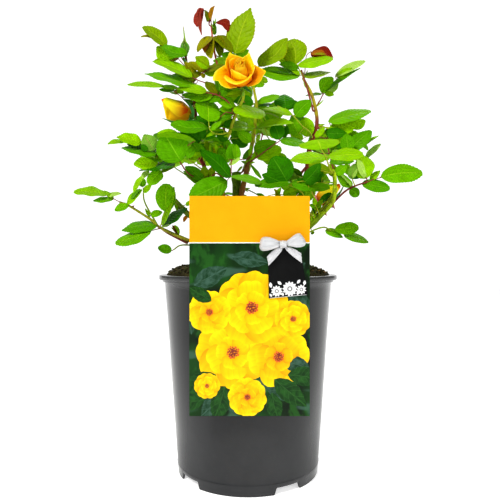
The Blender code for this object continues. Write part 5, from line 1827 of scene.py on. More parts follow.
# ---- upper left ----------------------------------------------------------------
spray("cane_left_tall", (186.5, 58), [(186.4, 56, -23)], [
    lf(187.2, 54.6, 159.5, 45.2, 11, "deep", -6, 18, 0.2, fold=0.25, lift=-4, lean=-0.55, flip=False, tip=0.3)],
    "green", 0.6, 0.45)
spray("cane_left_tall", (187.4, 62), [(179, 54, -24), (170.5, 47.5, -28)], [
    lf(167.0, 45.6, 142.6, 26.6, 13.2, "sun", -6, 16, 0.45, fold=0.22, twist=-0.4, lift=-1, tip=-0.9),
    lf(163, 44, 140.5, 37.0, 4, "olive", -4, 35, 1.0, fold=0.4, flip=False)], "red", 0.6, 0.45)
spray("cane_left_tall", (188, 70), [(183, 64, -26), (177.5, 58, -30)], [
    lf(173, 61, 156.8, 46.4, 14, "light", 0, 16, 0.3, fold=0.25, lift=3, lean=-0.35),
    lf(172, 61, 154.5, 60.0, 7, "sun", 3, 20, lift=2, flip=False),
    lf(179, 58, 163, 60.5, 6, "olive", 3, 20, lift=4)], "red", 0.5, 0.4)
spray("cane_rose", (234.5, 107), [(229, 101, -40), (222, 97.5, -40), (216, 94, -40), (209, 88, -39),
                                  (206.5, 83.5, -38), (200, 81, -38), (195, 78.8, -38), (188, 75, -38),
                                  (182.5, 72.3, -38)], [
    lf(192.5, 77.4, 152.5, 61.2, 10.5, "light", -2, 18, 0.25, fold=0.2, lift=-1, lean=0.1),
    lf(195.5, 86.4, 143.8, 73.8, 10.5, "mid", -4, 22, 0.25, fold=0.22, lift=-3, ripple=0.03, lean=-0.1, flip=False),
    lf(195, 79.4, 170, 75.8, 7.5, "sun", 2, 20, 0.2, lift=1, lean=0.4),
    lf(196, 80.5, 184, 81.6, 3.4, "olive", 2, 20, 0.2, lift=2)], "red", 0.75, 0.45, "light")
spray("cane_left_tall", (193.2, 86), [(195.4, 79, -30), (203, 72.4, -34), (208.6, 68.6, -36)], [
    lf(208.8, 68.8, 195.4, 56.6, 10.5, "sun", -5, 14, 0.4, fold=0.25, lean=0.3),
    lf(208.2, 68.4, 195.6, 61, 5.0, "fresh", -5, 14, 0.3, fold=0.2, lift=-1, lean=-0.3),
    lf(204, 72.0, 226, 64.4, 6.5, "olive_dark", 6, 16, 0.3, lift=0, flip=False),
    lf(204, 73, 221, 70.6, 8.5, "light", 3, 15, 0.3, lift=1, lean=0.3),
    lf(202.6, 73, 203.5, 78.3, 4.5, "olive", 0, 20, 0.2),
    lf(203.4, 72.4, 189, 61.8, 8, "olive", 3, 22, 0.4, fold=0.4, lift=1),
    lf(202, 73, 189.6, 77.6, 6, "olive_dark", 0, 20, 0.4, lift=2),
    lf(194.4, 76.5, 184.4, 61.5, 8, "olive", 0, 24, 0.4, fold=0.4, lift=2),
    lf(191, 73, 183.4, 57, 5, "dark", 0, 24, 0.3, lift=5)], "red", 0.6, 0.45)
spray("cane_rose", (233, 110), [(226, 100, -44), (216, 94.6, -46), (206, 92.6, -46), (198, 91.2, -46),
                                (188, 90, -45), (182, 89, -44)], [
    lf(207, 91.4, 175.6, 88.4, 9, "fresh", -4, 14, 0.2, lift=-1, flip=False),
    lf(217, 94, 206, 81.4, 10, "olive_dark", 6, 14, 0.3, lift=2),
    lf(220, 93, 216.5, 79, 8, "deep", 6, 12, 0.3, lift=4),
    lf(222, 97.5, 231, 88, 10, "deep", 6, 12, 0.3, lift=3),
    lf(213, 96, 182.5, 95.6, 11, "mid", -2, 12, 0.3, lift=2, lean=-0.15),
    lf(203, 98.5, 181.5, 94.5, 8, "mid", 2, 12, 0.3, lift=4),
    lf(222, 99, 200, 97, 9, "deep", 2, 12, 0.3, lift=1),
    lf(226, 101, 214, 90, 9, "mid", 4, 12, 0.3, lift=5),
    lf(229, 102, 238, 91, 8, "fresh", 4, 12, 0.3, lift=4)], "red", 0.8, 0.5)
spray("cane_left_tall", (193.8, 98), [(188, 98, -28), (182, 97, -34), (174, 91.4, -36), (166.5, 87.2, -36)], [
    lf(165.2, 86.2, 127.2, 84.8, 6, "light", -3, 34, 0.15, fold=0.15, lean=-0.2, tip=-0.8),
    lf(178, 87.6, 161, 86.4, 4.5, "light", -2, 30, 0.2, flip=False, lift=-2),
    lf(175, 90.6, 159, 89.4, 4, "deep", 1, 30, 0.3, lift=-1, flip=False),
    lf(184, 92.4, 174.5, 90.6, 5, "fresh", -1, 20, 0.2, lift=1),
    lf(195, 105.5, 184, 99.2, 5, "deep", 0, 18, 0.3, lift=3),
    lf(178, 94, 169.5, 92.4, 2.5, "pale", 0, 20, 0.2)], "red", 0.5, 0.4)

spray("cane_left_tall", (196, 106), [(195.6, 107.6, -30), (192.4, 107.8, -33)], [], "lime", 1.25, 1.0, None)

# ---- left middle ----------------------------------------------------------------
spray("cane_rose", (229, 134), [(222, 134, -40), (214, 133.4, -50), (209.4, 129, -56)], [
    lf(208.5, 121.4, 207, 96, 25, "mid", None, 3, 0.22, fold=0.08, arch=0.12, lean=0, twist=0.0, tip=0.1, aspect=0.72),
    lf(223, 129.0, 202, 139.8, 6, "light", -8, 22, 0.3, fold=0.3, flip=False, tip=0.4),
    lf(216, 131.5, 206, 136.8, 4, "fresh", -6, 22, 0.3, lift=1),
    lf(210, 130.5, 222, 121, 6, "mid", 2, 20, 0.3)], "lime", 0.75, 0.55)
spray("cane_rose", (234.5, 115), [(231, 113, -44), (226, 112, -48)], [
    lf(233.5, 107.5, 213, 92.5, 12, "mid", 1, 10, 0.3, lift=1),
    lf(233.5, 113, 209.6, 122.4, 10, "deep", -2, 10, 0.3),
    lf(234, 110, 219, 109, 9, "mid", -3, 14, 0.3),
    lf(232, 117, 212, 128, 8, "deep", -3, 14, 0.3, lift=2),
    lf(214, 125, 196, 116.5, 10, "dark", 2, 12, 0.3, lift=6),
    lf(233, 119, 224, 128, 8, "dark", -2, 14, 0.3, lift=4)], "red", 0.7, 0.5)
spray("cane_left_tall", (198, 140), [(203, 141, -36), (206, 134, -44), (207.5, 128, -46)], [
    lf(201, 141, 180, 127.4, 16, "dark", -6, 8, 0.3, lift=-6),
    lf(207, 140, 207, 126, 16, "dark", -2, 8, 0.3, lift=-4),
    lf(208.5, 128.4, 170.4, 124.4, 11, "deep", -4, 14, 0.3, lift=-2, lean=-0.42),
    lf(200, 121.5, 178, 129, 7, "dark", 0, 14, 0.3, lift=2)], "green", 0.7, 0.5)
spray("cane_left_tall", (203.5, 171), [(198, 166.5, -28), (190.5, 160.6, -42), (186.6, 156.4, -50)], [
    lf(201, 153, 188.6, 159.4, 7, "fresh", -2, 12, 0.3, lift=-4),
    lf(203, 156, 192, 143, 12, "deep", -2, 10, 0.3, lift=-6)], "lime", 0.65, 0.5)
spray("cane_left_tall", (204, 177), [(197, 177.5, -26), (190.5, 175, -38), (184.5, 169, -50), (181.4, 164, -57),
                                     (172, 153, -56), (161, 150.5, -56), (150, 147.5, -58), (141, 142.5, -60)], [
    lf(181, 161.4, 164, 133.5, 33, "deep", -4, 4, 0.25, fold=0.05, arch=0.14, lift=-3, lean=0.0, twist=0.0, aspect=0.85,
       tip=-0.8),
    lf(196, 141, 156.5, 136.2, 9.5, "deep", -3, 22, 0.2, lift=-6, lean=0.1),
    lf(194, 147, 187.5, 158.5, 8, "deep", -3, 12, 0.2, lift=-1),
    lf(178, 134.0, 157.5, 133.0, 6.5, "fresh", 2, 25, 0.3, lift=2, flip=False),
    lf(158.5, 153.2, 121.2, 147.8, 11, "deep", -6, 16, 0.3, lift=-1, flip=False),
    lf(153.8, 150.5, 144.0, 134.4, 17, "grey", -3, 10, 0.3, lift=-3, flip=False),
    lf(148, 150.5, 140.5, 145.0, 6, "dark", -3, 10, 0.3, lift=-5),
    lf(141.5, 143.2, 116.4, 137.0, 12, "fresh", -4, 14, 0.5, lift=-1, ripple=0.04, flip=False),
    lf(124, 142.4, 107.4, 144.2, 4.5, "fresh", -3, 20, 1.0, flip=False),
    lf(150, 147.5, 127, 144, 7, "dark", -1, 20, 0.3, lift=2),
    lf(158, 157.8, 140, 155.4, 4, "light", -2, 20, 0.3, flip=False),
    lf(163, 161, 148, 157, 7, "mid", -2, 20, 0.3, lift=1)], "red", 0.85, 0.5)
spray("cane_left_tall", (204.5, 182), [(197, 181.5, -26), (190, 178, -36), (184, 173.7, -42), (177, 169.2, -48),
                                       (172, 166, -52), (160, 165, -54), (149, 170, -54)], [
    lf(175.5, 163.6, 138.6, 171.0, 8.5, "dark", -6, 18, 0.25, lift=-3, flip=False, lean=-0.15),
    lf(158.5, 160.5, 133.6, 164.5, 14.5, "light", -4, 10, 0.3, lift=-1, lean=-0.2),
    lf(156, 158.5, 140.5, 156.6, 4, "pale", -4, 10, 0.3, lift=-2),
    lf(174, 165.6, 160.5, 173.2, 5, "sun", -4, 24, 0.3, lift=-4),
    lf(161.6, 170.6, 148, 184.0, 12.6, "mid", -3, 10, 0.35, lift=0, tip=-1),
    lf(158.6, 170, 160.0, 180.5, 7, "mid", -1, 10, 0.35, lift=2, tip=-1),
    lf(149, 171, 141.5, 178.5, 5.5, "pale", -3, 12, 0.3, lift=-1),
    lf(144.8, 174.4, 133.6, 192.8, 5.4, "light", -4, 20, 0.3, fold=0.3, flip=False)], "green", 0.75, 0.45)

# ---- centre ------------------------------------------------------------------------
spray("cane_rose", (224.5, 150), [(228, 152, -36), (231, 160, -46), (231, 176, -50)], [
    lf(230.8, 177.6, 199.8, 149.6, 15, "dark", -4, 8, 0.2, fold=0.12, lift=-2, lean=0.15),
    lf(227.5, 180.8, 190, 198.5, 24, "deep", -4, 6, 0.3, fold=0.10, arch=0.1, lift=-2, flip=False, tip=-0.9),
    lf(235.5, 160.5, 231, 143.5, 14, "deep", -1, 8, 0.3, lift=2),
    lf(236.5, 160, 236.0, 144.0, 8, "mid", -2, 10, 0.3, lift=0),
    lf(229, 165, 240, 158.0, 5, "pale", -1, 16, 0.3, lift=1)], "red", 0.8, 0.5)
spray("cane_rose", (225, 146), [(228, 152, -34), (229, 160, -38)], [
    lf(229, 162.5, 219, 148, 12, "deep", 0, 8, 0.3, lift=2),
    lf(228, 158, 214, 157, 8, "mid", 0, 12, 0.3, lift=3),
    lf(229, 152, 226, 138, 9, "deep", 0, 8, 0.3, lift=4)], "green", 0.6, 0.5)
spray("cane_centre", (248, 160), [(241, 159.5, -14), (235, 161.5, -26), (228, 165.3, -36)], [
    lf(243.6, 160, 249.4, 148.5, 5, "deep", 0, 16, 0.3),
    lf(247, 164, 241, 161, 3, "light", 0, 16, 0.3),
    lf(251, 164.5, 261.5, 178.6, 3.4, "mid", 0, 30, 0.2, lift=0, flip=False),
    lf(251.5, 160, 259.5, 149.5, 4.4, "light", 0, 20, 0.2, lift=1)], "red", 0.6, 0.45)
spray("cane_left_tall", (204.7, 168), [(209, 177, -26), (216, 173.4, -34), (221, 176.6, -40), (225.6, 181, -46)], [
    lf(211.5, 178, 212, 166.5, 8, "sun", -4, 10, 0.3, lift=4),
    lf(205, 178, 204, 166, 8, "sun", -3, 12, 0.3, lift=-2),
    lf(203, 180, 185, 166.5, 12, "deep", -3, 12, 0.3, lift=-4),
    lf(199, 183.5, 183.5, 171, 8, "mid", -2, 14, 0.3, lift=-5, flip=False)], "red", 0.8, 0.65)
spray("cane_right_thick", (312, 224), [(304, 196, -36), (294, 187, -44), (284, 184.5, -48), (266, 186, -50)], [
    lf(287.6, 182, 272.6, 157.0, 27.0, "dark", -6, 5, 0.3, fold=0.10, lean=0.02, lift=-3, aspect=0.9, tip=-0.6),
    lf(284, 184, 262, 174.5, 14, "dark", -5, 5, 0.3, lift=-2),
    lf(291, 182.5, 254.5, 185.5, 9, "deep", -3, 14, 0.2, lift=-6, flip=False),
    lf(262, 183, 230.5, 176.5, 8.5, "mid", -4, 16, 0.2, lift=-3, flip=False),
    lf(291.5, 183, 317, 189.5, 11, "deep", -3, 12, 0.3, lift=-3, flip=False),
    lf(296, 190, 283, 195, 8, "fresh", 2, 20, 0.3, lift=3),
    lf(300, 193, 288, 187, 6, "deep", 4, 20, 0.3, lift=4)], "lime", 0.8, 0.5)
spray("cane_right_thick", (314, 220), [(302, 204, -30), (292, 197, -34), (284, 195, -34), (274, 194.5, -34)], [
    lf(276, 197, 281, 187, 5, "light", 0, 16, 0.3, flip=False),
    lf(284, 196, 289, 187, 5, "fresh", 0, 16, 0.3, flip=False),
    lf(280, 197, 274, 189, 4, "olive", 0, 16, 0.3, flip=False),
    lf(292, 197, 297, 189, 6, "light", 0, 16, 0.3, flip=False),
    lf(265, 198, 256.5, 193.4, 4, "mid", 0, 16, 0.3, flip=False),
    lf(297, 199, 305, 192, 6, "deep", 0, 16, 0.3, flip=False)], "lime", 0.7, 0.5)
spray("cane_right_thick", (333, 184), [(320, 183, -46), (306, 181, -50), (297, 182, -50)], [
    lf(304.4, 182.5, 320.6, 163.5, 14, "dark", -4, 8, 0.3, lift=-1, flip=False, lean=0.15),
    lf(306, 183.5, 323.5, 173, 11, "dark", -4, 10, 0.3, lift=-2, flip=False),
    lf(305, 182.6, 297, 179, 5, "dark", 0, 14, 0.3, lift=2),
    lf(308, 189.5, 330, 187.8, 8.6, "mid", -4, 10, 0.2, lift=-3, flip=False, tip=-0.9),
    lf(318, 177, 320, 186, 8, "dark", 2, 12, 0.3, lift=3),
    lf(322, 176, 324.5, 165, 9, "deep", 2, 12, 0.3, lift=2),
    lf(322, 186, 330, 180, 6, "pale", 2, 12, 0.3, lift=5)], "lime", 0.7, 0.5)
spray("cane_centre", (252.5, 163), [(262, 153.5, -16), (272, 146, -24), (280, 140.8, -28)], [
    lf(255, 157, 281.5, 148.5, 16, "fresh", 3, 10, 0.2, lift=3, lean=0.1, flip=False, tip=-0.8),
    lf(254, 151, 276.5, 141.5, 12, "mid", 3, 10, 0.3, lift=5, flip=False),
    lf(279.6, 139.8, 274, 124.5, 15, "dark", 3, 10, 0.35, lift=0),
    lf(284, 138, 287, 126, 7, "dark", 3, 10, 0.35, lift=3),
    lf(280, 139.8, 310, 146.6, 9.4, "deep", -3, 16, 0.2, lift=-1, lean=-0.1, flip=False)], "red", 0.75, 0.5)
spray("cane_centre", (254.5, 129), [(256, 128.2, -14)], [
    lf(255.5, 128.8, 294, 123.4, 8, "fresh", -18, 20, 0.2, fold=0.5, lift=-5, flip=False),
    lf(253.8, 128, 214.5, 124.6, 9.5, "fresh", -16, 18, 0.25, lift=-6, flip=False)], "lime", 0.7, 0.5)
spray("cane_centre", (256, 116), [(259, 115, -16), (263, 112.4, -22)], [
    lf(264, 111.4, 233.5, 111.6, 12, "light", -26, 16, 0.3, fold=0.12, lift=-4, flip=False, lean=-0.15),
    lf(260, 124.5, 261.5, 113.5, 9, "fresh", 4, 10, 0.3, lift=2, flip=False),
    lf(267, 123, 264.5, 114.5, 6, "deep", 5, 14, 0.3, lift=4),
    lf(268, 136, 262, 128.5, 6, "pale", 5, 14, 0.3, lift=4)], "lime", 0.7, 0.5)
spray("cane_centre", (255.8, 103), [(257, 103.4, -8)], [
    lf(257.5, 103.4, 279.5, 95.3, 7, "mid", 6, 16, 0.3, lift=0, flip=False),
    lf(253.5, 104, 231, 98.6, 11, "dark", 4, 12, 0.3, lift=4),
    lf(252, 106, 240, 104, 7, "dark", 2, 16, 0.3, lift=2),
    lf(258, 106.4, 273, 103.8, 2.8, "dark", 4, 20, 0.3, lift=2)], "green", 0.6, 0.45)
spray("cane_rose", (238, 106), [(242, 95, -44)], [
    lf(243.5, 93, 226, 96.0, 6, "light", -2, 18, 0.3, flip=False),
    lf(244, 90, 221, 90, 6, "deep", 2, 14, 0.3, lift=4)], "green", 0.6, 0.5)
spray("cane_right_tall", (312.5, 138), [(308.4, 130.6, 12), (302, 125.6, 0), (294, 116.6, -6), (286, 110.2, -6),
                                        (277.5, 105.8, -4)], [
    lf(285.6, 109.0, 285, 94.3, 22, "dark", None, 6, 0.3, fold=0.12, lift=2),
    lf(286, 108.4, 297, 101, 9, "dark", 5, 8, 0.3, lift=4),
    lf(295, 116, 310.8, 100, 15.5, "deep", 3, 8, 0.3, fold=0.15, lift=1, flip=False),
    lf(292, 114.0, 262.5, 108.6, 7.6, "light", -4, 16, 0.2, lift=-5, flip=False, lean=0.15),
    lf(298.5, 135.5, 291.0, 117.5, 15, "mid", 3, 8, 0.3, lift=3, flip=False),
    lf(308.5, 137, 304, 117.5, 16, "fresh", 3, 8, 0.3, lift=2, ripple=0.03, flip=False),
    lf(303, 139.5, 290, 133, 9, "fresh", 3, 8, 0.3, lift=1, flip=False)], "lime", 0.8, 0.5)
spray("cane_rose", (226, 142), [(231, 139, -26), (238, 138, -22), (247, 136, -18)], [
    lf(251, 142, 237, 130.5, 11, "mid", -4, 10, 0.3, lift=-2, flip=False),
    lf(248, 145, 230, 137.5, 12, "dark", -3, 12, 0.3, lift=2),
    lf(240, 138, 229.5, 130.5, 9, "deep", -3, 12, 0.3, lift=3),
    lf(228, 140, 216, 131, 11, "dark", -3, 12, 0.3, lift=-3),
    lf(225, 144, 212, 138, 9, "deep", -3, 12, 0.3, lift=-1),
    lf(247, 134, 243, 121, 9, "grey", 4, 12, 0.3, lift=5),
    lf(251, 131, 250, 119, 7, "fresh", 4, 12, 0.3, lift=6),
    lf(252, 146, 249, 156, 3.5, "deep", 2, 14, 0.3, lift=3)], "green", 0.6, 0.45)
spray("cane_left_tall", (199, 146), [(206, 142, -24), (214, 143, -28), (221, 147, -28)], [
    lf(209, 151, 206, 140.5, 6, "sun", -2, 20, 0.3, lift=-2),
    lf(213, 158, 210.5, 143.5, 5, "fresh", -3, 24, 0.3, lift=-4),
    lf(218, 158, 215.5, 143.5, 5, "light", -4, 24, 0.3, lift=-5, flip=False),
    lf(222.5, 156, 220.5, 144, 4, "sun", -3, 24, 0.3, lift=-3),
    lf(209, 142, 219, 143.5, 3, "light", -3, 20, 0.5, lift=-6),
    lf(215, 157, 213.5, 147, 3, "olive", -3, 20, 0.5, lift=-7),
    lf(206, 150, 200, 144, 6, "deep", -3, 20, 0.5, lift=1),
    lf(222, 150, 224.5, 160, 8, "deep", -3, 20, 0.5, lift=3)], "lime", 0.6, 0.4)

# ---- right front ---------------------------------------------------------------------
spray("cane_right_thick", (333, 171), [(331, 171.4, -48), (328, 163.5, -62), (326, 157.2, -76), (323.4, 152.4, -84),
                                       (321.6, 149.8, -88)], [
    lf(321.6, 149.6, 317, 139.4, 38.5, "light", -47, 0, 0.2, fold=0.08, arch=0.10, lean=0, twist=0.0,
       face=(-0.06, 0.03, 1.0), tip=-0.5),
    lf(326.2, 157.0, 290.4, 160.6, 12.5, "light", -6, 14, 0.2, fold=0.14, lift=0, flip=False, lean=0.08),
    lf(327.4, 157.0, 363.4, 154.6, 11.5, "light", -4, 14, 0.2, fold=0.12, lift=0, flip=False, tip=-0.8),
    lf(329.5, 163, 354, 161.0, 8, "deep", 4, 16, 0.3, lift=4, flip=False)], "lime", 0.85, 0.55)
spray("cane_right_thick", (333, 173), [(331, 173, -46), (322, 170.6, -50), (314, 169.4, -50)], [
    lf(330.5, 171.5, 308.5, 165.4, 10, "sun", -3, 10, 0.3, lift=1),
    lf(326, 172, 312, 176, 9, "deep", 2, 10, 0.3, lift=4),
    lf(333, 177, 331, 163, 10, "sun", 6, 10, 0.3, lift=8),
    lf(335, 174.5, 347, 165.5, 10, "mid", 2, 10, 0.3, lift=5)], "lime", 0.6, 0.45)
spray("cane_right_thick", (334, 172), [(332, 164, -38), (329, 152, -32), (327, 138, -24), (333, 131, -18),
                                       (345, 128, -14), (353, 123.5, -12)], [
    lf(328, 122.0, 371.0, 110.8, 12.8, "mid", -4, 12, 0.2, fold=0.15, lift=-3, lean=-0.02, tip=-0.6, flip=False),
    lf(333, 121.6, 362, 117, 4, "olive", -4, 12, 0.2, lift=-4, flip=False),
    lf(328, 133, 358, 123.5, 16, "fresh", -3, 8, 0.25, fold=0.10, lift=-1, flip=False),
    lf(352, 128, 365.5, 120.5, 10, "light", -1, 10, 0.3, lift=1, flip=False),
    lf(325.5, 133.5, 347, 133.5, 11, "dark", -2, 8, 0.3, lift=-4, flip=False),
    lf(347.5, 151, 371, 130.4, 16, "deep", 2, 8, 0.3, lift=2, flip=False),
    lf(352, 148, 370, 140, 8, "mid", 2, 8, 0.3, lift=-1, flip=False),
    lf(348.5, 151, 346.0, 133.5, 15, "deep", -2, 8, 0.3, lift=-5, flip=False),
    lf(330, 138, 350, 128, 8, "deep", 1, 12, 0.3, lift=5),
    lf(336, 143, 348, 150.5, 7, "dark", 1, 12, 0.3, lift=3),
    lf(316.0, 137.6, 324.6, 126.4, 6.8, "light", 3, 12, 0.3, lift=-4, flip=False)], "red", 0.75, 0.5)
spray("shoot_far_right", (355, 187), [(352, 178, -24), (350, 168, -24), (349, 155, -22)], [
    lf(352.5, 152.2, 379.0, 135.6, 4.6, "fresh", -2, 22, 0.1, fold=0.35, flip=False, tip=0.5),
    lf(351, 179, 354.5, 163.5, 9.5, "grey", -1, 10, 0.3, lift=-2),
    lf(352.6, 178, 357.5, 168.5, 4, "pale", -1, 10, 0.3, lift=-4),
    lf(350, 175, 345.5, 164, 8, "mid", 3, 10, 0.3, lift=2),
    lf(352, 178.5, 362, 174.0, 6, "dark", 3, 10, 0.3, lift=2)], "lime", 0.6, 0.4)
spray("shoot_far_right", (366, 183), [(367, 179, -21)], [
    lf(365.8, 178.8, 360, 154.6, 19.5, "fresh", -6, 5, 0.3, fold=0.16, ripple=0.03, flip=False, aspect=0.85, lean=0.12),
    lf(365.6, 177.6, 357, 159.5, 8, "pale", -6, 5, 0.3, lift=-2, flip=False),
    lf(366, 159, 380.5, 143.6, 6, "pale", 1, 12, 0.2, fold=0.3, lift=3, flip=False)], "red", 0.6, 0.45)
spray("shoot_far_right", (367.5, 182), [(374, 179.2, -20), (382, 177.4, -20)], [
    lf(380.6, 176.6, 422.6, 172.8, 18.4, "mid", -4, 8, 0.2, fold=0.10, arch=0.12, lean=-0.10, flip=False, tip=-0.7),
    lf(371.0, 181, 380, 170.4, 7, "fresh", 2, 12, 0.3, lift=2, flip=False),
    lf(361.6, 183.4, 390, 188.6, 13, "deep", -3, 10, 0.2, flip=False, tip=-1.0)], "red", 0.6, 0.42)
spray("shoot_far_right", (353, 188), [(353, 186.8, -28)], [
    lf(352.4, 187.2, 336.2, 172.4, 9.5, "mid", -4, 12, 0.2, flip=False, lean=-0.42),
    lf(352.0, 186.0, 340.6, 174.5, 4, "pale", -4, 12, 0.2, lift=-1.5, flip=False, lean=0.4),
    lf(350, 188.6, 358.6, 196.2, 10, "deep", -2, 10, 0.3, lift=-1, flip=False, tip=-0.8)], "red", 0.5, 0.4)

# ---- upper right -------------------------------------------------------------------------
spray("cane_right_tall", (316.5, 107), [(320.2, 100, 32), (324, 93.2, 36), (331, 86.8, 38), (337, 81, 40)], [
    lf(321.6, 93.2, 332.6, 77.0, 12.5, "mid", -2, 8, 0.25, lift=1, lean=-0.42, flip=False),
    lf(335.0, 77.0, 365.4, 60.8, 7.6, "pale", -6, 16, 0.15, lift=1, flip=False, lean=-0.1),
    lf(337, 77.6, 352, 67.8, 6.5, "fresh", -6, 16, 0.15, lift=-1, flip=False),
    lf(326, 91, 361.2, 67.6, 4.6, "deep", -4, 24, 0.1, lift=-3, flip=False, fold=0.3, tip=0.4),
    lf(336.4, 81.4, 328.4, 95.2, 8.6, "pale", -3, 10, 0.2, lift=3, flip=False),
    lf(324.8, 93.2, 334, 95, 5, "light", -3, 10, 0.2, lift=2, flip=False),
    lf(322, 93.6, 305.3, 95.8, 3.4, "mid", -2, 40, 0.2, flip=False)], "red", 0.75, 0.5)
spray("cane_right_tall", (303.2, 77), [(301.6, 73.5, 20), (298.6, 68.5, 20), (296.4, 64, 20)], [
    lf(296.0, 64.4, 290.6, 39.4, 24, "sun", 3, 6, 0.25, fold=0.2, lean=0.16, flip=False, tip=-0.9, aspect=0.85),
    lf(297, 63.8, 277, 57, 12, "fresh", 3, 6, 0.25, lift=1, flip=False),
    lf(297.4, 65.6, 333.2, 58.2, 10.5, "light", -6, 18, 0.2, lift=-3, flip=False, tip=-0.9),
    lf(299, 67.6, 279, 64.4, 8, "deep", -3, 18, 0.3, lift=-1, flip=False),
    lf(299.8, 76, 259, 72.2, 12, "mid", -6, 14, 0.2, fold=0.2, lift=-2, flip=False, lean=-0.25),
    lf(297.0, 72.6, 262, 69.4, 6, "deep", -4, 14, 0.2, lift=1, flip=False),
    lf(300, 75, 290.6, 68, 4.5, "light", -2, 14, 0.2, lift=-3),
    lf(303.6, 76.4, 330.8, 72.2, 7, "sun", -4, 26, 0.2, lift=-2, flip=False)], "lime", 0.9, 0.6)
spray("cane_right_tall", (314, 112), [(311.4, 104, 26), (308.2, 92, 22), (304.6, 80, 20), (301.4, 70, 20)], [
    lf(306.5, 88, 303.6, 82, 2.4, "pale", 0, 20, 0.2)], "red", 1.15, 0.85)
spray("cane_right_tall", (304, 79), [(305.0, 70, 26), (305.6, 62, 27), (306.4, 56, 27), (308.6, 53.0, 27), (311, 51.6, 26)], [
    lf(310.6, 53, 333.0, 58.8, 12, "ruby", -6, 30, 0.5, fold=0.2, lift=1, lean=-0.45, flip=False, tip=-0.6),
    lf(311.4, 52.6, 327, 56.6, 6.5, "bronze", -6, 30, 0.5, fold=0.2, lift=-1, lean=-0.2, flip=False),
    lf(313, 53.4, 325.5, 54.6, 2.6, "olive", -7, 30, 0.4, lift=-2, flip=False)], "red", 0.6, 0.4)
spray("cane_centre", (254, 88), [(256, 79, 8), (257.4, 71, 14), (258.6, 66, 16)], [
    lf(258.8, 66.8, 287.8, 38.2, 16.0, "sun", -3, 8, 0.3, fold=0.16, lean=0.46, flip=False, tip=0.2),
    lf(263.5, 65.5, 288.2, 44.5, 3.6, "bronze", -2, 8, 0.3, lift=0.8, lean=1.2, flip=False),
    lf(255, 84.5, 263.6, 86.2, 5, "mid", -2, 20, 0.3, lift=-2)], "green", 0.7, 0.5)

# ---- low left ------------------------------------------------------------------------------
spray("cane_left_low", (120, 202), [(117, 200.6, -20), (114, 199, -20)], [
    lf(107.5, 195.2, 73.5, 191.8, 8.5, "fresh", -4, 20, 0.3, ripple=0.03, flip=False, lean=0.2),
    lf(113.5, 198.4, 104, 190.6, 5, "light", -2, 14, 0.3, flip=False),
    lf(106.6, 195.4, 121.6, 193.6, 4.6, "pale", -2, 16, 0.2, flip=False, lift=1),
    lf(113.6, 199.2, 93, 200.8, 5.4, "mid", -3, 20, 0.3, lift=-1, flip=False)], "red", 0.5, 0.4)
spray("cane_left_low", (128, 205), [(128.4, 204.2, -21)], [
    lf(128.6, 204.4, 114.6, 210.6, 8.0, "mid", -3, 14, 0.3, flip=False),
    lf(127, 204.0, 142.2, 189.6, 8.0, "fresh", -4, 16, 0.3, lift=-1, flip=False),
    lf(131, 199, 140.5, 188.6, 4, "deep", -4, 16, 0.3, lift=-2, flip=False)], "green", 0.5, 0.4)
spray("twig_left", (143.5, 194), [(143, 188, -18)], [
    lf(143, 187, 141, 177.4, 8, "deep", -2, 12, 0.3, flip=False),
    lf(143.4, 192.6, 151.6, 184.4, 6, "light", -2, 14, 0.3, flip=False)], "green", 0.5, 0.4)
spray("cane_left_low", (150, 217), [(150.5, 215.6, -20)], [
    lf(150.6, 215.6, 162.4, 212, 7, "mid", 3, 16, 0.3, flip=False),
    lf(149.4, 216.8, 145.2, 208.4, 3.4, "light", 0, 16, 0.3, flip=False)], "green", 0.5, 0.4)
spray("cane_left_low", (161, 226.5), [(161.2, 224, -20), (162.5, 218, -22), (165, 212.6, -24)], [
    lf(166.0, 212.0, 166.3, 183.5, 20, "mid", -5, 6, 0.2, fold=0.12, lean=-0.05, flip=False, tip=-1.0),
    lf(171, 203, 174.2, 186.8, 6, "light", -3, 20, 0.3, lift=1, flip=False),
    lf(161.6, 225, 173.4, 201.6, 6, "fresh", -7, 18, 0.2, lift=-4, flip=False)], "lime", 0.6, 0.4)
spray("cane_left_low", (158, 228), [(167, 232.6, -16), (177, 237.8, -15), (187.5, 243.0, -14)], [], "red", 1.0, 1.6, None)
spray("cane_left_low", (162, 227.5), [(162.4, 226.4, -19)], [
    lf(162, 225.6, 187.4, 208.2, 9.5, "dark", -4, 12, 0.2, ripple=0.03, flip=False),
    lf(161.6, 226.8, 176, 220.2, 4, "pale", -4, 12, 0.2, lift=-2, flip=False)], "green", 0.5, 0.4)
spray("cane_left_low", (161, 227), [(158.6, 228.8, -21), (152.2, 230.4, -24)], [
    lf(158, 224.8, 121.5, 230.4, 10.8, "deep", -4, 14, 0.3, lift=2, lean=0.15, flip=False),
    lf(151.8, 230.4, 115.2, 243.6, 12.5, "mid", -5, 10, 0.2, fold=0.16, lift=-1, lean=-0.2, flip=False, tip=-0.8)],
    "red", 0.6, 0.45)
spray("twig_lowest_left", (172.5, 251), [(171.8, 250.8, -12)], [
    lf(171.8, 250.6, 157.8, 247.6, 9.5, "deep", -4, 10, 0.3, flip=False, tip=-0.5)], "red", 0.5, 0.4)
spray("cane_left_low", (178.6, 236.5), [(178, 234, -17)], [
    lf(178, 235.6, 172.3, 225.4, 4, "bronze", -1, 20, 0.2, fold=0.4, flip=False),
    lf(178.8, 235, 174.5, 225, 3.2, "light", -3, 24, 0.2, fold=0.4, flip=False),
    lf(177.6, 235.4, 171.2, 227.4, 2.6, "light", -3, 24, 0.2, fold=0.4, flip=False)], "lime", 0.5, 0.4)
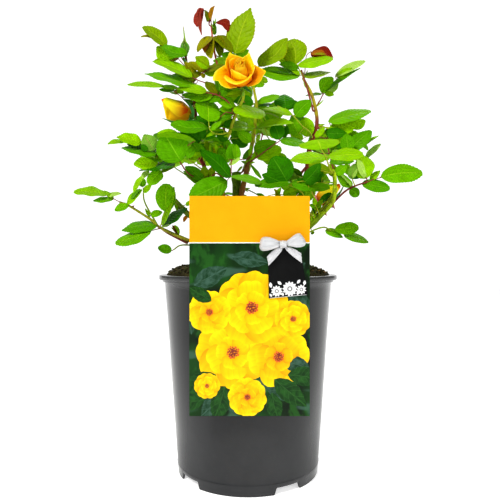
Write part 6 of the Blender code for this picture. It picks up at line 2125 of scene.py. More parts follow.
spray("cane_left_stub", (186, 206), [(186.4, 204.6, 8)], [
    lf(186.4, 206, 189.6, 200.4, 4, "light", 0, 20, 0.2, flip=False),
    lf(187.4, 215.4, 183.6, 222.2, 4, "bronze", -2, 20, 0.2, flip=False),
    lf(178.6, 211, 174, 203.5, 4, "fresh", -8, 20, 0.2, flip=False)], "green", 0.6, 0.4)

# ---- low right ---------------------------------------------------------------------------------
spray("twig_low_right", (330, 230.4), [(335, 230, -34), (343.4, 233.6, -35)], [
    lf(334.4, 229.8, 358.8, 227.6, 12, "mid", -4, 8, 0.2, flip=False, tip=-1.0),
    lf(343.6, 234.6, 368.6, 242.4, 9.0, "mid", -4, 12, 0.2, flip=False, tip=-0.5),
    lf(325.0, 230.6, 343, 237.4, 8.4, "mid", 2, 14, 0.2, flip=False)], "green", 0.6, 0.4)
spray("cane_right_thick", (311.5, 228), [(311.6, 230, -22)], [
    lf(311.0, 234.0, 314.5, 231.8, 3, "light", -2, 14, 0.3)], "green", 0.5, 0.4)
spray("cane_right_thick", (313.5, 223.5), [(314.6, 216, -22), (318, 207.6, -24), (325, 199.6, -28)], [
    lf(318, 207.2, 331.8, 193.6, 5.5, "dark", -6, 20, 0.2, fold=0.4, lift=-4, flip=False, tip=-1.0),
    lf(316, 211, 313.2, 198.4, 4.5, "light", -2, 20, 0.3, flip=False),
    lf(315.6, 214, 311.8, 205, 4, "deep", 0, 20, 0.3, flip=False),
    lf(316.6, 212, 321.6, 204, 4, "fresh", 0, 20, 0.3, flip=False)], "lime", 1.7, 0.9)
spray("cane_right_thick", (312, 226), [(314.4, 219.5, -26), (319, 213.5, -30), (326.4, 203.6, -34), (332.6, 194.4, -36)],
      [], "lime", 2.3, 1.7, None)
spray("cane_right_thick", (320, 216), [(318.6, 212, -36), (314.6, 204, -38)], [
    lf(315.6, 205.6, 313.6, 197.4, 5, "fresh", -2, 16, 0.3, flip=False),
    lf(317, 209, 323, 199.5, 5, "light", -2, 16, 0.3, flip=False),
    lf(316, 207.6, 308.8, 204.5, 4, "mid", -2, 16, 0.3, flip=False)], "lime", 0.7, 0.5, None)


# =============================================================================
# the leaf masses that no single leaf of which is seen: a branching rule
# =============================================================================
# Places in the frame where the sky shows through: x, y and half sizes.
SKY = [(249, 96, 4, 5), (257, 88, 4, 4), (280, 118, 9, 5), (243, 170, 5, 6), (199, 84, 8, 4.5), (206, 78.5, 11, 3), (183, 165, 7, 4), (197, 162, 7, 5), (256, 169, 9, 9),
       (252, 190, 11, 6), (237, 168, 7, 6), (300, 168, 7, 8), (290, 152, 10, 5), (246, 153, 5, 6),
       (270, 136, 8, 4), (322, 136, 5, 4), (286, 88, 24, 6), (342, 101, 26, 9), (323, 114, 6, 12),
       (230, 118, 4, 3), (212, 129, 6, 4), (282, 191, 9, 5), (360, 184, 8, 5), (180, 131, 5, 3),
       (168, 110, 12, 9), (150, 100, 22, 22), (176, 192, 14, 16), (200, 66, 5, 9), (345, 85, 16, 8),
       (246, 20, 30, 12), (238, 98, 6, 2), (264, 104, 8, 2.5), (281, 117.5, 11, 4.5), (263, 136.5, 6, 4),
       (243, 152, 5, 7), (244, 121.5, 8, 4.5), (276, 63.5, 7, 4), (301, 143, 6, 5), (253, 196, 14, 6)]


def in_sky(point):
    px, py = seen(point)
    if py < 55 or px < 130 or px > 372:
        return True
    return any(((px - x) / a) ** 2 + ((py - y) / b) ** 2 < 1.0 for x, y, a, b in SKY)


def grow(node, limb_names, count, tints, seed, size=(24, 34), free=False, pairs=2, low=0.35,
         behind=None):
    """Compound leaves from limbs into a mass of the frame: each has a stalk
    that bows out of a node of the limb, a terminal leaflet and one to three
    pairs set back along it, faces turned up and outward. Nothing of them
    stands nearer the eye than behind."""
    lo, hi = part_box(node)
    behind = -1.0 if behind is None else behind * MM
    mid, half = (lo + hi) / 2, (hi - lo) / 2
    rng = random.Random(seed)
    for k in range(count):
        for attempt in range(14):
            d = Vector((rng.gauss(0, 1), rng.gauss(0, 1), rng.gauss(0, 1))).normalized()
            goal = mid + Vector((half.x * d.x, half.y * d.y, half.z * d.z)) * rng.uniform(0.15, 0.80)
            goal.y = max(goal.y, behind + 0.008)
            name = rng.choice(limb_names)
            pts, radii = LIMBS[name]
            first = int(len(pts) * low)
            i = min(range(first, len(pts)), key=lambda j: (pts[j] - goal).length + rng.uniform(0, 0.02))
            start = pts[i]
            axis = (pts[min(i + 1, len(pts) - 1)] - pts[i - 1]).normalized()
            reach = goal - start
            if reach.length < 0.016:
                continue
            if free or not in_sky(goal):
                break
        else:
            continue
        side = reach - axis * reach.dot(axis)
        side = side.normalized() if side.length > 1e-5 else axis.orthogonal()
        bow = start + side * (radii[i] + 0.002) + axis * 0.002
        mid_way = start.lerp(goal, 0.5) + Vector((0, 0, reach.length * 0.12))
        kind = rng.choice(("green", "green", "red", "lime"))
        path = stalk(kind, [start + side * radii[i] * 0.3, bow, mid_way, goal], 0.85 * MM, 0.5 * MM)
        stipules("fresh", path, radii[i], rng)
        tint = rng.choice(tints)
        away = (path[-1] - path[-4]).normalized()
        up = (Vector((0, 0, 1.0)) + Vector((goal.x, goal.y, 0)).normalized() * rng.uniform(0.1, 0.7)
              + Vector((rng.uniform(-.3, .3), rng.uniform(-.3, .3), 0))).normalized()
        set_leaves = [(path[-1], away, 1.0)]
        for q in range(rng.choice((pairs, pairs, pairs + 1))):
            at = len(path) - 1 - int((0.20 + 0.26 * q) * len(path))
            if at < 4:
                break
            on = path[at]
            run = (path[min(at + 1, len(path) - 1)] - path[at - 1]).normalized()
            flat = run.cross(up).normalized()
            for sgn in (-1, 1):
                set_leaves.append((on, (run * rng.uniform(0.30, 0.7) + flat * sgn).normalized(), 0.9 - 0.10 * q))
        for on, way, scale in set_leaves:
            long = rng.uniform(*size) * MM * scale
            way = (way + Vector((0, 0, rng.uniform(-0.25, 0.10)))).normalized()
            base = on + way * rng.uniform(0.0012, 0.0030)
            tip = base + way * long
            if min(base.y, tip.y) < behind:
                continue
            if not free and (in_sky(tip) or in_sky(base + way * long * 0.5)):
                continue
            if abs(tip.x) > 0.180 or tip.y > 0.1395 or tip.z > 0.490 or math.hypot(tip.x, tip.y) > 0.186:
                continue
            if tip.z < 0.236 and math.hypot(tip.x, tip.y) < 0.10:
                continue
            stalk(kind, [on, base + way * 0.001], 0.42 * MM, 0.36 * MM, 6, 0.0012)
            put_leaf(tint, base, way, up + Vector((rng.uniform(-.25, .25), rng.uniform(-.25, .25), 0)),
                     long, long * rng.uniform(0.60, 0.76), rng, 23, 7)


# the masses behind the rose, low at the back and deep on the left and lower right take mostly dark and deep tints,
# partly painted shade for the inside of the plant
grow("foliage_back_left", ["cane_back_left"], 8, ("mid", "deep", "fresh"), 41, free=True)
grow("foliage_back_right", ["cane_back_right"], 8, ("deep", "dark", "mid"), 42, free=True)
grow("foliage_back_middle", ["cane_back_middle"], 7, ("mid", "deep"), 43, free=True)
grow("foliage_back_top", ["cane_centre", "shoot_red"], 4, ("mid", "fresh"), 44)
grow("foliage_back_low", ["cane_back_middle", "cane_back_right", "cane_back_left"], 7, ("dark", "deep"), 45,
     free=True, low=0.05)
grow("foliage_middle_left", ["cane_back_left", "cane_left_tall"], 5, ("dark", "deep"), 46)
grow("foliage_middle_right", ["cane_back_right", "cane_right_tall"], 5, ("light", "mid"), 47)
grow("foliage_middle_low", ["cane_right_tall", "cane_back_right"], 4, ("mid", "deep"), 48)
grow("foliage_behind_rose", ["cane_centre", "cane_right_tall"], 3, ("dark", "deep"), 49, (20, 28), behind=14)
grow("foliage_centre_middle", ["cane_centre", "cane_old_wood"], 4, ("mid", "deep"), 50, (20, 28), behind=22)
grow("foliage_right_low", ["cane_right_tall", "cane_right_inner"], 3, ("dark", "deep"), 51, (20, 28), behind=26)
grow("foliage_right_upper", ["cane_right_tall"], 3, ("mid", "deep"), 52, (22, 30), behind=34)

# =============================================================================
# blooms
# =============================================================================
# gold is the petals' own colour. amber and bud_amber are deeper copies for petals that lie under or behind others,
# partly their own deeper colour and partly painted shade; shade is a darker copy for the right outer petal's shaded
# side, painted shade.
PETAL_LOOKS = {
    "gold": petal_material("petal_gold", srgb(240, 104, 0), srgb(255, 186, 0), srgb(255, 226, 60), srgb(255, 186, 0)),
    "amber": petal_material("petal_amber", srgb(226, 84, 0), srgb(246, 154, 0), srgb(255, 206, 40), srgb(244, 148, 0)),
    "heart": petal_material("petal_heart", srgb(226, 84, 0), srgb(252, 160, 0), srgb(255, 206, 40), srgb(250, 150, 0)),
    "shade": petal_material("petal_shade", srgb(168, 74, 0), srgb(232, 150, 0), srgb(255, 200, 20), srgb(236, 150, 0)),
    "clear": petal_material("petal_clear", srgb(236, 140, 0), srgb(255, 212, 6), srgb(255, 240, 96), srgb(255, 210, 0)),
    "bud_clear": petal_material("petal_bud_clear", srgb(206, 74, 4), srgb(250, 228, 26), srgb(252, 234, 50),
                                srgb(240, 204, 10), srgb(240, 108, 10), 0.16),
    "bud_amber": petal_material("petal_bud_amber", srgb(206, 138, 0), srgb(240, 192, 2), srgb(250, 214, 42),
                                srgb(222, 160, 0), srgb(236, 130, 10), 0.10),
}
SEPAL_GREEN = sepal_material("sepal_green_look", srgb(52, 124, 44), srgb(140, 176, 110), srgb(96, 130, 60))
SEPAL_RED = sepal_material("sepal_red_look", srgb(116, 22, 30), srgb(130, 70, 56), srgb(140, 40, 50))
SEPAL_PINK = sepal_material("sepal_pink_look", srgb(220, 130, 130), srgb(190, 200, 140), srgb(200, 60, 90))


class Flower:
    """A frame for one bloom: its axis, the side that is right and the side
    that is away from the eye, with everything measured in millimetres."""

    def __init__(self, base, axis, node):
        self.base = Vector(base) * MM
        self.z = Vector(axis).normalized()
        self.x = Vector((1, 0, 0))
        self.x = (self.x - self.z * self.x.dot(self.z)).normalized()
        self.y = self.z.cross(self.x)
        self.node = node

    def at(self, x, y, z):
        return self.base + (self.x * x + self.y * y + self.z * z) * MM


def petal(builds, flower, look, az, path, width, lip=0.18, point=0.0, flat=0.2, spiral=0.0,
          sides=0.0, ripple=0.25, seed=0, side_right=None, n=24, m=19, thick=0.42, lean=0.0):
    """One petal: path gives its middle line as (distance from the axis, height),
    width its half width; lip rounds it, point draws its tip out, flat opens its
    curve, spiral winds one edge inside the next petal and sides rolls its two
    edges back."""
    rng = random.Random(seed)
    line = curve_through([Vector((r, 0, z)) for r, z in path], 0.35)
    steps = [0.0]
    for a, b in zip(line, line[1:]):
        steps.append(steps[-1] + (b - a).length)
    steps = np.array(steps) / steps[-1]
    lr = np.array([p.x for p in line])
    lz = np.array([p.z for p in line])
    grid = np.zeros((n, m, 3))
    az = math.radians(az)
    right = sides if side_right is None else side_right
    ph = rng.uniform(0, 6.28)
    for i in range(n):
        v = i / (n - 1)
        for j in range(m):
            s = -1 + 2 * j / (m - 1)
            reach = 1.0 - lip * abs(s) ** 2.4 + point * math.exp(-(s / 0.16) ** 2) + lean * s
            vv = min(1.0, max(0.0, v * reach / (1 + point + abs(lean))))
            r = float(np.interp(vv, steps, lr))
            z = float(np.interp(vv, steps, lz))
            vb = min(1.0, vv + 0.02)
            va = max(0.0, vv - 0.02)
            tr = float(np.interp(vb, steps, lr) - np.interp(va, steps, lr))
            tz = float(np.interp(vb, steps, lz) - np.interp(va, steps, lz))
            size = math.hypot(tr, tz) or 1.0
            tr, tz = tr / size, tz / size
            w = width * (0.24 + 0.76 * min(1.0, (vv / 0.55)) ** 0.8) * (1 - 0.10 * max(0.0, (vv - 0.7) / 0.3) ** 2)
            rc = max(r, 2.2)
            a = s * w / rc
            a = max(-3.0, min(3.0, a))
            side = (1 - flat) * rc * math.sin(a) + flat * s * w
            inward = (1 - flat) * rc * (1 - math.cos(a))
            r2 = r * (1 + spiral * s)
            edge = sides if s < 0 else right
            back = edge * max(0.0, abs(s) - 0.45) ** 2 * vv * 6.0
            wave = ripple * noise.noise(Vector((s * 2.1 + ph, vv * 2.6, ph))) * vv * 2.0 \
                + ripple * 0.8 * math.sin(5.2 * s + ph) * max(0.0, vv - 0.6)
            off = inward - back + wave
            rr = r2 - tz * off
            zz = z + tr * off
            grid[i, j] = list(flower.at(math.cos(az) * rr - math.sin(az) * side,
                                        math.sin(az) * rr + math.cos(az) * side, zz))
    if look not in builds:
        builds[look] = Build("OFBake")
    shell(builds[look], grid, thick * MM, two_sided)


def draped(builds, look, depth, rows, n=26, m=23, thick=0.42, ripple=0.22, seed=0):
    """One petal laid through rows of places, claw to lip: each is where it is
    seen and how far it stands behind (plus) or before the depth of its bloom."""
    knots = [[list(spot(px, py, depth + d)) for px, py, d in row] for row in rows]
    grid = weave(knots, n, m)
    du = np.gradient(grid, axis=1)
    dv = np.gradient(grid, axis=0)
    nor = np.cross(du, dv)
    nor = nor / np.maximum(np.linalg.norm(nor, axis=2, keepdims=True), 1e-12)
    for i in range(n):
        v = i / (n - 1)
        for j in range(m):
            u = j / (m - 1)
            wave = noise.noise(Vector((u * 3.0 + seed * 1.7, v * 2.2, seed * 0.9)))
            wave += 0.5 * noise.noise(Vector((u * 8.0 + seed, v * 3.0, seed * 2.3))) * v
            grid[i, j] += nor[i, j] * wave * ripple * MM * (0.3 + v)
    if look not in builds:
        builds[look] = Build("OFBake")
    shell(builds[look], grid, thick * MM, two_sided)


def sepal(build, points, width, normal, fold=0.25, rng=None, thick=0.5, tip=0.9):
    """A narrow pointed sepal along a line of points."""
    pts = curve_through(points, 0.0014)
    n = len(pts)
    if n < 5:
        return
    m = 7
    grid = np.zeros((n, m, 3))
    for i, p in enumerate(pts):
        t = i / (n - 1)
        along = (pts[min(i + 1, n - 1)] - pts[max(i - 1, 0)]).normalized()
        up = (normal - along * normal.dot(along)).normalized()
        side = along.cross(up)
        w = width * MM / 2 * (0.55 + 0.45 * math.sin(min(1.0, t / 0.35) * math.pi / 2)) * (1 - t ** 1.6) ** tip
        w = max(w, 0.00022)
        for j in range(m):
            s = -1 + 2 * j / (m - 1)
            grid[i, j] = list(p + side * w * s + up * w * fold * (s * s - 0.4))
    shell(build, grid, thick * MM, two_sided, False, True)


def receptacle(build_stalk, flower, radius, length, down=None):
    """The green hip under the petals, with the neck of the stalk."""
    profile = [(0.35, -length), (0.45, -length * 0.85), (0.85, -length * 0.6), (1.0, -length * 0.32),
               (0.86, -length * 0.06), (0.9, 0.0), (1.15, 0.9 / radius), (0.8, 1.6)]
    verts, faces = [], []
    sides = 20
    for r, z in profile:
        zz = z if z <= 0 else z
        for k in range(sides):
            a = 2 * math.pi * k / sides
            q = flower.at(math.cos(a) * r * radius, math.sin(a) * r * radius, zz)
            verts.append(tuple(q))
    rows = len(profile)
    for i in range(rows - 1):
        for k in range(sides):
            j = (k + 1) % sides
            faces.append([i * sides + k, i * sides + j, (i + 1) * sides + j, (i + 1) * sides + k])
    faces.append([k for k in range(sides)][::-1])
    faces.append([(rows - 1) * sides + k for k in range(sides)])
    build_stalk.add(verts, faces, plain_uvs(verts, faces, 0.02))


def make_open_rose():
    """The open bloom nods to the eye, its heart still wound, the outer petals
    let down on both sides and the front one rolled over."""
    f = Flower((-7.0, -45.0, 397.4), (-0.07, -0.81, 0.59), "rose_open")
    b = {}
    # the wound heart
    heart = [(205, 0.7, 24.6, 4.6, "heart", 3.6), (20, 1.7, 24.6, 7.0, "heart", 4.4), (140, 2.8, 24.4, 8.6, "heart", 5.2),
             (262, 3.9, 23.6, 10.5, "heart", 6.0), (62, 4.9, 24.4, 11.5, "heart", 6.8), (322, 5.5, 22.6, 12.5, "heart", 7.4)]
    for k, (az, top, high, width, look, belly) in enumerate(heart):
        path = [(1.2, 0.5), (belly * 0.75, 3.6), (belly + 0.3, 9.5), (belly * 0.84 + top * 0.20, 16.5),
                (top + 0.35, high - 2.0), (top + 0.2, high - 0.7), (top + 0.75, high + 0.1)]
        petal(b, f, look, az, path, width, lip=0.08, point=0.01, flat=0.0, spiral=-0.10, sides=0.0,
              ripple=0.06, seed=60 + k, thick=0.36)
    back = -50.0
    # the tall pair behind, with drawn-out tips
    draped(b, "gold", back, [
        [(238, 83, 3.5), (239, 82.5, 5), (239.8, 82.2, 5.5), (240.5, 82, 6), (241.3, 82, 6.3), (242, 82, 6.5), (243.5, 82.5, 6.5)],
        [(231, 79, -2.7), (231.3, 74.4, 0.5), (232.8, 72.6, 2), (235, 71.2, 3.7), (238, 70.7, 4.3), (241, 70.5, 4.5), (245, 71, 4.3)],
        [(228, 72, -7.2), (229.0, 65.6, -3.2), (231, 63.4, -2.8), (233.5, 61.8, -2.6), (236.6, 61.4, -1.9), (240, 61.7, -1.1), (244, 63, -1)],
        [(225.8, 68, -8.8), (226.8, 61, -5.8), (228.8, 58.0, -5.6), (231.2, 57.2, -5.6), (234.2, 57.4, -5), (238.6, 58.6, -4.2), (243.8, 60, -3.8)],
        [(224.6, 67, -9), (225.8, 59.8, -6.6), (227.9, 56.0, -7.0), (229.7, 52.3, -7.4), (232.2, 54.0, -6.8), (237, 55.4, -5.9), (243.5, 57.6, -5.3)]], 32, 31, seed=1)
    draped(b, "clear", back, [
        [(241, 82, 6.5), (242.3, 82, 6.5), (242.9, 82.1, 6.2), (243.5, 82.3, 6), (244, 82.7, 5.5), (244.5, 83, 5), (245, 84, 4), (244.5, 85, 3)],
        [(241, 71, 4.5), (244.5, 70.6, 4), (246.4, 70.8, 3.6), (248, 71.5, 3), (249.4, 72.6, 2), (250.5, 74, 1), (250.5, 78, -1), (248.5, 81, -3)],
        [(240.6, 64.5, -1), (244.6, 62.6, -1.5), (246.8, 62.3, -2.2), (248.5, 63.2, -3), (249.8, 65, -3.6), (251, 67.5, -4), (252.2, 72, -4.5), (250.5, 77.5, -6)],
        [(240.5, 61.6, -3), (244.0, 58.8, -4.2), (246.4, 57.6, -4.8), (248.8, 57.4, -5), (250.4, 60, -4.8), (251.8, 63.6, -4.6), (253.4, 69, -6), (251.8, 75.4, -8)],
        [(240.6, 60.4, -4.5), (243.6, 57.0, -6.2), (246.6, 54.8, -7.0), (249.0, 52.2, -7.4), (250.6, 56.0, -6.8), (252.6, 60.6, -6.1), (254.6, 67, -6.8), (252.4, 74, -9.5)]],
        32, 35, seed=2)
    # the one that stands round the heart on the left
    draped(b, "gold", back, [
        [(238.5, 83.5, 3), (239, 83, 4), (239.5, 82.5, 5), (240.5, 82.3, 5.5), (241.5, 82.3, 5.5)],
        [(233.0, 81, -4), (232, 77, -3), (233.5, 72, -1), (237, 69, 1), (241, 69, 2)],
        [(232.3, 77.5, -8), (231.2, 71.5, -7.4), (231.6, 65.6, -6), (235, 61.8, -4.4), (240.5, 61.6, -3.4)],
        [(231.9, 74, -10.7), (229.9, 67, -10.1), (229.2, 61.2, -9.4), (233, 57.8, -8.9), (239.6, 58.4, -7.7)]], seed=3)
    # before the heart
    draped(b, "gold", back, [
        [(238, 85, 3), (239.5, 85.3, 2.5), (241, 85.5, 2), (242.5, 85.3, 2.5), (244, 85, 3)],
        [(232, 79.5, -3.0), (235.5, 82.4, -6.8), (240, 83.4, -8.2), (245, 82.2, -7.4), (248.6, 79, -4.6)],
        [(231.6, 73.5, -8.6), (234.6, 77, -13.2), (239.6, 78.6, -15), (244.6, 79, -14), (248.4, 78, -9)],
        [(231.3, 68.2, -11.1), (234.4, 70.6, -15.0), (239.5, 72.8, -16.4), (244, 75.2, -14.4), (247.2, 76.8, -10.8)]], seed=4)
    # the front one, whose lip rolls over
    draped(b, "gold", back, [
        [(236, 86, 2), (238.5, 86.5, 1), (241, 87, 0), (243.5, 86.5, 1), (246, 86, 2)],
        [(229.6, 80.6, -3.9), (233.5, 84.6, -7.6), (239, 86.2, -8.6), (246, 84.8, -7.4), (251.4, 80.2, -3.9)],
        [(226.4, 77.4, -8.4), (231.4, 81, -13), (238, 83.4, -14.8), (245.8, 80.8, -12.6), (251.6, 75.4, -8.8)],
        [(224.9, 75.2, -9.4), (229.4, 78.2, -13.4), (237.6, 81.8, -15.6), (246, 79.2, -13.2), (251.7, 73.4, -10.3)],
        [(223.7, 77.4, -10.4), (227.8, 82.0, -14.8), (236.8, 84.6, -17.0), (246.4, 81.0, -14.6), (252.4, 74.8, -10.6)]],
        32, 27, ripple=0.15, seed=5)
    # the outer ones, let down
    draped(b, "gold", back, [
        [(240.5, 86.4, 3), (239.5, 86.2, 3), (238.8, 85.8, 3.3), (238.3, 85.4, 3.7), (238, 85, 4), (238, 84.2, 4.5), (238.5, 83.5, 5)],
        [(238, 86, -5.0), (234, 84.6, -5.6), (231, 82, -5.8), (229, 79.4, -4.4), (228, 77, -2.2), (228.5, 73.5, 0), (231, 71, 2.2)],
        [(237, 87.4, -8.8), (230.6, 86.6, -9.4), (225.4, 84, -9.2), (222.4, 81, -8.4), (220.4, 78, -7), (221, 72.4, -4.6), (226.6, 67.6, -2)],
        [(236.5, 86.6, -10.8), (229.0, 88.2, -11.4), (221.6, 85.8, -11.0), (217.8, 80.6, -10.6), (212.8, 80.0, -9.8), (215.2, 71.6, -6.5), (224.6, 64.8, -3.2)]],
        30, 33, ripple=0.25, seed=6)
    draped(b, "shade", back, [
        [(242.5, 83.5, 5), (243.2, 84, 4.8), (243.7, 84.5, 4.5), (244, 85, 4), (243.9, 85.3, 3.7), (243.7, 85.7, 3.4), (243, 86, 3)],
        [(249.4, 72.6, 2), (252.2, 73.8, 1.2), (254.0, 75.6, 0.2), (254, 78, -1.6), (252.6, 80.6, -3.6), (250.0, 83, -5.4), (245.6, 85.4, -5.8)],
        [(252.4, 67.8, -1.4), (256.8, 70.2, -2.8), (260.2, 73, -4.4), (260, 77, -5.4), (258.0, 80.2, -6.6), (254.6, 83.2, -7.6), (247.4, 86.4, -8)],
        [(254.4, 64.6, -3), (259.4, 67.2, -4.4), (265.8, 71.3, -6.6), (263.0, 76.0, -7.2), (261.0, 80.6, -8.0), (256.6, 84.4, -8.6), (247.8, 86.8, -8.8)]],
        30, 33, ripple=0.25, seed=7)
    # the wall of the cup behind the heart, in the deeper amber copy: partly painted shade
    draped(b, "amber", back, [
        [(239, 82.6, 6.5), (240.5, 82.2, 7.5), (242, 82, 8), (243.5, 82.2, 7.8), (245, 82.8, 7)],
        [(234, 75, 4), (237, 72.6, 7), (241, 72, 8.4), (245, 72.6, 8), (248.6, 75, 5.5)],
        [(230.8, 66.5, 0.5), (235, 64.4, 3), (241, 64, 4), (246.6, 65, 3), (250.6, 68, 1)],
        [(229.6, 62.5, -1.5), (234.6, 59.6, 0.6), (241, 60.6, 1.4), (247, 59.4, 0.6), (251.4, 64, -1)]], seed=8)
    for look, build in b.items():
        build.finish("rose_petals_" + look, PETAL_LOOKS[look], "petal_yellow", ("rose_open",) if look == "gold" else ())
    # hip, sepals
    hip = Build()
    receptacle(hip, f, 3.4, 7.0)
    red, green = Build("OFBake"), Build("OFBake")
    sepal(red, [spot(240.6, 86.4, -46), spot(237, 86.6, -52), spot(233, 88.0, -57), spot(228.6, 89.6, -59)],
          4.0, Vector((0, -1, -0.2)), 0.3)
    for az, long, droop in ((320, 15, 4.5), (40, 19, 2.0), (110, 20, 2.0), (176, 15, 5.0)):
        a = math.radians(az)
        pts = []
        for t in (0.0, 0.25, 0.5, 0.75, 1.0):
            r = 2.6 + long * t * (0.90 - 0.15 * t)
            z = -0.6 - 1.6 * math.sin(math.pi * min(1.0, t * 1.3)) - droop * t * t * 1.3 + (1.0 * t)
            pts.append(f.at(math.cos(a) * r, math.sin(a) * r, z))
        sepal(green, pts, 4.6, f.z, 0.3)
    red.finish("rose_sepal_red", SEPAL_RED, "sepal_green")
    green.finish("rose_sepals", SEPAL_GREEN, "sepal_green")
    # the stalk up to the hip
    top = LIMBS["cane_rose"][0][-1]
    end = f.at(0, 0, -6.4)
    line = curve_through([top - Vector((0, 0, 0.004)), top, top.lerp(end, 0.5) + Vector((0, 0.0006, 0)), end], 0.0012)
    tube(hip, line, [0.0013] * len(line), 14)
    return hip


def bud_body(look_list, builds, f, long, wide, seed):
    """Petals wound round a pointed bud, one laid over the next."""
    w = wide / 2.0
    for k, (az, look, reach, lean) in enumerate(look_list):
        g = 0.86 + 0.04 * k
        path = [(1.4, 0.2), (w * 0.72 * g, long * 0.07), (w * 0.99 * g, long * 0.24), (w * 0.92 * g, long * 0.48),
                (w * 0.62 * g, long * 0.72 * reach), (w * (0.26 + 0.03 * k) * g, long * 0.90 * reach),
                (w * (0.08 + 0.04 * k) * g, long * reach)]
        petal(builds, f, look, az, path, w * (1.9 if k == 0 else 1.35), lip=0.22, point=0.02, flat=0.0, spiral=-0.06,
              ripple=0.08, seed=seed + k, lean=lean)


